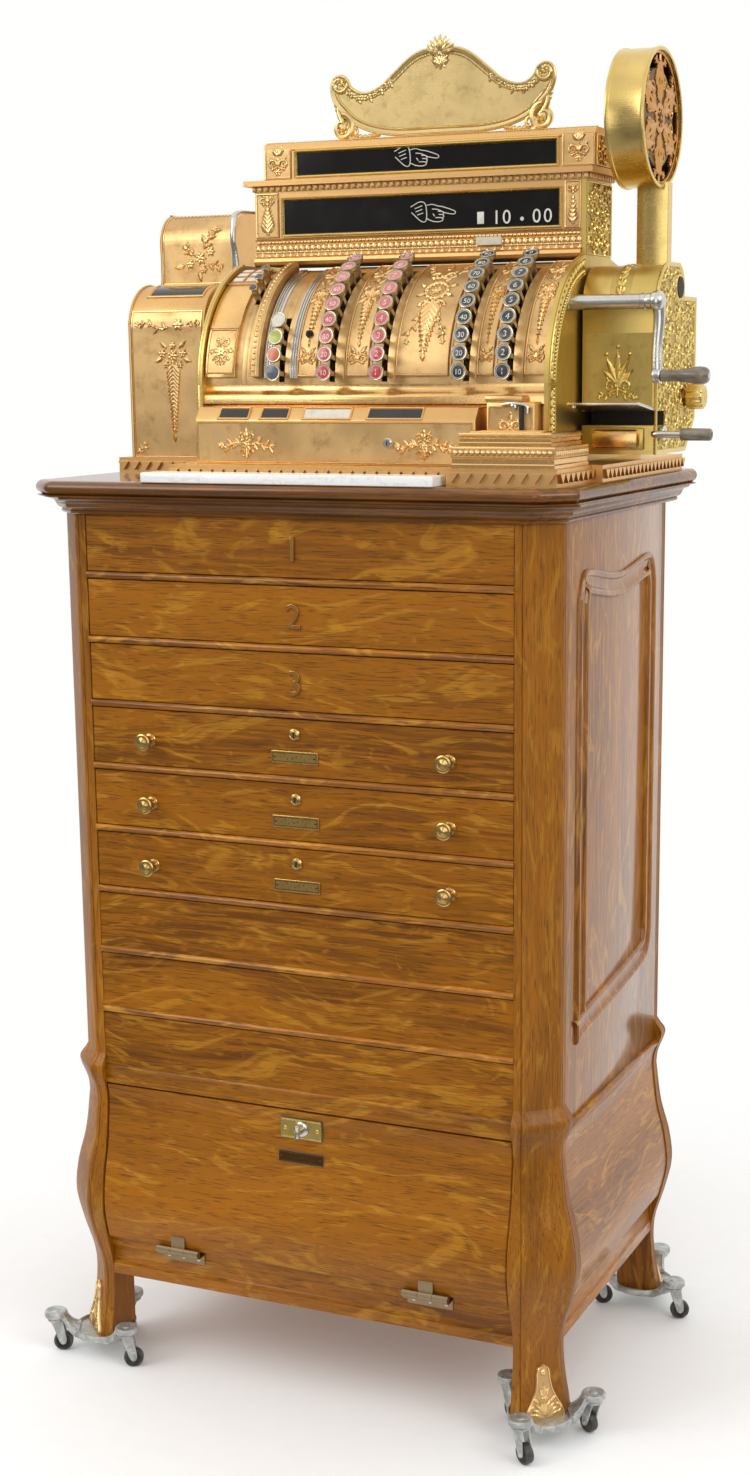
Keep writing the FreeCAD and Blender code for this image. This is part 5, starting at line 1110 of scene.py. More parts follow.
def drawer_furniture(m):
    """Two turned knobs, a lock rose with its keyhole and a rimmed name plate with two pins on each record drawer."""
    face = -HALF_DEPTH + 1.0
    for number in (4, 5, 6):
        middle = drawer_middle(number)
        form = Form()
        for hand in HANDS:
            turned(form, KNOB, (hand * 185.0, face, middle - 3.0), FORWARD, 36)
        turned(form, [(0, 7.0), (1.6, 7.0), (2.6, 6.2), (3.0, 5.0), (2.4, 4.4), (2.7, 3.6), (2.9, 0.5)],
            (0.0, face, middle + 15.0), FORWARD, 32)
        block(form, (-0.9, face - 3.3, middle + 11.6), (0.9, face - 1.0, middle + 16.0), 0.2, 1)
        turned(form, [(0, 1.5), (3.25, 1.5), (3.4, 1.1)], (0.0, face, middle + 16.2), FORWARD, 14, 1)
        low, high = middle - 18.0, middle - 4.0
        plate(form, soften([(-29, low), (29, low), (29, high), (-29, high)], 1.6, 4), face - 1.6, face, 1, 0.5)
        relief(form, lambda x, y, h: (-28.0 + x, face - 1.35 - h * 0.5, low + 1.0 + y), 56.0, 12.0, name_mark,
            cell=0.45, finish=2, sink=0.3, full=0.8, base=0.0)
        build("drawer_furniture_%d_brass" % number, form, [m["knob_brass"], m["shadow"], m["name_brown"]],
            "drawer_%d" % number, ["drawer_furniture_%d" % number])


def drawer_figures(m):
    """Cast figures on the three top drawers."""
    face = -HALF_DEPTH + 1.0
    for number in (1, 2, 3):
        foot = drawer_middle(number) - 14.0
        form = Form()
        lettering(form, str(number), 38.0, lambda x, y, h: (x + 2.0, face - 1.1 - h, y + foot), 1.1, 0.35)
        build("drawer_figure_%d_brass" % number, form, m["copper_brown"], "drawer_%d" % number)


def lettering(form, text, size, place, depth, bevel, finish=0):
    """Adds raised figures: place turns x, y and the height over the ground into points."""
    font = bpy.data.curves.new("figures", "FONT")
    font.body = text
    font.size = size
    font.align_x = "CENTER"
    font.extrude = depth
    font.bevel_depth = bevel
    font.bevel_resolution = 1
    font.resolution_u = 4
    holder = bpy.data.objects.new("figures", font)
    bpy.context.scene.collection.objects.link(holder)
    bpy.context.view_layer.update()
    flat = bpy.data.meshes.new_from_object(holder)
    points = np.empty(len(flat.vertices) * 3)
    flat.vertices.foreach_get("co", points)
    points = np.stack(place(*points.reshape(-1, 3).T), -1)
    order = -1 if mirrors(place) else 1
    tables = {}
    for face in flat.polygons:
        tables.setdefault(len(face.vertices), []).append(list(face.vertices)[::order])
    form.append(points, [np.array(faces) for faces in tables.values()], finish, np.ones(len(points)))
    bpy.data.objects.remove(holder)
    bpy.data.curves.remove(font)
    bpy.data.meshes.remove(flat)


def on_door(left, low, high):
    """Place function over a flat plate on the swelled door, between two heights."""
    foot = -HALF_DEPTH - float(door_face(low)) - 1.6
    lean = float(door_face(low) - door_face(high)) / (high - low)
    return lambda x, y, h: (left + x, foot + (y + 1.0) * lean - h * 0.5, low + 1.0 + y)


def door_fittings(m):
    """Chased lock plate and name plate trim on the drop door, and the thumb turn."""
    form = Form()
    z = DOOR_HIGH - 26.0 * 0.8
    relief(form, on_door(-26.0, z - 13.0, z + 13.0), 52.0, 24.0,
        lambda x, y: highest(border(x, y, (1.5, 1.5), (50.5, 22.5), 0.9, 0.8),
        *[ridge(np.hypot(x - pin, y - 12.0), 2.2, 1.6) for pin in (5.5, 46.5)],
        ridge(np.abs(np.hypot(x - 26.0, y - 12.0) - 10.4), 0.8, 0.6)), cell=0.5, sink=0.3, full=0.8, base=0.0)
    build("lock_plate_trim_brass", form, m["gold"], "drop_door")
    mark = Form()
    relief(mark, on_door(-28.0, z - 41.0, z - 27.0), 56.0, 12.0, name_mark, cell=0.45, sink=0.3, full=0.8, base=0.0)
    build("door_name_plate_trim_brass", mark, m["name_brown"], "drop_door")

    thumb = Form()
    box_low, box_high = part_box("door_latch_turn")
    front, root = box_low.y / MILLIMETRE, box_high.y / MILLIMETRE
    reach = root - front
    turned(thumb, [(0, 3.9), (reach - 15.4, 3.9), (reach - 15.2, 8.6), (reach - 14.6, 9.0), (reach - 14.0, 8.4),
        (reach - 13.2, 5.2), (reach - 9.0, 4.4)], (0.0, root, z), FORWARD, 32)
    span = np.linspace(-1, 1, 25)
    path = np.stack([np.zeros(25), np.full(25, front + 5.2), z + span * 8.2], 1)
    tube(thumb, path, 2.2 + 1.6 * np.abs(span) ** 1.5 - 1.4 * np.clip(np.abs(span) - 0.9, 0, 1) * 8, 14)
    path = np.stack([np.zeros(9), np.linspace(front + 9.5, front + 4.6, 9), np.full(9, z)], 1)
    tube(thumb, path, np.linspace(4.0, 3.4, 9), 14)
    return build("thumb_turn_steel", thumb, m["steel"], "door_turn", ["door_latch_turn"])


def soften_edges(names, width):
    """Rounds the arrises of CAD pieces that are shown as they are."""
    for name in names:
        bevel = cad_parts[name].modifiers.new("soft_edges", "BEVEL")
        bevel.width = width * MILLIMETRE
        bevel.segments = 2
        bevel.limit_method = "ANGLE"
        bevel.angle_limit = radians(40)
        bevel.harden_normals = False


def inside(outline, x, y):
    """True where a point lies within a closed outline: it counts the edges to the right of the point."""
    outline = np.asarray(outline, float)
    found = np.zeros(np.shape(x), bool)
    for (ax, ay), (bx, by) in zip(outline, np.roll(outline, -1, 0)):
        if ay == by:
            continue
        crossing = ax + (y - ay) * (bx - ax) / (by - ay)
        found ^= ((ay > y) != (by > y)) & (x < crossing)
    return found


def cutout(form, place, x, y, level, keep, thick, full):
    """Adds a pierced plate: of a grid of cells only those kept are made, with a front that follows the relief, a
    flat back and walls round every opening."""
    rows, columns = x.shape
    shift = rows * columns
    points = np.concatenate([np.stack(place(x, y, height), -1).reshape(-1, 3)
        for height in (level, np.full_like(x, -thick))])
    shown = keep[:-1, :-1] & keep[1:, :-1] & keep[1:, 1:] & keep[:-1, 1:]
    faces = grid_faces(rows, columns)[shown.ravel()]
    edges = np.concatenate([faces[:, [k, (k + 1) % 4]] for k in range(4)]).astype(np.int64)
    rim = edges[~np.isin(edges @ [shift, 1], edges @ [1, shift])]
    walls = np.stack([rim[:, 1], rim[:, 0], rim[:, 0] + shift, rim[:, 1] + shift], 1)
    sets = [faces, faces[:, ::-1] + shift, walls]
    if mirrors(place):
        sets = [group[:, ::-1] for group in sets]
    used = np.unique(np.concatenate([faces.ravel(), faces.ravel() + shift]))
    number = np.full(2 * shift, -1)
    number[used] = np.arange(len(used))
    share = np.concatenate([np.clip(level / full, 0, 1).ravel(), np.zeros(shift)])
    return form.append(points[used], [number[group] for group in sets], 0, share[used])


def along_profile(profile, x0):
    """Place function over a surface swept along X from a profile of (y, z) points: its second coordinate runs
    along the profile, and the height goes along the profile's normal. Gives the length of the profile too."""
    profile = np.asarray(profile, float)
    step = np.linalg.norm(np.diff(profile, axis=0), axis=1)
    run = np.concatenate([[0], np.cumsum(step)])
    slope = np.gradient(profile, run, axis=0)
    slope /= np.linalg.norm(slope, axis=1, keepdims=True)

    def place(x, y, h):
        py, pz, ty, tz = (np.interp(y, run, column) for column in (*profile.T, *slope.T))
        size = np.hypot(ty, tz)
        return x + x0, py - h * tz / size, pz + h * ty / size

    return place, run[-1]


def facing(x0, y0, z0, way):
    """Place function over a flat face that looks to the front, to the right or up."""
    return {"front": lambda x, y, h: (x0 + x, y0 - h, z0 + y), "right": lambda x, y, h: (x0 + h, y0 + x, z0 + y),
        "up": lambda x, y, h: (x0 + x, y0 + y, z0 + h)}[way]


def arc_place(x0, radius, low_angle):
    """Place function over the key cylinder: its second coordinate is the length of arc from an angle upward."""
    def place(x, y, h):
        angle = radians(low_angle) + y / radius
        reach = radius + h
        return x0 + x, -reach * np.cos(angle), KEY_Z + reach * np.sin(angle)

    return place


def arc_bar(form, x0, x1, inner, outer, low_angle, high_angle, edge=0.6, finish=0):
    """Adds a bent bar round the key axis with rounded rims."""
    section = soften(anticlockwise([(x0, inner), (x1, inner), (x1, outer), (x0, outer)]), edge, 3)
    angles = np.radians(np.linspace(low_angle, high_angle, max(3, int(abs(high_angle - low_angle) / 1.6))))
    rings = [np.stack([section[:, 0], -section[:, 1] * cos(a), KEY_Z + section[:, 1] * sin(a)], 1) for a in angles]
    return form.skin(rings, finish=finish)


def wreath(x, y, centre, radius, height):
    """Laurel ring with a flower in it."""
    dx, dy = x - centre[0], y - centre[1]
    ring = radius * 0.24 * (0.75 + 0.25 * np.cos(np.arctan2(dy, dx) * 14))
    layers = [ridge(np.hypot(dx, dy) - radius, ring, height), rosette(x, y, centre, radius * 0.52, 6, height)]
    for angle in range(22, 360, 45):
        root = (centre[0] + radius * 1.2 * cos(radians(angle)), centre[1] + radius * 1.2 * sin(radians(angle)))
        layers.append(leaf(x, y, root, angle, radius * 0.7, radius * 0.42, height))
    return highest(*layers)


def scroll_pair(x, y, centre, size, height, up=1):
    """Two volutes back to back, with a leaf standing between them."""
    layers = [leaf(x, y, centre, 90 * up, size * 1.3, size * 0.6, height)]
    for hand in HANDS:
        eye = (centre[0] + hand * size * 0.85, centre[1] + up * size * 0.25)
        line = curl(eye, size * 0.6, 1.2, 90 + 90 * hand * up, -hand * up)
        stem = [centre, (eye[0], eye[1] - up * size * 0.62)]
        layers += [stroke(x, y, line, size * 0.17, size * 0.08, height),
            stroke(x, y, stem, size * 0.1, size * 0.16, height), leaf(x, y, (eye[0], eye[1] + up * size * 0.4), 90
            * up - hand * 35, size * 0.7, size * 0.35, height)]
    return highest(*layers)


def pendant(x, y, centre_x, top, length, width, height):
    """Flower cluster with scrolls on top, and a long feather under it."""
    return highest(feather(x, y, (centre_x, top - width * 0.30), length, width * 0.62, height),
        rosette(x, y, (centre_x, top), width * 0.22, 7, height * 1.1),
        scroll_pair(x, y, (centre_x, top + width * 0.16), width * 0.30, height),
        scroll_pair(x, y, (centre_x, top - width * 0.20), width * 0.26, height, -1),
        *[highest(rosette(x, y, (centre_x + hand * width * 0.30, top), width * 0.13, 5, height), leaf(x, y,
        (centre_x + hand * width * 0.14, top - width * 0.24), -90 + hand * 48, width * 0.52, width * 0.2, height))
        for hand in HANDS])


def strip_panel(x, y, width, height):
    """Tall narrow panel: border, bud, flower with a hanging feather and a scroll at its foot."""
    mid = width / 2
    return highest(border(x, y, (0.9, 0.9), (width - 0.9, height - 0.9), 0.9, 1.5),
        pendant(x, y, mid, height * 0.60, height * 0.36, width * 0.92, 2.2),
        scroll_pair(x, y, (mid, height * 0.80), width * 0.28, 2.0),
        leaf(x, y, (mid, height * 0.72), 90, height * 0.07, width * 0.24, 2.0),
        scroll_pair(x, y, (mid, height * 0.10), width * 0.29, 2.0), *[leaf(x, y,
        (mid + hand * width * 0.10, height * low), 90 - hand * 40, width * 0.42, width * 0.18, 1.8) for hand in HANDS
        for low in (0.145, 0.70, 0.86)], beads(x, y, (mid, height * 0.90), (mid, height * 0.965), 3.2, 1.2, 1.4))


def filigree(x, y, low, high, size, height, seed):
    """Dense field of volutes and leaves on a slightly uneven grid."""
    random = np.random.default_rng(seed)
    result = np.zeros_like(x)
    across = max(1, int(round((high[0] - low[0]) / (size * 2.1))))
    upward = max(1, int(round((high[1] - low[1]) / (size * 1.9))))
    for i in range(across):
        for j in range(upward):
            cx = low[0] + (i + 0.5 + (0.25 if j % 2 else -0.25)) * (high[0] - low[0]) / across
            cy = low[1] + (j + 0.5) * (high[1] - low[1]) / upward
            cx += random.uniform(-0.1, 0.1) * size
            near = (np.abs(x - cx) < size * 2.2) & (np.abs(y - cy) < size * 2.2)
            if not near.any():
                continue
            hand = 1 if (i + j) % 2 else -1
            turn = random.uniform(-25, 25)
            px, py = x[near], y[near]
            layers = [stroke(px, py, curl((cx, cy), size * 0.8, 1.3, 200 + turn, hand), size * 0.17, size * 0.09,
                height)]
            for k, spread in enumerate((20, 75, 130, 235)):
                way = 200 + turn + hand * spread
                root = (cx + size * 0.78 * cos(radians(way)), cy + size * 0.78 * sin(radians(way)))
                layers.append(leaf(px, py, root, way + 20 * hand, size * (0.95 - 0.1 * k), size * 0.42, height))
            result[near] = highest(result[near], *layers)
    return result


def middle_panel(x, y, width, height):
    """Wide panel between the middle banks: border, wreath, a hanging feather, scrolls and four pairs of branches."""
    mid = width / 2
    return highest(border(x, y, (0.9, 0.9), (width - 0.9, height - 0.9), 0.9, 1.2),
        wreath(x, y, (mid, height * 0.62), 12.5, 2.3),
        feather(x, y, (mid, height * 0.52), height * 0.42, width * 0.48, 2.3),
        scroll_pair(x, y, (mid, height * 0.76), 11.0, 2.1), scroll_pair(x, y, (mid, height * 0.50), 10.0, 2.1, -1),
        leaf(x, y, (mid, height * 0.86), 90, height * 0.11, 10.0, 2.0), *[branch(x, y,
        (mid + hand * width * a, height * b), (mid + hand * width * c, height * d), -hand * sway, size, rise, buds)
        for a, b, c, d, sway, size, rise, buds in ((0.20, 0.42, 0.34, 0.22, 2.0, 8.0, 1.9, 3),
        (0.26, 0.80, 0.35, 0.93, 1.5, 7.0, 1.8, 2)) for hand in HANDS])


def key_front(m):
    """Curved front behind the keys: slotted plate in strips, sill and apron, chased panels, the window plate of the
    clerk keys and the raised rail beside the transaction keys."""
    form = Form()
    left, right = BODY_LEFT + END_PLATE, BODY_RIGHT - END_PLATE
    cuts = sorted([(x, 3.3) for x in BANKS + (TRANSACTION,)] + [(CLERK, 2.9)])
    edges = [left] + [value for x, half in cuts for value in (x - half, x + half)] + [right]
    for a, b in zip(edges[::2], edges[1::2]):
        arc_bar(form, a, b, 126.0, PLATE_LOW, 0, 79, 0.5)
    for x, half in cuts:
        low = 43.0 if x == CLERK else 1.2
        high = {CLERK: 68.0, TRANSACTION: 34.0}.get(x, 71.5)
        arc_bar(form, x - half, x + half, 126.0, PLATE_LOW, 0, low, 0.1)
        arc_bar(form, x - half, x + half, 126.0, PLATE_LOW, high, 79, 0.1)
    sill = [(-126, 1150), (-134.5, 1150), (-136, 1151.2), (-136, 1158.5), (-135.4, 1160.6), (-133.6, 1162.2),
        (-131.0, 1164.2), (-129.4, 1167.0), (-129, 1170.2), (-129, 1172), (-126, 1172)]
    plate(form, sill, left, right, 0, 0.3, 1)
    block(form, (left, -129, BASE_Z), (right, -126, 1150), 0.4, 1)
    run = radians(71.5) * PLATE_RADIUS
    for a, b in ((-28.0, -4.0), (31.0, 59.0), (91.0, 153.0), (186.0, 205.0), (240.0, 264.0)):
        width = b - a
        panel = middle_panel if width > 30.0 else strip_panel
        arc_bar(form, a, b, 129.0, PLATE_RADIUS, 3.7, 75.3, 0.9)
        relief(form, arc_place(a + 0.9, PLATE_RADIUS, 3.9), width - 1.8, run - 1.4,
            lambda x, y: panel(x, y, width, run), cell=0.62, full=2.2)
    arc_bar(form, -85.0, -71.0, 129.0, PLATE_RADIUS + 7.5, 3.7, 75.3, 3.2)
    rail = radians(70.0) * (PLATE_RADIUS + 7.5)
    relief(form, arc_place(-82.0, PLATE_RADIUS + 7.2, 4.4), 8.0, rail,
        lambda x, y: highest(beads(x, y, (4.0, 2.0), (4.0, rail - 2.0), 6.4, 1.9, 1.5),
        *[ridge(x - at, 0.7, 0.8) for at in (0.5, 7.5)]), full=1.2, base=0.2)
    arc_bar(form, -143.0, -105.2, 129.0, PLATE_RADIUS, 3.7, 75.3, 0.9, 1)
    relief(form, arc_place(-142.0, PLATE_RADIUS, 5.0), 36.0, 52.0,
        lambda x, y: highest(border(x, y, (1, 1), (35, 51), 0.9, 1.2), rosette(x, y, (18, 26), 6.5, 6, 1.6),
        *[scroll_pair(x, y, (18, 26 + up * 8), 6.5, 1.4, up) for up in HANDS],
        *[branch(x, y, (18 + hand * 4, 26), (18 + hand * 13, 26), 0.5, 5, 1.2, 2) for hand in HANDS]), cell=0.62,
        full=1.5)
    for row in range(3):
        for column in range(2):
            x0, at = -139.5 + column * 17.0, 61.0 + row * 5.6
            arc_bar(form, x0 - 1.0, x0 + 14.0, PLATE_RADIUS - 1, PLATE_RADIUS + 0.9, at - 2.4, at + 2.4, 0.4)
            arc_bar(form, x0 + 0.4, x0 + 12.6, PLATE_RADIUS, PLATE_RADIUS + 1.3, at - 1.6, at + 1.6, 0.3, 2)
    for at in (28.5, 57.0):
        arc_bar(form, -142.6, -105.6, PLATE_RADIUS, PLATE_RADIUS + 1.2, at - 0.8, at + 0.8, 0.5)
    for x in (-68.5, -65.5, -62.5, -36.5, -33.5, -30.5):
        arc_bar(form, x - 0.9, x + 0.9, 129.0, PLATE_RADIUS - 1.0, 3.0, 76.0, 0.7, 3)
    for a, b in ((-70.0, -58.4), (-37.6, -28.6)):
        arc_bar(form, a, b, 128.6, 130.2, 3.0, 77.0, 0.3, 3)
    for a, b in ((-1.5, 28.5), (61.5, 89.0), (155.0, 184.0), (207.5, 237.5)):
        arc_bar(form, a, b, 128.5, 131.4, 74.2, 78.6, 0.7)
        arc_bar(form, a + 3.0, b - 3.0, 130.4, 131.9, 75.2, 77.8, 0.3, 4)
        for x in (a, b):
            arc_bar(form, x - 0.9, x + 0.9, 128.5, 130.8, 2.5, 74.4, 0.6)
    lock = np.array([0.0, -cos(0.42), sin(0.42)])
    turned(form, [(0, 4.2), (2.0, 4.2), (3.2, 3.4), (3.6, 2.2), (5.8, 2.0), (6.4, 1.2)], lock * PLATE_RADIUS
        + [-16.0, 0.0, KEY_Z], lock, 24, 4)
    return build("key_front_brass", form, [m["copper"], m["copper_plain"], m["figure"], m["steel"], m["shadow"]],
        "case", ["key_front"])


def key_forms(form, x, angle, face_radius, radius, stem, face, text=""):
    """Adds one key: stem, dished cup with a bright rim, glossy face and, with a figure, a fine ring round it."""
    turn = radians(angle)
    outward = np.array([0.0, -cos(turn), sin(turn)])
    upward = np.array([0.0, sin(turn), cos(turn)])
    length, r, w = 8.0, radius, stem / 2
    foot = np.array([x, 0.0, KEY_Z]) + outward * face_radius - outward * length
    section = [(-w, -2.5), (w, -2.5), (w, 2.5), (-w, 2.5)]
    form.skin([[p + np.array([a, 0, 0]) + upward * b for a, b in section]
        for p in (foot - outward * 38.0, foot + outward * 0.5)])
    turned(form, [(0, r * 0.5), (0.6, r * 0.66), (2.2, r * 0.86), (4.4, r * 0.95), (length - 0.9, r),
        (length - 0.2, r * 0.985), (length, r * 0.94), (length - 0.1, r * 0.89), (length - 0.7, r * 0.865)], foot,
        outward, 26)
    turned(form, [(length - 2.2, r * 0.86), (length - 0.75, r * 0.86), (length - 0.45, r * 0.6),
        (length - 0.3, r * 0.1)], foot, outward, 26, face)
    if not text:
        return
    path = [foot + outward * (length - 0.5) + r * 0.74 * (cos(t) * np.array([1.0, 0, 0]) + sin(t) * upward)
        for t in np.append(np.arange(30) * 2 * pi / 30, 0.0)]
    tube(form, path, 0.22, 5, 2)
    base = foot + outward * (length - 0.55) - upward * r * 0.36

    def lie(px, py, h):
        return base[0] + px, base[1] + upward[1] * py + outward[1] * h, base[2] + upward[2] * py + outward[2] * h

    size = bpy.context.scene.ticket_register.keys.figure * (1.0 if len(text) == 1 else 0.86)
    lettering(form, text, r * size, lie, 0.25, 0.0, 2)


def money_keys(m):
    """Four banks of nine money keys: two red, paler on the upper rows, and two black."""
    for number, x in enumerate(BANKS, 1):
        form = Form()
        for index in range(9):
            key_forms(form, x, FIRST_ANGLE + ANGLE_STEP * index, KEY_FACE, 9.2, 6.0, 1, str(index + 1) + "0"
                * (number % 2))
        build("money_keys_%d_faces" % number, form, [m["nickel"], m["red" if number < 3 else "black"], m["figure"]],
            "money_keys_%d" % number, ["money_keys_%d" % number])


def transaction_keys(m):
    """Four transaction keys, each in its own colour, and the three small clerk keys."""
    form = Form()
    for index in range(4):
        key_forms(form, TRANSACTION, FIRST_ANGLE + ANGLE_STEP * index, KEY_FACE, 9.2, 6.0, 1 + index)
    build("transaction_keys_faces", form, [m["nickel"], m["blue"], m["orange"], m["green"], m["white"]],
        "transaction_keys", ["transaction_keys"])
    form = Form()
    for index in range(3):
        key_forms(form, CLERK, 46.0 + ANGLE_STEP * index, 149.0, 5.2, 5.2, 1)
    build("clerk_keys_faces", form, [m["nickel"], m["black"]], "clerk_keys", ["clerk_keys"])


def end_rims(m):
    """Chased bands on the front edge of the right end plate and the thin bright rim of the left one."""
    form = Form()
    run = radians(78.0) * 128.0

    def lie(x, y, h):
        angle = x / 128.0
        reach = 117.0 + y
        return 270.0 + h, -reach * np.cos(angle), KEY_Z + reach * np.sin(angle)

    relief(form, lie, run, 19.0, lambda x, y: highest(border(x, y, (0.8, 0.8), (run - 0.8, 18.2), 0.9, 1.6),
        beads(x, y, (2, 4.2), (run - 2, 4.2), 4.4, 2.0, 2.0),
        *[leaf(x, y, (4 + k * 9.0, 11.4), 12, 9.4, 9.5, 2.2) for k in range(int(run / 9.0))]), sink=0.4, full=1.8)
    relief(form, facing(270.0, -137.0, 1090.0, "right"), 19.0, 80.0,
        lambda x, y: highest(border(x, y, (0.8, 0.8), (18.2, 79.2), 0.9, 1.6),
        beads(x, y, (14.8, 2), (14.8, 78), 4.4, 2.0, 2.0),
        *[leaf(x, y, (7.6, 3 + k * 9.0), 82, 9.4, 9.5, 2.2) for k in range(8)]), sink=0.4, full=1.8)
    relief(form, facing(270.0, -20.0, 1308.0, "right"), 82.0, 78.0,
        lambda x, y: highest(border(x, y, (1, 1), (81, 77), 1.0, 1.6), filigree(x, y, (6, 6), (76, 72), 9.5, 2.2, 5)),
        cell=0.75, sink=0.4, full=1.8)
    build("right_end_chasing_brass", form, m["gold"], "case")
    rim = Form()
    arc_bar(rim, -149.6, -146.6, 131.0, 138.4, 0, 80, 0.9)
    block(rim, (-149.6, -138.4, BASE_Z), (-146.6, -131.0, KEY_Z), 0.9)
    build("left_end_rim_brass", rim, m["gold_plain"], "case")


def head_trim(m):
    """Chased pilasters, mouldings, dentils and frames of the two indicator heads."""
    form = Form()
    x0, x1 = -133.0, 265.0
    width = x1 - x0
    relief(form, facing(x0, HEAD_FRONT, 1309.0, "front"), width, 27.0,
        lambda x, y: highest(*[ridge(y - at, 0.8, 1.2) for at in (2.0, 11.4, 18.8, 25.6)],
        beads(x, y, (2, 22.2), (width - 2, 22.2), 4.6, 2.0, 1.7),
        ridge(np.hypot((x % 7.0) - 3.5, (y - 15.0) * 0.8), 2.9, 1.5),
        ridge(np.abs(np.hypot((x % 9.0) - 4.5, y - 10.6)) - 5.6, 1.6, 1.3) * (y < 10.6) * (y > 3)), cell=0.62,
        sink=0.6, base=0.3)
    for a, b in ((x0, -101.0), (244.0, x1)):
        w = b - a - 2
        relief(form, facing(a + 1, HEAD_FRONT, 1336.5, "front"), w, 50.0,
            lambda x, y: highest(border(x, y, (1, 1), (w - 1, 49), 0.9, 1.2),
            feather(x, y, (w / 2, 5.0), 34.0, w * 0.72, 1.5, 90.0, 6),
            scroll_pair(x, y, (w / 2, 39.5), w * 0.22, 1.3)), base=0.2)
    section = [(-0.6, 0), (-0.6, 2.4), (0.4, 3.0), (1.6, 2.2), (2.2, 0.6), (2.6, 0)]
    for a, b, low, high, y in ((-98.0, 241.0, 1338.0, 1380.0, HEAD_FRONT),
            (-88.0, 232.0, 1404.0, 1433.0, CROWN_FRONT)):
        sweep(form, section, [(a, y, low), (a, y, high), (b, y, high), (b, y, low)], FORWARD, closed=True, finish=1)
    for index in range(52):
        x = -134.0 + index * 7.9
        block(form, (x, -25.6, 1388.4), (x + 4.0, -22.0, 1393.6), 0.5)
    for index in range(11):
        y = -20.0 + index * 7.9
        block(form, (271.5, y, 1388.4), (275.0, y + 4.0, 1393.6), 0.5)
    lip = [(-3, 1394.2), (6.2, 1394.2), (7.4, 1394.9), (7.6, 1396.2), (8.8, 1397.0), (9.9, 1398.2), (9.9, 1399.8),
        (8.6, 1400), (-3, 1400)]
    sweep(form, lip, [(-133, 64, 0), (-133, -21, 0), (270, -21, 0), (270, 64, 0)], UPWARD, closed=True)
    for a, b in ((-128.0, -92.0), (236.0, 275.0)):
        w = b - a - 1
        turn = [(-6.0, 1402.0), (-6.0, 1432.0), (-5.2, 1436.6), (-3.2, 1440.4), (0.4, 1442.8), (4.0, 1443.0)]
        place, run = along_profile(smooth(turn, 40), a + 0.5)
        relief(form, place, w, run, lambda x, y: highest(border(x, y, (1, 1), (w - 1, run - 1), 0.9, 1.2),
            scroll_pair(x, y, (w / 2, 15.0), 8.5, 1.7), rosette(x, y, (w / 2, 9.0), 4.6, 6, 1.7),
            fan(x, y, (w / 2, 27.0), 90, 100, 5, 14.0, 5.0, 1.6)), cell=0.62, base=0.2)
    turn = [(-6.0, 1433.6), (-5.2, 1436.6), (-3.2, 1440.4), (0.4, 1442.8), (4.0, 1443.0)]
    place, run = along_profile(smooth(turn, 30), -91.5)
    relief(form, place, 327.0, run, lambda x, y: highest(ridge(y - 1.4, 0.8, 1.2),
        beads(x, y, (1, run * 0.52), (326, run * 0.52), 4.2, 1.6, 1.2), ridge(y - run + 1.2, 0.8, 1.1)), cell=0.62,
        full=1.5, base=0.15)
    relief(form, facing(275.0, -4.0, 1402.0, "right"), 60.0, 34.0,
        lambda x, y: highest(border(x, y, (1, 1), (59, 33), 0.9, 1.2), filigree(x, y, (5, 4), (55, 30), 7.0, 1.4, 9)),
        cell=0.7, sink=0.4, full=1.5)
    build("head_trim_brass", form, [m["copper"], m["gold_plain"]], "case")
    label = Form()
    plate(label, soften([(143, 1321), (173, 1321), (173, 1330), (143, 1330)], 1.2), -25.6, -23.0, 1, 0.4)
    build("head_label_blank", label, m["white"], "case")


def indicator_figures(m):
    """White figures and two pointing hands, drawn on the glass of the heads."""
    form = Form()
    y = HEAD_FRONT + 0.4
    for text, x in (("1", 166.0), ("0", 178.0), ("0", 213.0), ("0", 226.0)):
        lettering(form, text, 21.0, lambda px, py, h: (px + x, y - 0.9 - h, py + 1343.5), 0.15, 0.0)
    turned(form, [(0, 2.2), (0.6, 2.2), (0.8, 1.8)], (196.0, y - 0.6, 1348.0), FORWARD, 18)
    block(form, (143.0, y - 1.0, 1344.0), (151.0, y - 0.4, 1357.0), 0.3)
    for left, low, face in ((62.0, 1345.0, HEAD_FRONT), (36.0, 1407.0, CROWN_FRONT)):
        for line in HAND_STROKES:
            tube(form, [(left + a, face - 0.45, low + b) for a, b in smooth(line, len(line) * 5)], 0.55, 6)
    return build("indicator_figures_white", form, m["figure"], "case")


def sign_outline():
    """Outline of the sign plate: a bowed foot, rolled ends and a swept crest."""
    half = [(0.0, 0.0), (0.35, 0.0), (0.6, 0.05), (0.78, 0.15), (0.9, 0.3), (0.97, 0.42), (1.0, 0.56), (0.98, 0.68),
        (0.92, 0.72), (0.86, 0.68), (0.82, 0.58), (0.74, 0.51), (0.64, 0.51), (0.53, 0.58), (0.42, 0.71), (0.3, 0.85),
        (0.2, 0.93), (0.08, 0.97), (0.0, 0.975)]
    low, rise = 1443.0 + 6.0, 94.0
    right = smooth([(SIGN_X + 136.0 * a, low + rise * b) for a, b in half], 150)
    left = right[::-1] * [-1, 1] + [SIGN_X * 2, 0]
    return np.vstack([right[:-1], left[:-1]])


def rim_distance(outline, x, y):
    """Distance of each point from a closed outline."""
    rim = np.full_like(x, 99.0)
    for a, b in zip(outline, np.roll(outline, -1, 0)):
        step = b - a
        t = np.clip(((x - a[0]) * step[0] + (y - a[1]) * step[1]) / max(step @ step, 1e-9), 0, 1)
        rim = np.minimum(rim, np.hypot(x - a[0] - t * step[0], y - a[1] - t * step[1]))
    return rim


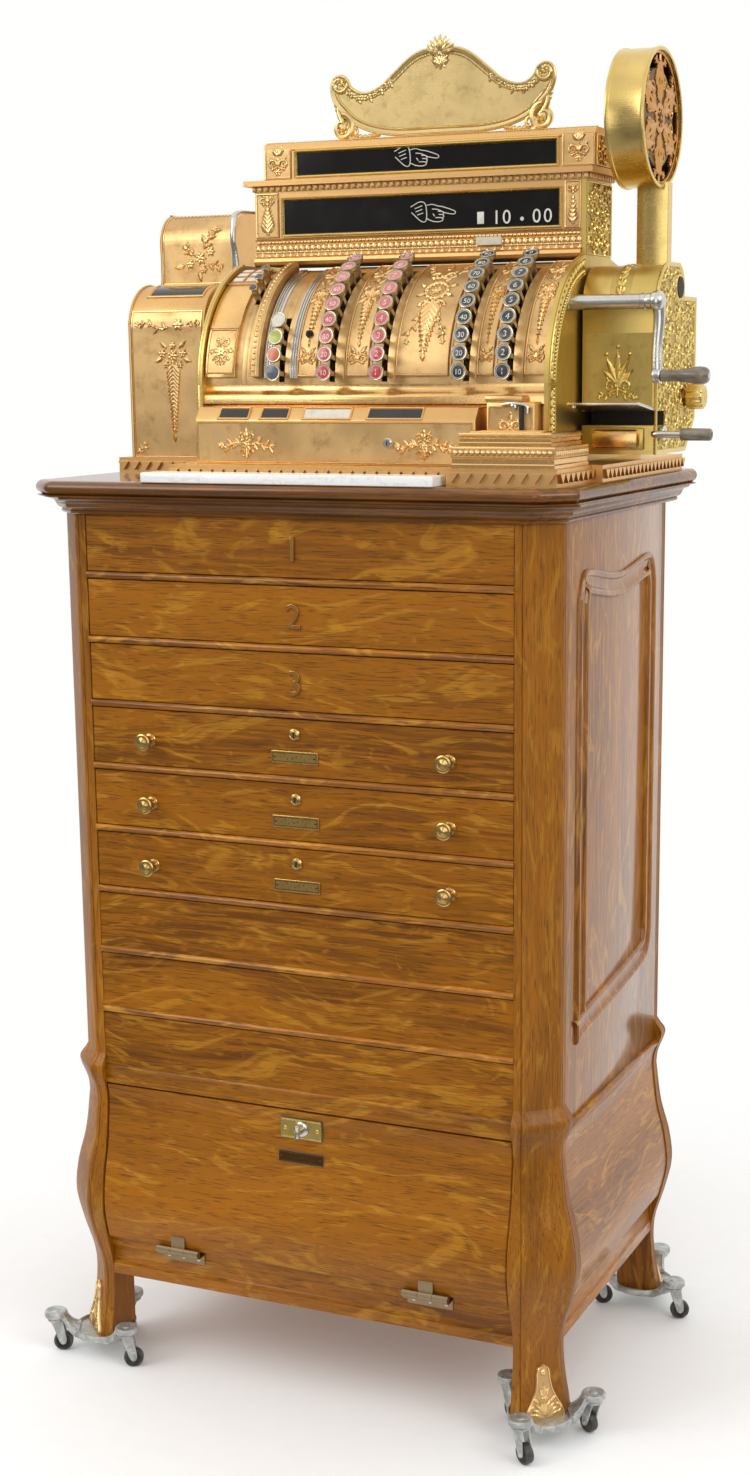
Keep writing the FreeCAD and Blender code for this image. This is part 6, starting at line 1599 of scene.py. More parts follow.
def top_sign(m):
    """Crested sign: a bare satin plate within a raised rim, flower strings, volutes, a palmette and scroll feet."""
    form = Form()
    outline = sign_outline()
    cell = 0.8
    x, y = np.meshgrid(np.arange(-60, 217, cell), np.arange(1447, 1546, cell), indexing="ij")
    rim = rim_distance(outline, x, y)
    level = highest(ridge(rim - 6.0, 0.9, 1.1), 2.4 * np.exp(-((rim / 2.8) ** 2)),
        fan(x, y, (SIGN_X, 1522.0), 90, 130, 7, 17.0, 6.0, 2.0),
        fan(x, y, (SIGN_X, 1530.0), -90, 100, 5, 14.0, 5.0, 1.8))
    for hand in HANDS:
        string = smooth([(SIGN_X + hand * a, b)
            for a, b in ((62, 1508), (74, 1501), (88, 1494), (102, 1493), (114, 1500))], 9)
        level = highest(level, *[rosette(x, y, place, 4.0 + 1.6 * k / 8, 6, 2.6) for k, place in enumerate(string)],
            *[leaf(x, y, place, 270 - hand * 20, 9.0, 4.5, 1.8) for place in string[::2]],
            stroke(x, y, curl((SIGN_X + hand * 125.0, 1508.0), 10.5, 1.35, 90, hand), 3.0, 1.6, 3.6))
    cutout(form, lambda a, b, h: (a, 30.6 - h, b), x, y, level, inside(outline, x, y), 2.6, 1.6)
    rim_roll(form, np.insert(outline, 1, 31.6, 1), (0, 1, 0), 2.1, 10)
    t = np.linspace(0, 1, 9)
    for share in np.linspace(-1, 1, 9):
        turn = radians(90 + share * 74)
        reach = (20.5 - 5.0 * abs(share)) * t
        path = np.stack([SIGN_X + (3 * t + reach) * cos(turn), 31.4 - 2.6 * np.sin(t * pi), 1534.0 + reach
            * sin(turn)], 1)
        tube(form, path, 0.6 + 2.1 * np.sin(np.clip(t * 0.9 + 0.08, 0, 1) * pi) ** 0.8, 10)
    turned(form, [(0, 5.0), (2.2, 5.0), (4.0, 3.6), (4.8, 1.0)], (SIGN_X, 33.0, 1534.0), FORWARD, 24)
    volutes = ((13.0, 3.9, 1.3, 90, 0.0, 0.0), (8.0, 2.7, 1.1, -60, 15.0, 6.0))
    for hand in HANDS:
        eye = np.array([SIGN_X + hand * 122.4, 1460.0])
        for size, radius, turns, start, aside, under in volutes:
            line = curl((0, 0), size, turns, start, hand, 40) + eye + [-hand * aside, -under]
            tube(form, np.insert(line, 1, 31.0, 1), np.linspace(radius, radius * 0.55, 40), 10)
        turned(form, [(0, 11.4), (1.6, 11.2), (2.4, 8.6), (3.8, 5.2), (5.8, 4.2), (7.0, 1.4)], (eye[0], 34.8, eye[1]),
            FORWARD, 32)
        for way, size, line in ((-hand, 3.4, ((12, 1453), (22, 1449), (34, 1449), (44, 1451))),
                (hand, 3.2, ((2, 1472), (7, 1480), (9, 1490), (10, 1498)))):
            bead = [(0, size), (1.8, size - 0.2), (3.0, size - 1.6), (3.4, 0.5)]
            for a, b in smooth([(eye[0] + way * a, b) for a, b in line], 7):
                turned(form, bead, (a, 33.4, b), FORWARD, 14)
        for a, b in circle(7, np.array([6.2, 0.0]), np.array([0.0, 6.2])) + eye:
            turned(form, [(0, 2.4), (1.6, 2.3), (2.6, 1.2)], (a, 32.6, b), FORWARD, 12)
        block(form, (eye[0] - 5.0, 30.6, 1443.0), (eye[0] + 5.0, 34.6, 1453.0), 0.8)
        stem = smooth([(eye[0] + hand * a, 32.5, b) for a, b in ((0, 1466), (5, 1476), (6, 1490))], 14)
        tube(form, stem, np.linspace(4.2, 2.4, 14), 12)
    form.relief[1:] = [np.ones(len(part)) for part in form.relief[1:]]
    return build("top_sign_brass", form, m["sign_gold"], "case", ["top_sign"])


def arc_through(a, b, c, count=16):
    """Points of the circle through three flat points, from the first to the last."""
    a, b, c = (np.asarray(p, float) for p in (a, b, c))
    d = 2 * (a[0] * (b[1] - c[1]) + b[0] * (c[1] - a[1]) + c[0] * (a[1] - b[1]))
    squares = [p @ p for p in (a, b, c)]
    middle = np.array([(squares[0] * (b[1] - c[1]) + squares[1] * (c[1] - a[1]) + squares[2] * (a[1] - b[1])) / d,
        (squares[0] * (c[0] - b[0]) + squares[1] * (a[0] - c[0]) + squares[2] * (b[0] - a[0])) / d])
    angles = np.unwrap([atan2(*(p - middle)[::-1]) for p in (a, b, c)])
    turn = np.linspace(angles[0], angles[2], count)
    return middle + np.linalg.norm(a - middle) * np.stack([np.cos(turn), np.sin(turn)], 1)


def recorder_profile(proud=0.0):
    """Front and top of the recorder from its foot to its back, as points of depth and height."""
    front, upper, turn = -36.0 - proud, 45.0 - proud, 34.0
    low = arc_through((front, 1232.0), (-19.8 - proud, 1273.8), (27.0 - proud, 1286.0))
    high = arc_through((upper, 1338.0), (upper + turn * 0.2929, 1372.0 - turn * 0.2929), (upper + turn, 1372.0), 14)
    return np.vstack([[(front, BASE_Z)], low, [(upper, 1290.0)], high])


def recorder(m):
    """Recorder at the left: bowed case in rims, chased front and crown, a dark window on its shoulder and the channel
    that joins it to the register."""
    form = Form()
    x0, x1, back = -300.0, -196.0, 185.0
    profile = recorder_profile(-1.2)
    plate(form, np.vstack([profile, [(back, 1370.8), (back, BASE_Z)]]), x0, x1, 0, 1.2, 1)
    block(form, (x1, 70.0, BASE_Z), (BODY_LEFT, back, 1262.0), 1.2, 1)
    line = smooth(np.vstack([recorder_profile(-1.6), [(back - 2.0, 1370.4)]]), 90)
    for x in (x0 + 2.0, x1 - 2.0):
        tube(form, np.insert(line, 0, x, 1), 1.9, 8, 1)
    place, run = along_profile(profile[:17], x0 + 4.0)
    width = x1 - x0 - 8.0
    mid = 56.0
    relief(form, place, width, 172.0, lambda x, y: highest(border(x, y, (1, 1), (width - 1, 171), 0.8, 0.9),
        feather(x, y, (mid, 112.0), 92.0, 23.0, 2.2, -90.0, 17), rosette(x, y, (mid, 119.0), 7.5, 7, 2.6),
        rosette(x, y, (mid, 131.0), 5.0, 6, 2.2), *[highest(rosette(x, y, (mid + hand * 14, 122.0), 5.6, 6, 2.3),
        rosette(x, y, (mid + hand * 9, 109.0), 5.0, 6, 2.2),
        leaf(x, y, (mid + hand * 8, 128), 90 - hand * 50, 13, 6, 2.0),
        leaf(x, y, (mid + hand * 14, 116), 90 - hand * 110, 12, 6, 2.0)) for hand in HANDS],
        rosette(x, y, (mid + 8, 155.0), 7.2, 6, 2.4), branch(x, y, (mid - 6, 152.0), (8, 156.0), 2.5, 9.0, 2.0, 4),
        branch(x, y, (mid + 20, 155.0), (width - 5, 156.0), 1.5, 7.0, 2.0, 2),
        branch(x, y, (4, 5.0), (15, 16.0), 1.0, 7.0, 1.8, 3)), cell=0.7, sink=0.8)
    place_up, run_up = along_profile(profile[17:], x0 + 4.0)
    relief(form, place_up, width, min(run_up, 96.0),
        lambda x, y: highest(border(x, y, (1, 1), (width - 1, 95), 0.8, 0.9),
        rosette(x, y, (52.0, 30.0), 8.0, 7, 2.5), rosette(x, y, (66.0, 38.0), 6.0, 6, 2.2),
        rosette(x, y, (38.0, 24.0), 6.0, 6, 2.2), rosette(x, y, (56.0, 17.0), 5.0, 6, 2.2),
        branch(x, y, (44.0, 34.0), (30.0, 44.0), 1.5, 9.0, 2.0, 3),
        branch(x, y, (58.0, 42.0), (70.0, 66.0), 2.5, 11.0, 2.1, 5),
        branch(x, y, (62.0, 22.0), (80.0, 20.0), 1.0, 8.0, 1.9, 3), leaf(x, y, (50, 15), -80, 13, 6, 2.0),
        leaf(x, y, (30, 22), 190, 14, 7, 2.0), beads(x, y, (4, 90), (width - 4, 90), 5.2, 1.9, 1.6)), cell=0.7,
        sink=0.8)
    over = along_profile(profile[:17], x0 + 18.0)[0]
    relief(form, lambda x, y, h: over(x, y + 190.0, h), 78.0, 36.0,
        lambda x, y: border(x, y, (2.0, 2.0), (76.0, 34.0), 1.9, 1.7), finish=1, sink=0.8, full=1.4)
    relief(form, lambda x, y, h: over(x + 4.6, y + 194.6, h), 68.8, 26.8, bare, cell=3.0, finish=2, sink=0.2,
        full=1.0, base=0.4)
    build("recorder_brass", form, [m["copper"], m["copper_satin"], m["glass"]], "case",
        ["recorder_cabinet"])
    arm = Form()
    path = smooth([(-158.0, -24.6, 1306.0), (-158.0, -27.0, 1322.0), (-158.0, -31.0, 1336.0), (-158.0, -30.0, 1350.0),
        (-158.0, -24.0, 1364.0), (-157.0, -10.0, 1368.0), (-150.0, 6.0, 1368.0), (-132.0, 12.0, 1368.0)], 44)
    tube(arm, path, np.interp(np.linspace(0, 1, 44), [0, 0.3, 0.6, 1.0], [4.5, 3.2, 4.4, 3.2]), 14, 0, 0.55)
    turned(arm, [(0, 6.0), (2.4, 6.0), (3.0, 5.2)], (-158.0, -24.6, 1300.0), UPWARD, 22)
    block(arm, (-162.0, -28.6, 1296.0), (-146.0, -20.6, 1301.0), 0.8)
    return build("side_arm_steel", arm, m["steel"], "case")


def till_band(m):
    """Stepped band over the change slab: four framed windows on its slope, sprays beside the bare middle, the lock
    and the latch block."""
    form = Form()
    x0, x1, front = -139.0, 198.0, -165.0
    width = x1 - x0
    slope = [(front, 1134.0), (-155.0, 1148.0)]
    profile = [(front, BASE_Z), *slope, (-129.0, 1148.0), (-129.0, BASE_Z)]
    plate(form, soften(anticlockwise(profile), 1.2, 3), x0, x1, 0, 1.0, 1)
    relief(form, facing(x0 + 2, front, 1087.5, "front"), width - 4, 45.0,
        lambda x, y: highest(border(x, y, (1, 1), (width - 5, 44.0), 0.8, 1.0),
        *[highest(rosette(x, y, (c, 20.0), 6.4, 7, 2.2), scroll_pair(x, y, (c, 27.0), 6.5, 1.8),
        scroll_pair(x, y, (c, 13.0), 5.5, 1.8, -1),
        *[branch(x, y, (c + hand * 7, 20.0), (c + hand * 32, 19.0), hand * 2.2, 9.0, 1.9, 5) for hand in HANDS],
        leaf(x, y, (c, 24), 90, 15, 7, 1.9), leaf(x, y, (c, 16), -90, 12, 6, 1.9)) for c in (62.0, 276.0)],
        rosette(x, y, (246.0, 21.0), 3.2, 6, 1.4)), cell=0.7, sink=0.6)
    for start, end, pane in ((0.08, 0.20, 2), (0.235, 0.345, 2), (0.39, 0.57, 3), (0.62, 0.82, 2)):
        place, run = along_profile(slope, x0 + start * width)
        w = (end - start) * width
        relief(form, place, w, run, lambda x, y: border(x, y, (1.3, 1.6), (w - 1.3, run - 1.6), 1.3, 1.6, 0.8),
            cell=0.55, finish=1, sink=0.8, full=1.4)
        relief(form, lambda x, y, h: place(x + 2.8, y + 3.0, h), w - 5.6, run - 6.0, bare, cell=3.0, finish=pane,
            sink=0.2, full=1.0, base=0.35)
    at = x0 + width * 0.7
    turned(form, [(0, 5.6), (1.2, 5.6), (1.7, 4.9), (3.2, 4.9), (3.7, 4.4), (3.8, 1.5)], (at, front, 1110.0), FORWARD,
        28, 4)
    block(form, (at - 0.6, -169.2, 1107.4), (at + 0.6, -168.6, 1112.6), 0.2, 5)
    block(form, (208.0, -158.0, BASE_Z), (262.0, -136.0, 1153.4), 1.4, 1)
    block(form, (206.2, -159.6, 1152.8), (248.5, -134.4, 1160.0), 2.2, 1)
    relief(form, facing(210.0, -158.0, 1089.0, "front"), 50.0, 60.0,
        lambda x, y: highest(border(x, y, (1, 1), (49, 59), 0.8, 1.0), rosette(x, y, (25, 27), 6.0, 6, 1.8),
        *[scroll_pair(x, y, (25, 27 + up * 10), 9.0, 1.7, up) for up in HANDS], leaf(x, y, (25, 44), 90, 12, 7, 1.6),
        leaf(x, y, (25, 14), -90, 10, 6, 1.6)), cell=0.65, full=1.5)
    turned(form, [(0, 4.2), (3.0, 4.2), (4.6, 3.0), (5.0, 1.4)], (240.0, -158.0, 1149.0), FORWARD, 22, 4)
    block(form, (246.0, -162.4, 1118.0), (250.4, -157.8, 1152.0), 0.9, 5)
    latch = [(226.0, -160.4, 1151.0), (240.0, -161.4, 1152.0), (254.0, -161.6, 1149.5), (255.4, -161.4, 1142.0)]
    tube(form, smooth(latch, 20), 1.7, 10, 4)
    finishes = [m[key] for key in ("copper", "copper_satin", "glass", "white", "steel", "shadow")]
    return build("till_band_brass", form, finishes, "case", ["till_band"])


def ticket_box(m):
    """Stepped box at the front right: mouldings round each step and a pale label window on the lid."""
    form = Form()
    fence = -138.4
    lowest = [(0.0, 1086.0), (0.0, 1090.0), (0.9, 1091.2), (0.9, 1096.0), (0.0, 1097.4), (0.0, 1106.8), (0.6, 1108.4),
        (2.0, 1109.0), (4.6, 1109.0)]
    lid = [(6.0, 1108.6), (6.0, 1112.4), (6.8, 1113.4), (6.8, 1116.6), (6.0, 1117.8), (6.0, 1121.4), (6.6, 1122.6),
        (8.0, 1123.0), (12.0, 1123.0)]
    for steps in (lowest, lid):
        form.skin([[(x, y, z) for x, y in ((187.0 + drawn, -206.0 + drawn), (302.0 - drawn, -206.0 + drawn),
            (302.0 - drawn, -100.0 - drawn), (270.3 + drawn, -100.0 - drawn), (270.3 + drawn, fence - drawn),
            (262.3, fence - drawn), (262.3, -158.3), (198.3, -158.3), (198.3, -165.3), (187.0 + drawn, -165.3))]
            for drawn, z in steps], finish=1)
    for place, run in ((facing(188.0, -206.0, 1098.0, "front"), 113.0),
            (facing(302.0, -205.0, 1098.0, "right"), 104.0)):
        relief(form, place, run, 8.6, lambda x, y: beads(x, y, (1, 4.3), (run - 1, 4.3), 6.2, 2.6, 1.5), sink=0.4,
            full=1.3)
    relief(form, facing(203.0, -196.0, 1123.0, "up"), 82.0, 30.0,
        lambda x, y: border(x, y, (1.6, 1.6), (80.4, 28.4), 1.5, 1.4, 1.0), finish=1, sink=0.4, full=1.2)
    relief(form, facing(206.4, -192.6, 1123.0, "up"), 75.2, 23.2, bare, cell=4.0, finish=2, sink=0.3, full=1.0,
        base=0.4)
    return build("ticket_box_brass", form, [m["copper"], m["copper_plain"], m["white"]], "case",
        ["ticket_box"])


def crank_parts(m):
    """Bright bearing tube, the crank with its round head, bent arm and eye, and the pear-shaped grip."""
    y, z = -72.0, 1256.0
    form = Form()
    turned(form, [(0, 8.5), (3, 8.5), (3.6, 9.0), (6.0, 9.0), (6.6, 8.2), (84.4, 8.0), (85.0, 8.5), (89.4, 8.5),
        (90.0, 7.8)], (265.0, y, z), RIGHTWARD, 40)
    build("crank_tube_steel", form, m["steel"], "case", ["crank_tube"])
    arm = Form()
    turned(arm, [(0, 8.2), (1.2, 8.5), (6.0, 8.6), (7.6, 10.2), (11.4, 11.0), (15.6, 10.2), (18.6, 7.6), (20.4, 3.4),
        (20.8, 0.6)], (355.4, y, z), RIGHTWARD, 40)
    stations = np.linspace(0, 1, 40)
    x = 368.0 + 1.6 * np.sin(stations * pi * 2) * (1 - stations)
    lean = 2.2 * np.sin(stations * pi * 1.6)
    path = np.stack([x, y + lean * 0.4, z - 77.0 * stations], 1)
    tube(arm, path, np.interp(stations, [0, 0.2, 0.6, 0.9, 1.0], [7.6, 6.4, 5.6, 6.2, 6.6]), 18, 0, 0.66)
    turned(arm, [(0, 6.4), (1.0, 7.8), (4.0, 8.2), (8.0, 8.1), (9.0, 7.2)], (363.3, y, z - 77.0), RIGHTWARD, 32)
    turned(arm, [(0, 3.0), (60.0, 3.0)], (363.5, y, z - 77.0), RIGHTWARD, 20)
    turned(arm, [(0, 5.0), (1.4, 4.6), (1.9, 2.0)], (423.0, y, z - 77.0), RIGHTWARD, 20)
    build("crank_steel", arm, m["steel"], "crank", ["crank"])
    grip = Form()
    profile = smooth([(0.0, 5.6), (1.4, 6.6), (4.0, 6.4), (12.0, 6.2), (24.0, 7.0), (34.0, 8.6), (42.0, 9.4),
        (48.0, 8.6), (51.2, 6.4), (52.0, 3.4)], 46)
    turned(grip, profile, (372.7, y, z - 77.0), RIGHTWARD, 40)
    return build("crank_grip_horn", grip, m["horn"], "crank_grip", ["crank_grip"])


def printer_profile(drawn=0.0):
    """Side outline of the printer, from its front foot over the top to its back, as depth and height."""
    front, top, back = -46.0 + drawn, 1299.0 - drawn, 100.0 - drawn
    turn = 45.0 - drawn
    crown = 52.0 - 17.5 - drawn
    over = arc_through((front, top - turn), (front + turn * 0.2929, top - turn * 0.2929), (front + turn, top), 16)
    fall = arc_through((crown, top), (52.0 - 4.2 - drawn, top - 10.5), (52.0 - drawn, 1264.0), 10)
    return np.vstack([[(front, 1095.0)], over, fall, [(back, 1264.0 - drawn), (back, 1130.0), (65.0 - drawn, 1095.0)]])


def printer(m):
    """Printer: satin case with a tulip on its front and leaves over its top, the dark slip slot, the platen and the
    outer plate of dense scrollwork with its eye."""
    form = Form()
    slot_low, slot_high, depth = 1126.0, 1141.0, -12.0
    whole = printer_profile(3.0)
    upper = np.vstack([[(depth, slot_high), (-43.0, slot_high)], whole[1:-2], [(97.0, slot_high)]])
    lower = [(-43.0, 1095.0), (-43.0, slot_low), (94.0, slot_low), (62.0, 1095.0)]
    plate(form, upper, 274.0, 358.0, 0, 1.4, 1)
    plate(form, lower, 274.0, 358.0, 0, 1.2, 1)
    plate(form, [(depth, slot_low), (97.0, slot_low), (97.0, slot_high), (depth, slot_high)], 274.6, 357.4, 0, 0.2, 2)
    block(form, (270.0, 46.0, 1099.0), (274.4, 86.0, 1260.0), 0.3, 1)
    block(form, (290.0, -57.0, 1102.0), (342.0, -43.0, 1122.0), 4.4, 3)
    block(form, (286.0, -48.6, 1100.4), (346.0, -43.0, 1123.6), 1.0, 1)
    relief(form, facing(278.0, -43.0, 1146.0, "front"), 76.0, 78.0,
        lambda x, y: highest(*[leaf(x, y, (37.0, 24.0), 90 + spread, reach, 8.0, 2.2)
        for spread, reach in ((0, 38), (-24, 33), (24, 33), (-48, 24), (48, 24))],
        ridge(np.hypot(x - 37.0, y - 64.0), 2.2, 2.0), scroll_pair(x, y, (37.0, 19.0), 10.0, 1.9),
        *[highest(ridge(np.hypot(x - 37.0 - hand * 13.0, y - 56.0), 2.0, 1.9),
        branch(x, y, (37 + hand * 5, 14), (37 + hand * 21, 10), -hand * 1.4, 7, 1.6, 3)) for hand in HANDS],
        stroke(x, y, [(37, 12), (37, 26)], 1.6, 1.2, 1.8)), cell=0.65, sink=0.6, base=0.02)
    place, run = along_profile(whole[1:18], 304.0)
    relief(form, place, 24.0, run, lambda x, y: highest(*[leaf(x, y, (12, k * 9.5), 90 + hand * 26, 11, 6, 1.8)
        for k in range(1, int(run / 9.5) - 1) for hand in HANDS],
        stroke(x, y, [(12, 4), (12, run - 4)], 1.0, 0.8, 1.5)), cell=0.65, sink=0.6, base=0.02)
    build("printer_case_brass", form, [m["gold"], m["gold_satin"], m["shadow"], m["copper_plain"]], "case",
        ["printer_case"])

    side = Form()
    outline = anticlockwise(printer_profile())
    cell = 0.85
    x, y = np.meshgrid(np.arange(-47.0, 101.5, cell), np.arange(1094.0, 1300.5, cell), indexing="ij")
    eye, rim = np.hypot(x - 34.0, y - 1273.0), rim_distance(outline, x, y)
    keep = inside(outline, x, y) & (eye > 11.0) & ~((x < depth) & (y > slot_low) & (y < slot_high))
    field = filigree(x, y, (-42.0, 1099.0), (96.0, 1296.0), 10.5, 1.9, 12) * (rim > 5.4) * (eye > 15.0)
    level = highest(field, 1.9 * np.clip(1.25 - np.abs(rim - 2.2) / 2.4, 0, 1) ** 0.6, ridge(eye - 12.8, 2.0, 2.0))
    cutout(side, lambda a, b, h: (358.6 + h, a, b), x, y, level, keep, 2.0, 1.5)
    rim_roll(side, np.insert(outline, 0, 358.8, 1), RIGHTWARD, 1.6, 8, 1.6)
    turned(side, [(0, 11.4), (3.4, 11.4)], (357.9, 34.0, 1273.0), RIGHTWARD, 40, 1)
    return build("printer_side_brass", side, [m["gold"], m["shadow"]], "case")


def ink_knob(m):
    """Knob with rounded flutes: its radius is a cosine of the angle, and each end is dished."""
    form = Form()
    angle = np.arange(96) * 2 * pi / 96
    wave = 1 - 0.055 * (1 - np.cos(angle * 12)) / 2 * 1.6
    rings = []
    for along, size in ((-12.2, 0.28), (0.0, 0.28), (0.05, 0.80), (0.8, 0.93), (2.2, 1.0), (17.4, 1.0), (19.0, 0.94),
            (19.9, 0.84), (20.0, 0.74), (19.2, 0.60), (18.6, 0.34), (19.2, 0.22), (19.4, 0.06)):
        reach = 14.0 * size * (1 + (wave - 1) * min(1.0, max(0.0, (size - 0.7) * 6)))
        rings.append(np.stack([np.full(96, 362.3 + along), 62.0 + reach * np.cos(angle), 1155.0 + reach
            * np.sin(angle)], 1))
    form.skin(rings)
    return build("ink_knob_brass", form, m["gold_plain"], "ink_knob", ["ink_knob"])


def slip_parts(m):
    """Slip table with rolled rims, and the lever with its cylinder grip."""
    table = Form()
    x0, x1 = 278.0, 358.0
    tilt = 8.0 / 61.0
    profile = [(-43.0, 1141.0), (-102.0, 1148.7), (-103.6, 1148.8), (-104.0, 1149.8), (-103.4, 1151.2),
        (-102.0, 1151.4), (-43.0, 1143.5)]
    plate(table, profile, x0, x1, 0, 0.5)
    for x in (x0 + 1.4, x1 - 1.4):
        tube(table, [(x, y, 1143.4 - (y + 43.0) * tilt) for y in np.linspace(-44.0, -102.0, 12)], 1.3, 10)
    turned(table, [(0, 2.6), (5.0, 2.6), (5.8, 1.6)], (284.0, -98.0, 1146.0), UPWARD, 18)
    build("slip_table_steel", table, m["steel"], "case", ["slip_table"])
    lever = Form()
    y, z = -34.0, 1118.0
    turned(lever, [(0, 3.6), (4.6, 3.6)], (358.2, y, z), RIGHTWARD, 24)
    turned(lever, [(0, 8.0), (3.2, 8.0), (4.0, 7.2), (4.0, 4.2), (4.6, 3.6), (5.0, 1.6)], (362.3, y, z), RIGHTWARD, 32)
    path = smooth([(364.3, y, z), (364.3, -50.0, z - 0.4), (364.4, -66.0, z + 0.2), (366.6, -74.4, z),
        (374.0, -76.0, z), (398.0, -76.0, z)], 50)
    tube(lever, path, np.interp(np.linspace(0, 1, 50), [0, 0.4, 0.6, 1], [3.9, 3.2, 3.6, 3.8]), 16)
    turned(lever, [(0, 4.6), (0.6, 6.2), (2.0, 6.5), (31.0, 6.5), (32.8, 6.2), (33.8, 5.0), (34.0, 3.2), (33.2, 2.6),
        (33.0, 0.6)], (396.0, -76.0, z), RIGHTWARD, 36, 1)
    return build("slip_lever_steel", lever, [m["steel"], m["horn"]], "slip_lever", ["slip_lever"])


def reel_housing(m):
    """Round reel housing: a smooth wide wall with lips, and an open face filled by pierced foliage over an inside
    painted dark brown as shade."""
    form = Form()
    y0, z0 = 35.0, 1452.0
    sides, wall_rings = 96, 15
    turned(form, [(0, 69.0), (0, 72.4), (0.8, 73.6), (2.6, 74.0), (4.6, 73.6), (5.2, 72.8), (6.0, 72.6), (38.0, 72.6),
        (38.8, 72.8), (39.4, 73.6), (41.4, 74.0), (43.2, 73.6), (44.0, 72.4), (44.0, 70.6), (43.4, 69.8),
        (40.6, 69.8), (4.4, 69.8), (4.0, 69.0), (4.0, 6.0), (41.0, 6.0), (41.2, 5.0), (41.4, 0.8)], (294.0, y0, z0),
        RIGHTWARD, sides, 1)
    # The wall is the third face set from the end; past its lip it turns inward and takes the dark finish, painted
    # shade
    form.finishes[-3][wall_rings * sides:] = 2
    cell = 0.8
    x, y = np.meshgrid(np.arange(-71.0, 71.2, cell), np.arange(-71.0, 71.2, cell), indexing="ij")
    away = np.hypot(x, y)
    level = highest(ridge(away - 68.6, 2.4, 1.6), ridge(away - 13.0, 3.4, 2.4), rosette(x, y, (0, 0), 12.0, 8, 3.0))
    for index in range(12):
        way = 75 + index * 30
        ahead = np.array([cos(radians(way)), sin(radians(way))])
        level = highest(level, rosette(x, y, ahead * 61, 6.0, 6, 2.4), rosette(x, y, ahead * 27, 5.0, 6, 2.4),
            stroke(x, y, curl(ahead * 41, 7.5, 1.2, way + 180, 1 - index % 2 * 2), 1.9, 1.0, 2.4))
    for index in range(6):
        way = 90 + index * 60
        ahead = np.array([cos(radians(way)), sin(radians(way))])
        level = highest(level, stroke(x, y, [ahead * 12, ahead * 67], 3.0, 2.2, 2.4),
            rosette(x, y, ahead * 50, 8.5, 7, 2.8), *[leaf(x, y, ahead * root, way + turn, length, width, height)
            for root, turn, length, width, height in ((60, 206, 34, 15, 2.6), (60, 154, 34, 15, 2.6),
            (16, 22, 26, 13, 2.6), (16, -22, 26, 13, 2.6), (52, 62, 15, 8, 2.4), (52, -62, 15, 8, 2.4))])
    keep = (away < 70.4) & (level > 0.22)
    cutout(form, lambda a, b, h: (332.6 + h, y0 + a, z0 + b), x, y, level, keep, 1.6, 1.8)
    plate(form, [(44.0, 1262.0), (60.0, 1262.0), (60.0, 1386.0), (44.0, 1386.0)], 306.0, 342.0, 0, 1.2, 1)
    block(form, (303.5, 41.6, 1263.0), (344.5, 62.4, 1268.0), 1.6, 1)
    return build("reel_housing_brass", form, [m["copper_brown"], m["gold_plain"], m["inside"]], "case",
        ["reel_housing"])


def paper_reel(m):
    """Wound paper: the winding shows as fine steps on its cheeks, over a core."""
    form = Form()
    steps = [(0.25 * (index % 2), 9.0 + index * 1.95 + more) for index in range(22) for more in (0.0, 1.8)]
    low, wide = 298.3, 332.2 - 298.3
    profile = [(0.6, 6.2), (0.6, 8.6), *steps, (0.8, 52.0), (wide - 0.8, 52.0),
        *[(wide - a, r) for a, r in steps[::-1]], (wide - 0.6, 8.6), (wide - 0.6, 6.2)]
    form.skin(turned_rings(profile, (low, 35.0, 1452.0), RIGHTWARD, 72), closed=True)
    return build("paper_reel_paper", form, m["paper"], "paper_reel", ["paper_reel"])


def dollies(m):
    """Cast cups under the feet: each has a rolled rim and three swelling arms that rise to dimpled pads."""
    form = Form()
    stations = smooth([(31.0, 22.4, 30.6, 21.0), (38.0, 23.0, 32.0, 16.5), (45.0, 30.0, 38.4, 12.8),
        (50.0, 39.0, 46.8, 11.0), (55.0, 43.6, 50.8, 11.0), (60.0, 44.4, 51.4, 11.6)], 26)
    for cx, cy, phase in DOLLIES.values():
        middle = np.array([cx, cy, 0.0])
        turned(form, [(22.0, 30.0), (22.3, 35.4), (23.2, 37.6), (25.0, 38.6), (27.2, 38.9), (29.6, 38.6),
            (31.2, 37.4), (31.4, 36.2), (30.2, 35.2), (28.1, 34.8), (27.9, 20.0)], middle, UPWARD, 60)
        for turn in range(3):
            way = radians(phase + 120 * turn)
            out, side = np.array([cos(way), sin(way), 0]), np.array([-sin(way), cos(way), 0])
            rings = []
            for reach, low, high, half in stations:
                section = soften([(-half, low), (half, low), (half * 0.86, high), (-half * 0.86, high)], 2.6, 4)
                rings.append([middle + out * reach + side * a + np.array([0, 0, b]) for a, b in section])
            form.skin(rings)
            for hand in HANDS:
                tube(form, [middle + out * reach + side * hand * half * 0.74 + [0, 0, high + 0.3]
                    for reach, low, high, half in stations[3:-4]], 1.5, 8)
            turned(form, [(44.0, 5.0), (44.0, 12.4), (44.8, 13.6), (46.8, 14.0), (50.0, 13.8), (51.6, 12.8),
                (52.0, 11.2), (51.6, 9.4), (50.9, 6.0), (50.8, 4.2), (51.6, 3.4), (51.9, 1.0)], middle + out
                * CUP_REACH, UPWARD, 40)
    return build("dollies_casting", form, m["casting"], "case", ["dolly_castings"])


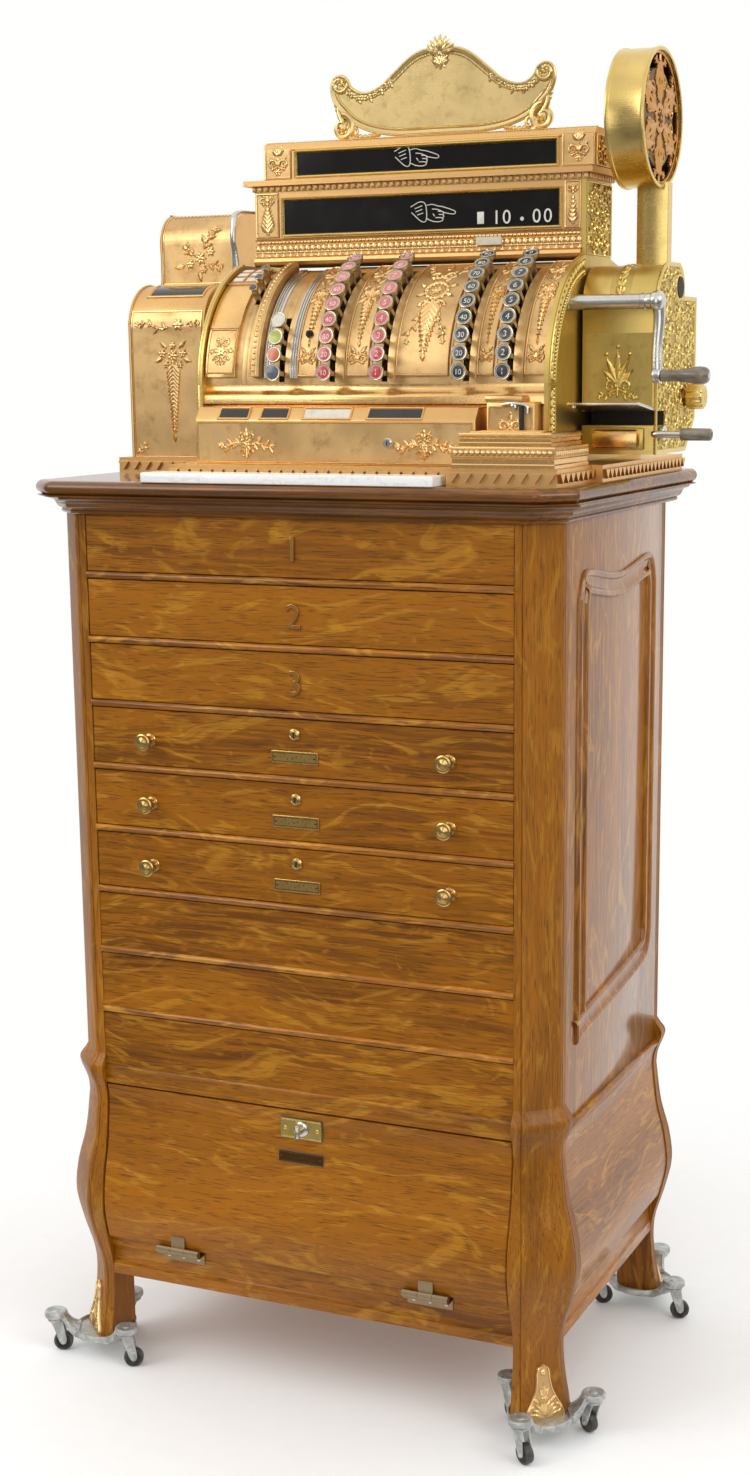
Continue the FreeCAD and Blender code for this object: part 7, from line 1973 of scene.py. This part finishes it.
def caster_forms(name, centre, spin, m):
    """One swivel caster: a domed fork with two cheeks, its axle with riveted ends and a crowned wheel."""
    turn = radians(spin)
    out, side = np.array([cos(turn), sin(turn), 0.0]), np.array([-sin(turn), cos(turn), 0.0])
    low = Form()
    centre = np.array([centre[0], centre[1], 0.0])
    turned(low, [(39.2, 9.4), (39.7, 10.6), (40.8, 11.0), (42.4, 10.6), (43.4, 9.0), (43.7, 6.0), (43.7, 4.0),
        (48.4, 4.0)], centre, UPWARD, 28)
    for hand in HANDS:
        outline = soften([(-7.0, 41.0), (8.4, 41.0), (12.4, 16.0), (11.4, 9.6), (5.6, 8.4), (2.6, 14.0),
            (-2.4, 30.0)], 2.6, 4)
        rings = []
        for level, drawn in ((5.1, 0.5), (5.5, 0.0), (6.7, 0.0), (7.1, 0.5)):
            flat = inset(anticlockwise(outline), drawn)
            rings.append([centre + out * a + side * hand * level + [0, 0, b] for a, b in flat])
        low.skin(rings)
    axle = centre + out * 8.0 + [0, 0, 12.0]
    turned(low, [(-8.4, 1.4), (-8.0, 2.8), (-7.2, 3.3), (-7.0, 2.4), (7.0, 2.4), (7.2, 3.3), (8.0, 2.8), (8.4, 1.4)],
        axle, side, 18)
    turned(low, [(-4.5, 9.0), (-4.5, 10.6), (-4.1, 11.5), (-3.0, 11.9), (0, 12.0), (3.0, 11.9), (4.1, 11.5),
        (4.5, 10.6), (4.5, 9.0), (3.7, 8.2), (3.6, 5.0), (4.6, 4.2), (4.6, 3.0), (3.0, 2.6), (-3.0, 2.6), (-4.6, 3.0),
        (-4.6, 4.2), (-3.6, 5.0), (-3.7, 8.2), (-4.5, 9.0)], axle, side, 36, 1)
    return build(name + "_wheel", low, [m["casting"], m["wheel"]], name, [name])


def casters(m):
    """Three casters under each dolly."""
    for corner, (cx, cy, phase) in DOLLIES.items():
        for index in range(3):
            way = radians(phase + 120 * index)
            place = (cx + CUP_REACH * cos(way), cy + CUP_REACH * sin(way))
            caster_forms("caster_%s_%d" % (corner, index + 1), place, phase + 120 * index + 60 * (index + 1), m)


def change_slab(m):
    """Marble slab with eased edges and a shallow change dish worn in it."""
    form = Form()
    x0, x1, y0, y1, z0, z1 = -172.0, 178.0, -234.5, -197.5, 1068.0, 1079.0
    rings = []
    for drawn, z in ((0.6, z0), (0.0, z0 + 0.8), (0.0, z1 - 1.6), (0.4, z1 - 0.6), (1.4, z1), (3.0, z1),
            (9.0, z1 - 0.9), (14.0, z1 - 1.3)):
        flat = soften([(x0 + drawn, y0 + drawn), (x1 - drawn, y0 + drawn), (x1 - drawn, y1 - drawn),
            (x0 + drawn, y1 - drawn)], 2.4, 4)
        rings.append([(a, b, z) for a, b in flat])
    form.skin(rings)
    return build("change_slab_stone", form, m["stone"], "case", ["change_slab"])


def hinge_trim(m):
    """Screws of the door's hinges. Those of the moving leaves are hidden, so only the fixed ones are built."""
    for name, body in (("hinge_screws_fixed", "case"), ("hinge_screws_moving", "drop_door")):
        low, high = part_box("door_hinges" if body == "case" else "door_hardware")
        if body == "case":
            form = Form()
            front, z = -HALF_DEPTH - 2.0, low.z / MILLIMETRE + 6.0
            for x in (-180.0, -160.0, -140.0, 140.0, 160.0, 180.0):
                turned(form, [(0, 2.6), (0.5, 2.5), (0.9, 1.8), (1.0, 0.4)], (x, front, z), FORWARD, 16)
                block(form, (x - 1.8, front - 1.1, z - 0.3), (x + 1.8, front - 0.7, z + 0.3), 0.1, 1)
            build(name, form, [m["steel"], m["shadow"]], body)


def cad_finishes(m):
    """Finishes of the CAD pieces that are shown as they are, with the arrises of the fronts, base, shell and indicator
    case rounded.
    """
    chosen = {"blank_fronts": "oak_fronts", "register_base": "copper_satin", "register_shell": "gold_satin",
        "indicator_case": "copper_satin", "glass_panes": "glass", "indicator_drums": "black",
        "door_hinges": "old_steel", "door_hardware": "old_steel"}
    chosen.update({"drawer_%d" % number: "oak_fronts" for number in range(1, 7)})
    for name, finish in chosen.items():
        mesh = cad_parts[name].data
        for index in range(len(mesh.materials)):
            mesh.materials[index] = m[finish]
    arris = bpy.context.scene.ticket_register.oak.arris
    soften_edges([name for name in chosen if chosen[name] == "oak_fronts"], arris / MILLIMETRE)
    soften_edges(["register_base", "register_shell", "indicator_case"], 0.6)


def colour(name, description, default):
    """Colour property of a settings group."""
    return bpy.props.FloatVectorProperty(name=name, description=description, default=default, size=3, min=0.0,
        max=1.0, subtype="COLOR")


class OakSettings(bpy.types.PropertyGroup):
    """Colours and edges of the oak."""
    dark: colour("Dark grain", "Colour of the dark grain", OAK_DARK)
    middle: colour("Ground", "Colour between the grain lines", OAK_MID)
    light: colour("Ray flakes", "Colour of the ray flakes", OAK_LIGHT)
    pore: colour("Pores", "Colour of the open pores", OAK_PORE)
    arris: bpy.props.FloatProperty(name="Arris", description="Width of the rounded edges of the drawer fronts",
        default=0.0009, min=0.0001, max=0.002, unit="LENGTH")


class BrassSettings(bpy.types.PropertyGroup):
    """Colours of the cast metal."""
    copper: colour("Copper gold", "Raised parts of the case castings", COPPER_GOLD)
    # The dark colours serve as tarnish and as painted shade in the crevices of the relief
    copper_dark: colour("Copper tarnish and painted shade", "Tarnish and painted shade in the hollows of the case castings", COPPER_DEEP)
    yellow: colour("Yellow gold", "Raised parts of the yellow castings", YELLOW_GOLD)
    yellow_dark: colour("Yellow tarnish and painted shade", "Tarnish and painted shade in the hollows of the yellow castings", YELLOW_DEEP)


class KeySettings(bpy.types.PropertyGroup):
    """Key faces."""
    red: colour("Red", "Lower faces of the red banks", (0.56, 0.030, 0.028))
    faded: colour("Upper red", "Paler upper faces of the red banks", (0.66, 0.185, 0.165))
    black: colour("Black", "Faces of the black banks", (0.020, 0.021, 0.018))
    figure: bpy.props.FloatProperty(name="Figure size", description="Height of a figure as a share of the key radius",
        default=1.02, min=0.4, max=1.2, subtype="FACTOR")


class StageSettings(bpy.types.PropertyGroup):
    """Camera and lamps."""
    focal_length: bpy.props.FloatProperty(name="Focal length", description="Lens of the photo camera", default=51.596,
        min=20.0, max=200.0, unit="CAMERA")
    lamp_power: bpy.props.FloatProperty(name="Lamp power", description="Power of the left softbox; the others follow",
        default=26.0, min=1.0, max=200.0, unit="POWER")
    floor_reach: bpy.props.FloatProperty(name="Floor reach", description="Half width of the floor", default=2.2,
        min=1.0, max=20.0, unit="LENGTH")


class RegisterSettings(bpy.types.PropertyGroup):
    """All settings of the register."""
    oak: bpy.props.PointerProperty(type=OakSettings, name="Oak", description="Oak case")
    brass: bpy.props.PointerProperty(type=BrassSettings, name="Brass", description="Cast metal")
    keys: bpy.props.PointerProperty(type=KeySettings, name="Keys", description="Key faces")
    stage: bpy.props.PointerProperty(type=StageSettings, name="Stage", description="Camera and lamps")


FINISHES = {}


def make_all(*makers):
    """Runs the makers of one operator with the shared finishes, which are made once."""
    if not FINISHES:
        FINISHES.update(make_materials(bpy.context.scene.ticket_register))
    for make in makers:
        make(FINISHES)
    return {"FINISHED"}


class REGISTER_OT_stage(bpy.types.Operator):
    """Camera, surroundings, lamps and floor"""
    bl_idname = "ticket_register.stage"
    bl_label = "Stage"

    def execute(self, context):
        make_stage(context.scene.ticket_register.stage)
        return {"FINISHED"}


class REGISTER_OT_oak_case(bpy.types.Operator):
    """Posts, panels, mouldings, boards, rails and counter of the oak case"""
    bl_idname = "ticket_register.oak_case"
    bl_label = "Oak case"

    def execute(self, context):
        return make_all(corner_posts, case_panels, case_mouldings, dust_boards, case_rails, counter_top)


class REGISTER_OT_feet(bpy.types.Operator):
    """Shields on the feet, dollies and casters"""
    bl_idname = "ticket_register.feet"
    bl_label = "Feet and casters"

    def execute(self, context):
        return make_all(sabots, dollies, casters)


class REGISTER_OT_drop_door(bpy.types.Operator):
    """Swelled drop door with its plates, thumb turn and hinge screws"""
    bl_idname = "ticket_register.drop_door"
    bl_label = "Drop door"

    def execute(self, context):
        return make_all(drop_door, door_fittings, hinge_trim)


class REGISTER_OT_drawers(bpy.types.Operator):
    """Knobs, locks, plates and figures of the drawers"""
    bl_idname = "ticket_register.drawers"
    bl_label = "Drawers"

    def execute(self, context):
        return make_all(drawer_furniture, drawer_figures)


class REGISTER_OT_castings(bpy.types.Operator):
    """Finishes of the drawer fronts, the base, the shell, the heads and the panes"""
    bl_idname = "ticket_register.castings"
    bl_label = "Plain castings"

    def execute(self, context):
        return make_all(cad_finishes)


class REGISTER_OT_key_front(bpy.types.Operator):
    """Chased front behind the keys and the end plates"""
    bl_idname = "ticket_register.key_front"
    bl_label = "Key front"

    def execute(self, context):
        return make_all(key_front, end_rims)


class REGISTER_OT_money_keys(bpy.types.Operator):
    """Four banks of money keys"""
    bl_idname = "ticket_register.money_keys"
    bl_label = "Money keys"

    def execute(self, context):
        return make_all(money_keys)


class REGISTER_OT_small_keys(bpy.types.Operator):
    """Transaction keys and clerk keys"""
    bl_idname = "ticket_register.small_keys"
    bl_label = "Transaction and clerk keys"

    def execute(self, context):
        return make_all(transaction_keys)


class REGISTER_OT_heads(bpy.types.Operator):
    """Mouldings of the two indicator heads, their figures and hands"""
    bl_idname = "ticket_register.heads"
    bl_label = "Indicator heads"

    def execute(self, context):
        return make_all(head_trim, indicator_figures)


class REGISTER_OT_top_sign(bpy.types.Operator):
    """Crested sign on the upper head"""
    bl_idname = "ticket_register.top_sign"
    bl_label = "Top sign"

    def execute(self, context):
        return make_all(top_sign)


class REGISTER_OT_recorder(bpy.types.Operator):
    """Recorder at the left with its arm"""
    bl_idname = "ticket_register.recorder"
    bl_label = "Recorder"

    def execute(self, context):
        return make_all(recorder)


class REGISTER_OT_till_band(bpy.types.Operator):
    """Stepped till band, lock and latch"""
    bl_idname = "ticket_register.till_band"
    bl_label = "Till band"

    def execute(self, context):
        return make_all(till_band)


class REGISTER_OT_ticket_box(bpy.types.Operator):
    """Stepped ticket box"""
    bl_idname = "ticket_register.ticket_box"
    bl_label = "Ticket box"

    def execute(self, context):
        return make_all(ticket_box)


class REGISTER_OT_change_slab(bpy.types.Operator):
    """Marble change slab"""
    bl_idname = "ticket_register.change_slab"
    bl_label = "Change slab"

    def execute(self, context):
        return make_all(change_slab)


class REGISTER_OT_crank(bpy.types.Operator):
    """Crank tube, crank and grip"""
    bl_idname = "ticket_register.crank"
    bl_label = "Crank"

    def execute(self, context):
        return make_all(crank_parts)


class REGISTER_OT_printer(bpy.types.Operator):
    """Printer case with its outer plate and ink knob"""
    bl_idname = "ticket_register.printer"
    bl_label = "Printer"

    def execute(self, context):
        return make_all(printer, ink_knob)


class REGISTER_OT_slip_parts(bpy.types.Operator):
    """Slip table and slip lever"""
    bl_idname = "ticket_register.slip_parts"
    bl_label = "Slip table and lever"

    def execute(self, context):
        return make_all(slip_parts)


class REGISTER_OT_reel(bpy.types.Operator):
    """Reel housing and paper reel"""
    bl_idname = "ticket_register.reel"
    bl_label = "Paper reel"

    def execute(self, context):
        return make_all(reel_housing, paper_reel)


OPERATORS = (REGISTER_OT_stage, REGISTER_OT_oak_case, REGISTER_OT_feet, REGISTER_OT_drop_door, REGISTER_OT_drawers,
    REGISTER_OT_castings, REGISTER_OT_key_front, REGISTER_OT_money_keys, REGISTER_OT_small_keys, REGISTER_OT_heads,
    REGISTER_OT_top_sign, REGISTER_OT_recorder, REGISTER_OT_till_band, REGISTER_OT_ticket_box,
    REGISTER_OT_change_slab, REGISTER_OT_crank, REGISTER_OT_printer, REGISTER_OT_slip_parts, REGISTER_OT_reel)


class REGISTER_PT_panel(bpy.types.Panel):
    """Settings and steps of the ticket register"""
    bl_idname = "REGISTER_PT_panel"
    bl_label = "Ticket register"
    bl_space_type = "VIEW_3D"
    bl_region_type = "UI"
    bl_category = "Register"

    def draw(self, context):
        settings = context.scene.ticket_register
        for group in (settings.oak, settings.brass, settings.keys, settings.stage):
            box = self.layout.box()
            for name in group.__annotations__:
                box.prop(group, name)
        for operator in OPERATORS:
            self.layout.operator(operator.bl_idname)


CLASSES = (OakSettings, BrassSettings, KeySettings, StageSettings, RegisterSettings, *OPERATORS, REGISTER_PT_panel)


def register():
    for item in CLASSES:
        bpy.utils.register_class(item)
    bpy.types.Scene.ticket_register = bpy.props.PointerProperty(type=RegisterSettings)


def unregister():
    del bpy.types.Scene.ticket_register
    for item in reversed(CLASSES):
        bpy.utils.unregister_class(item)


def main():
    """Builds the register piece by piece."""
    register()
    for operator in OPERATORS:
        group, name = operator.bl_idname.split(".")
        getattr(getattr(bpy.ops, group), name)()


if __name__ == "__main__":
    main()
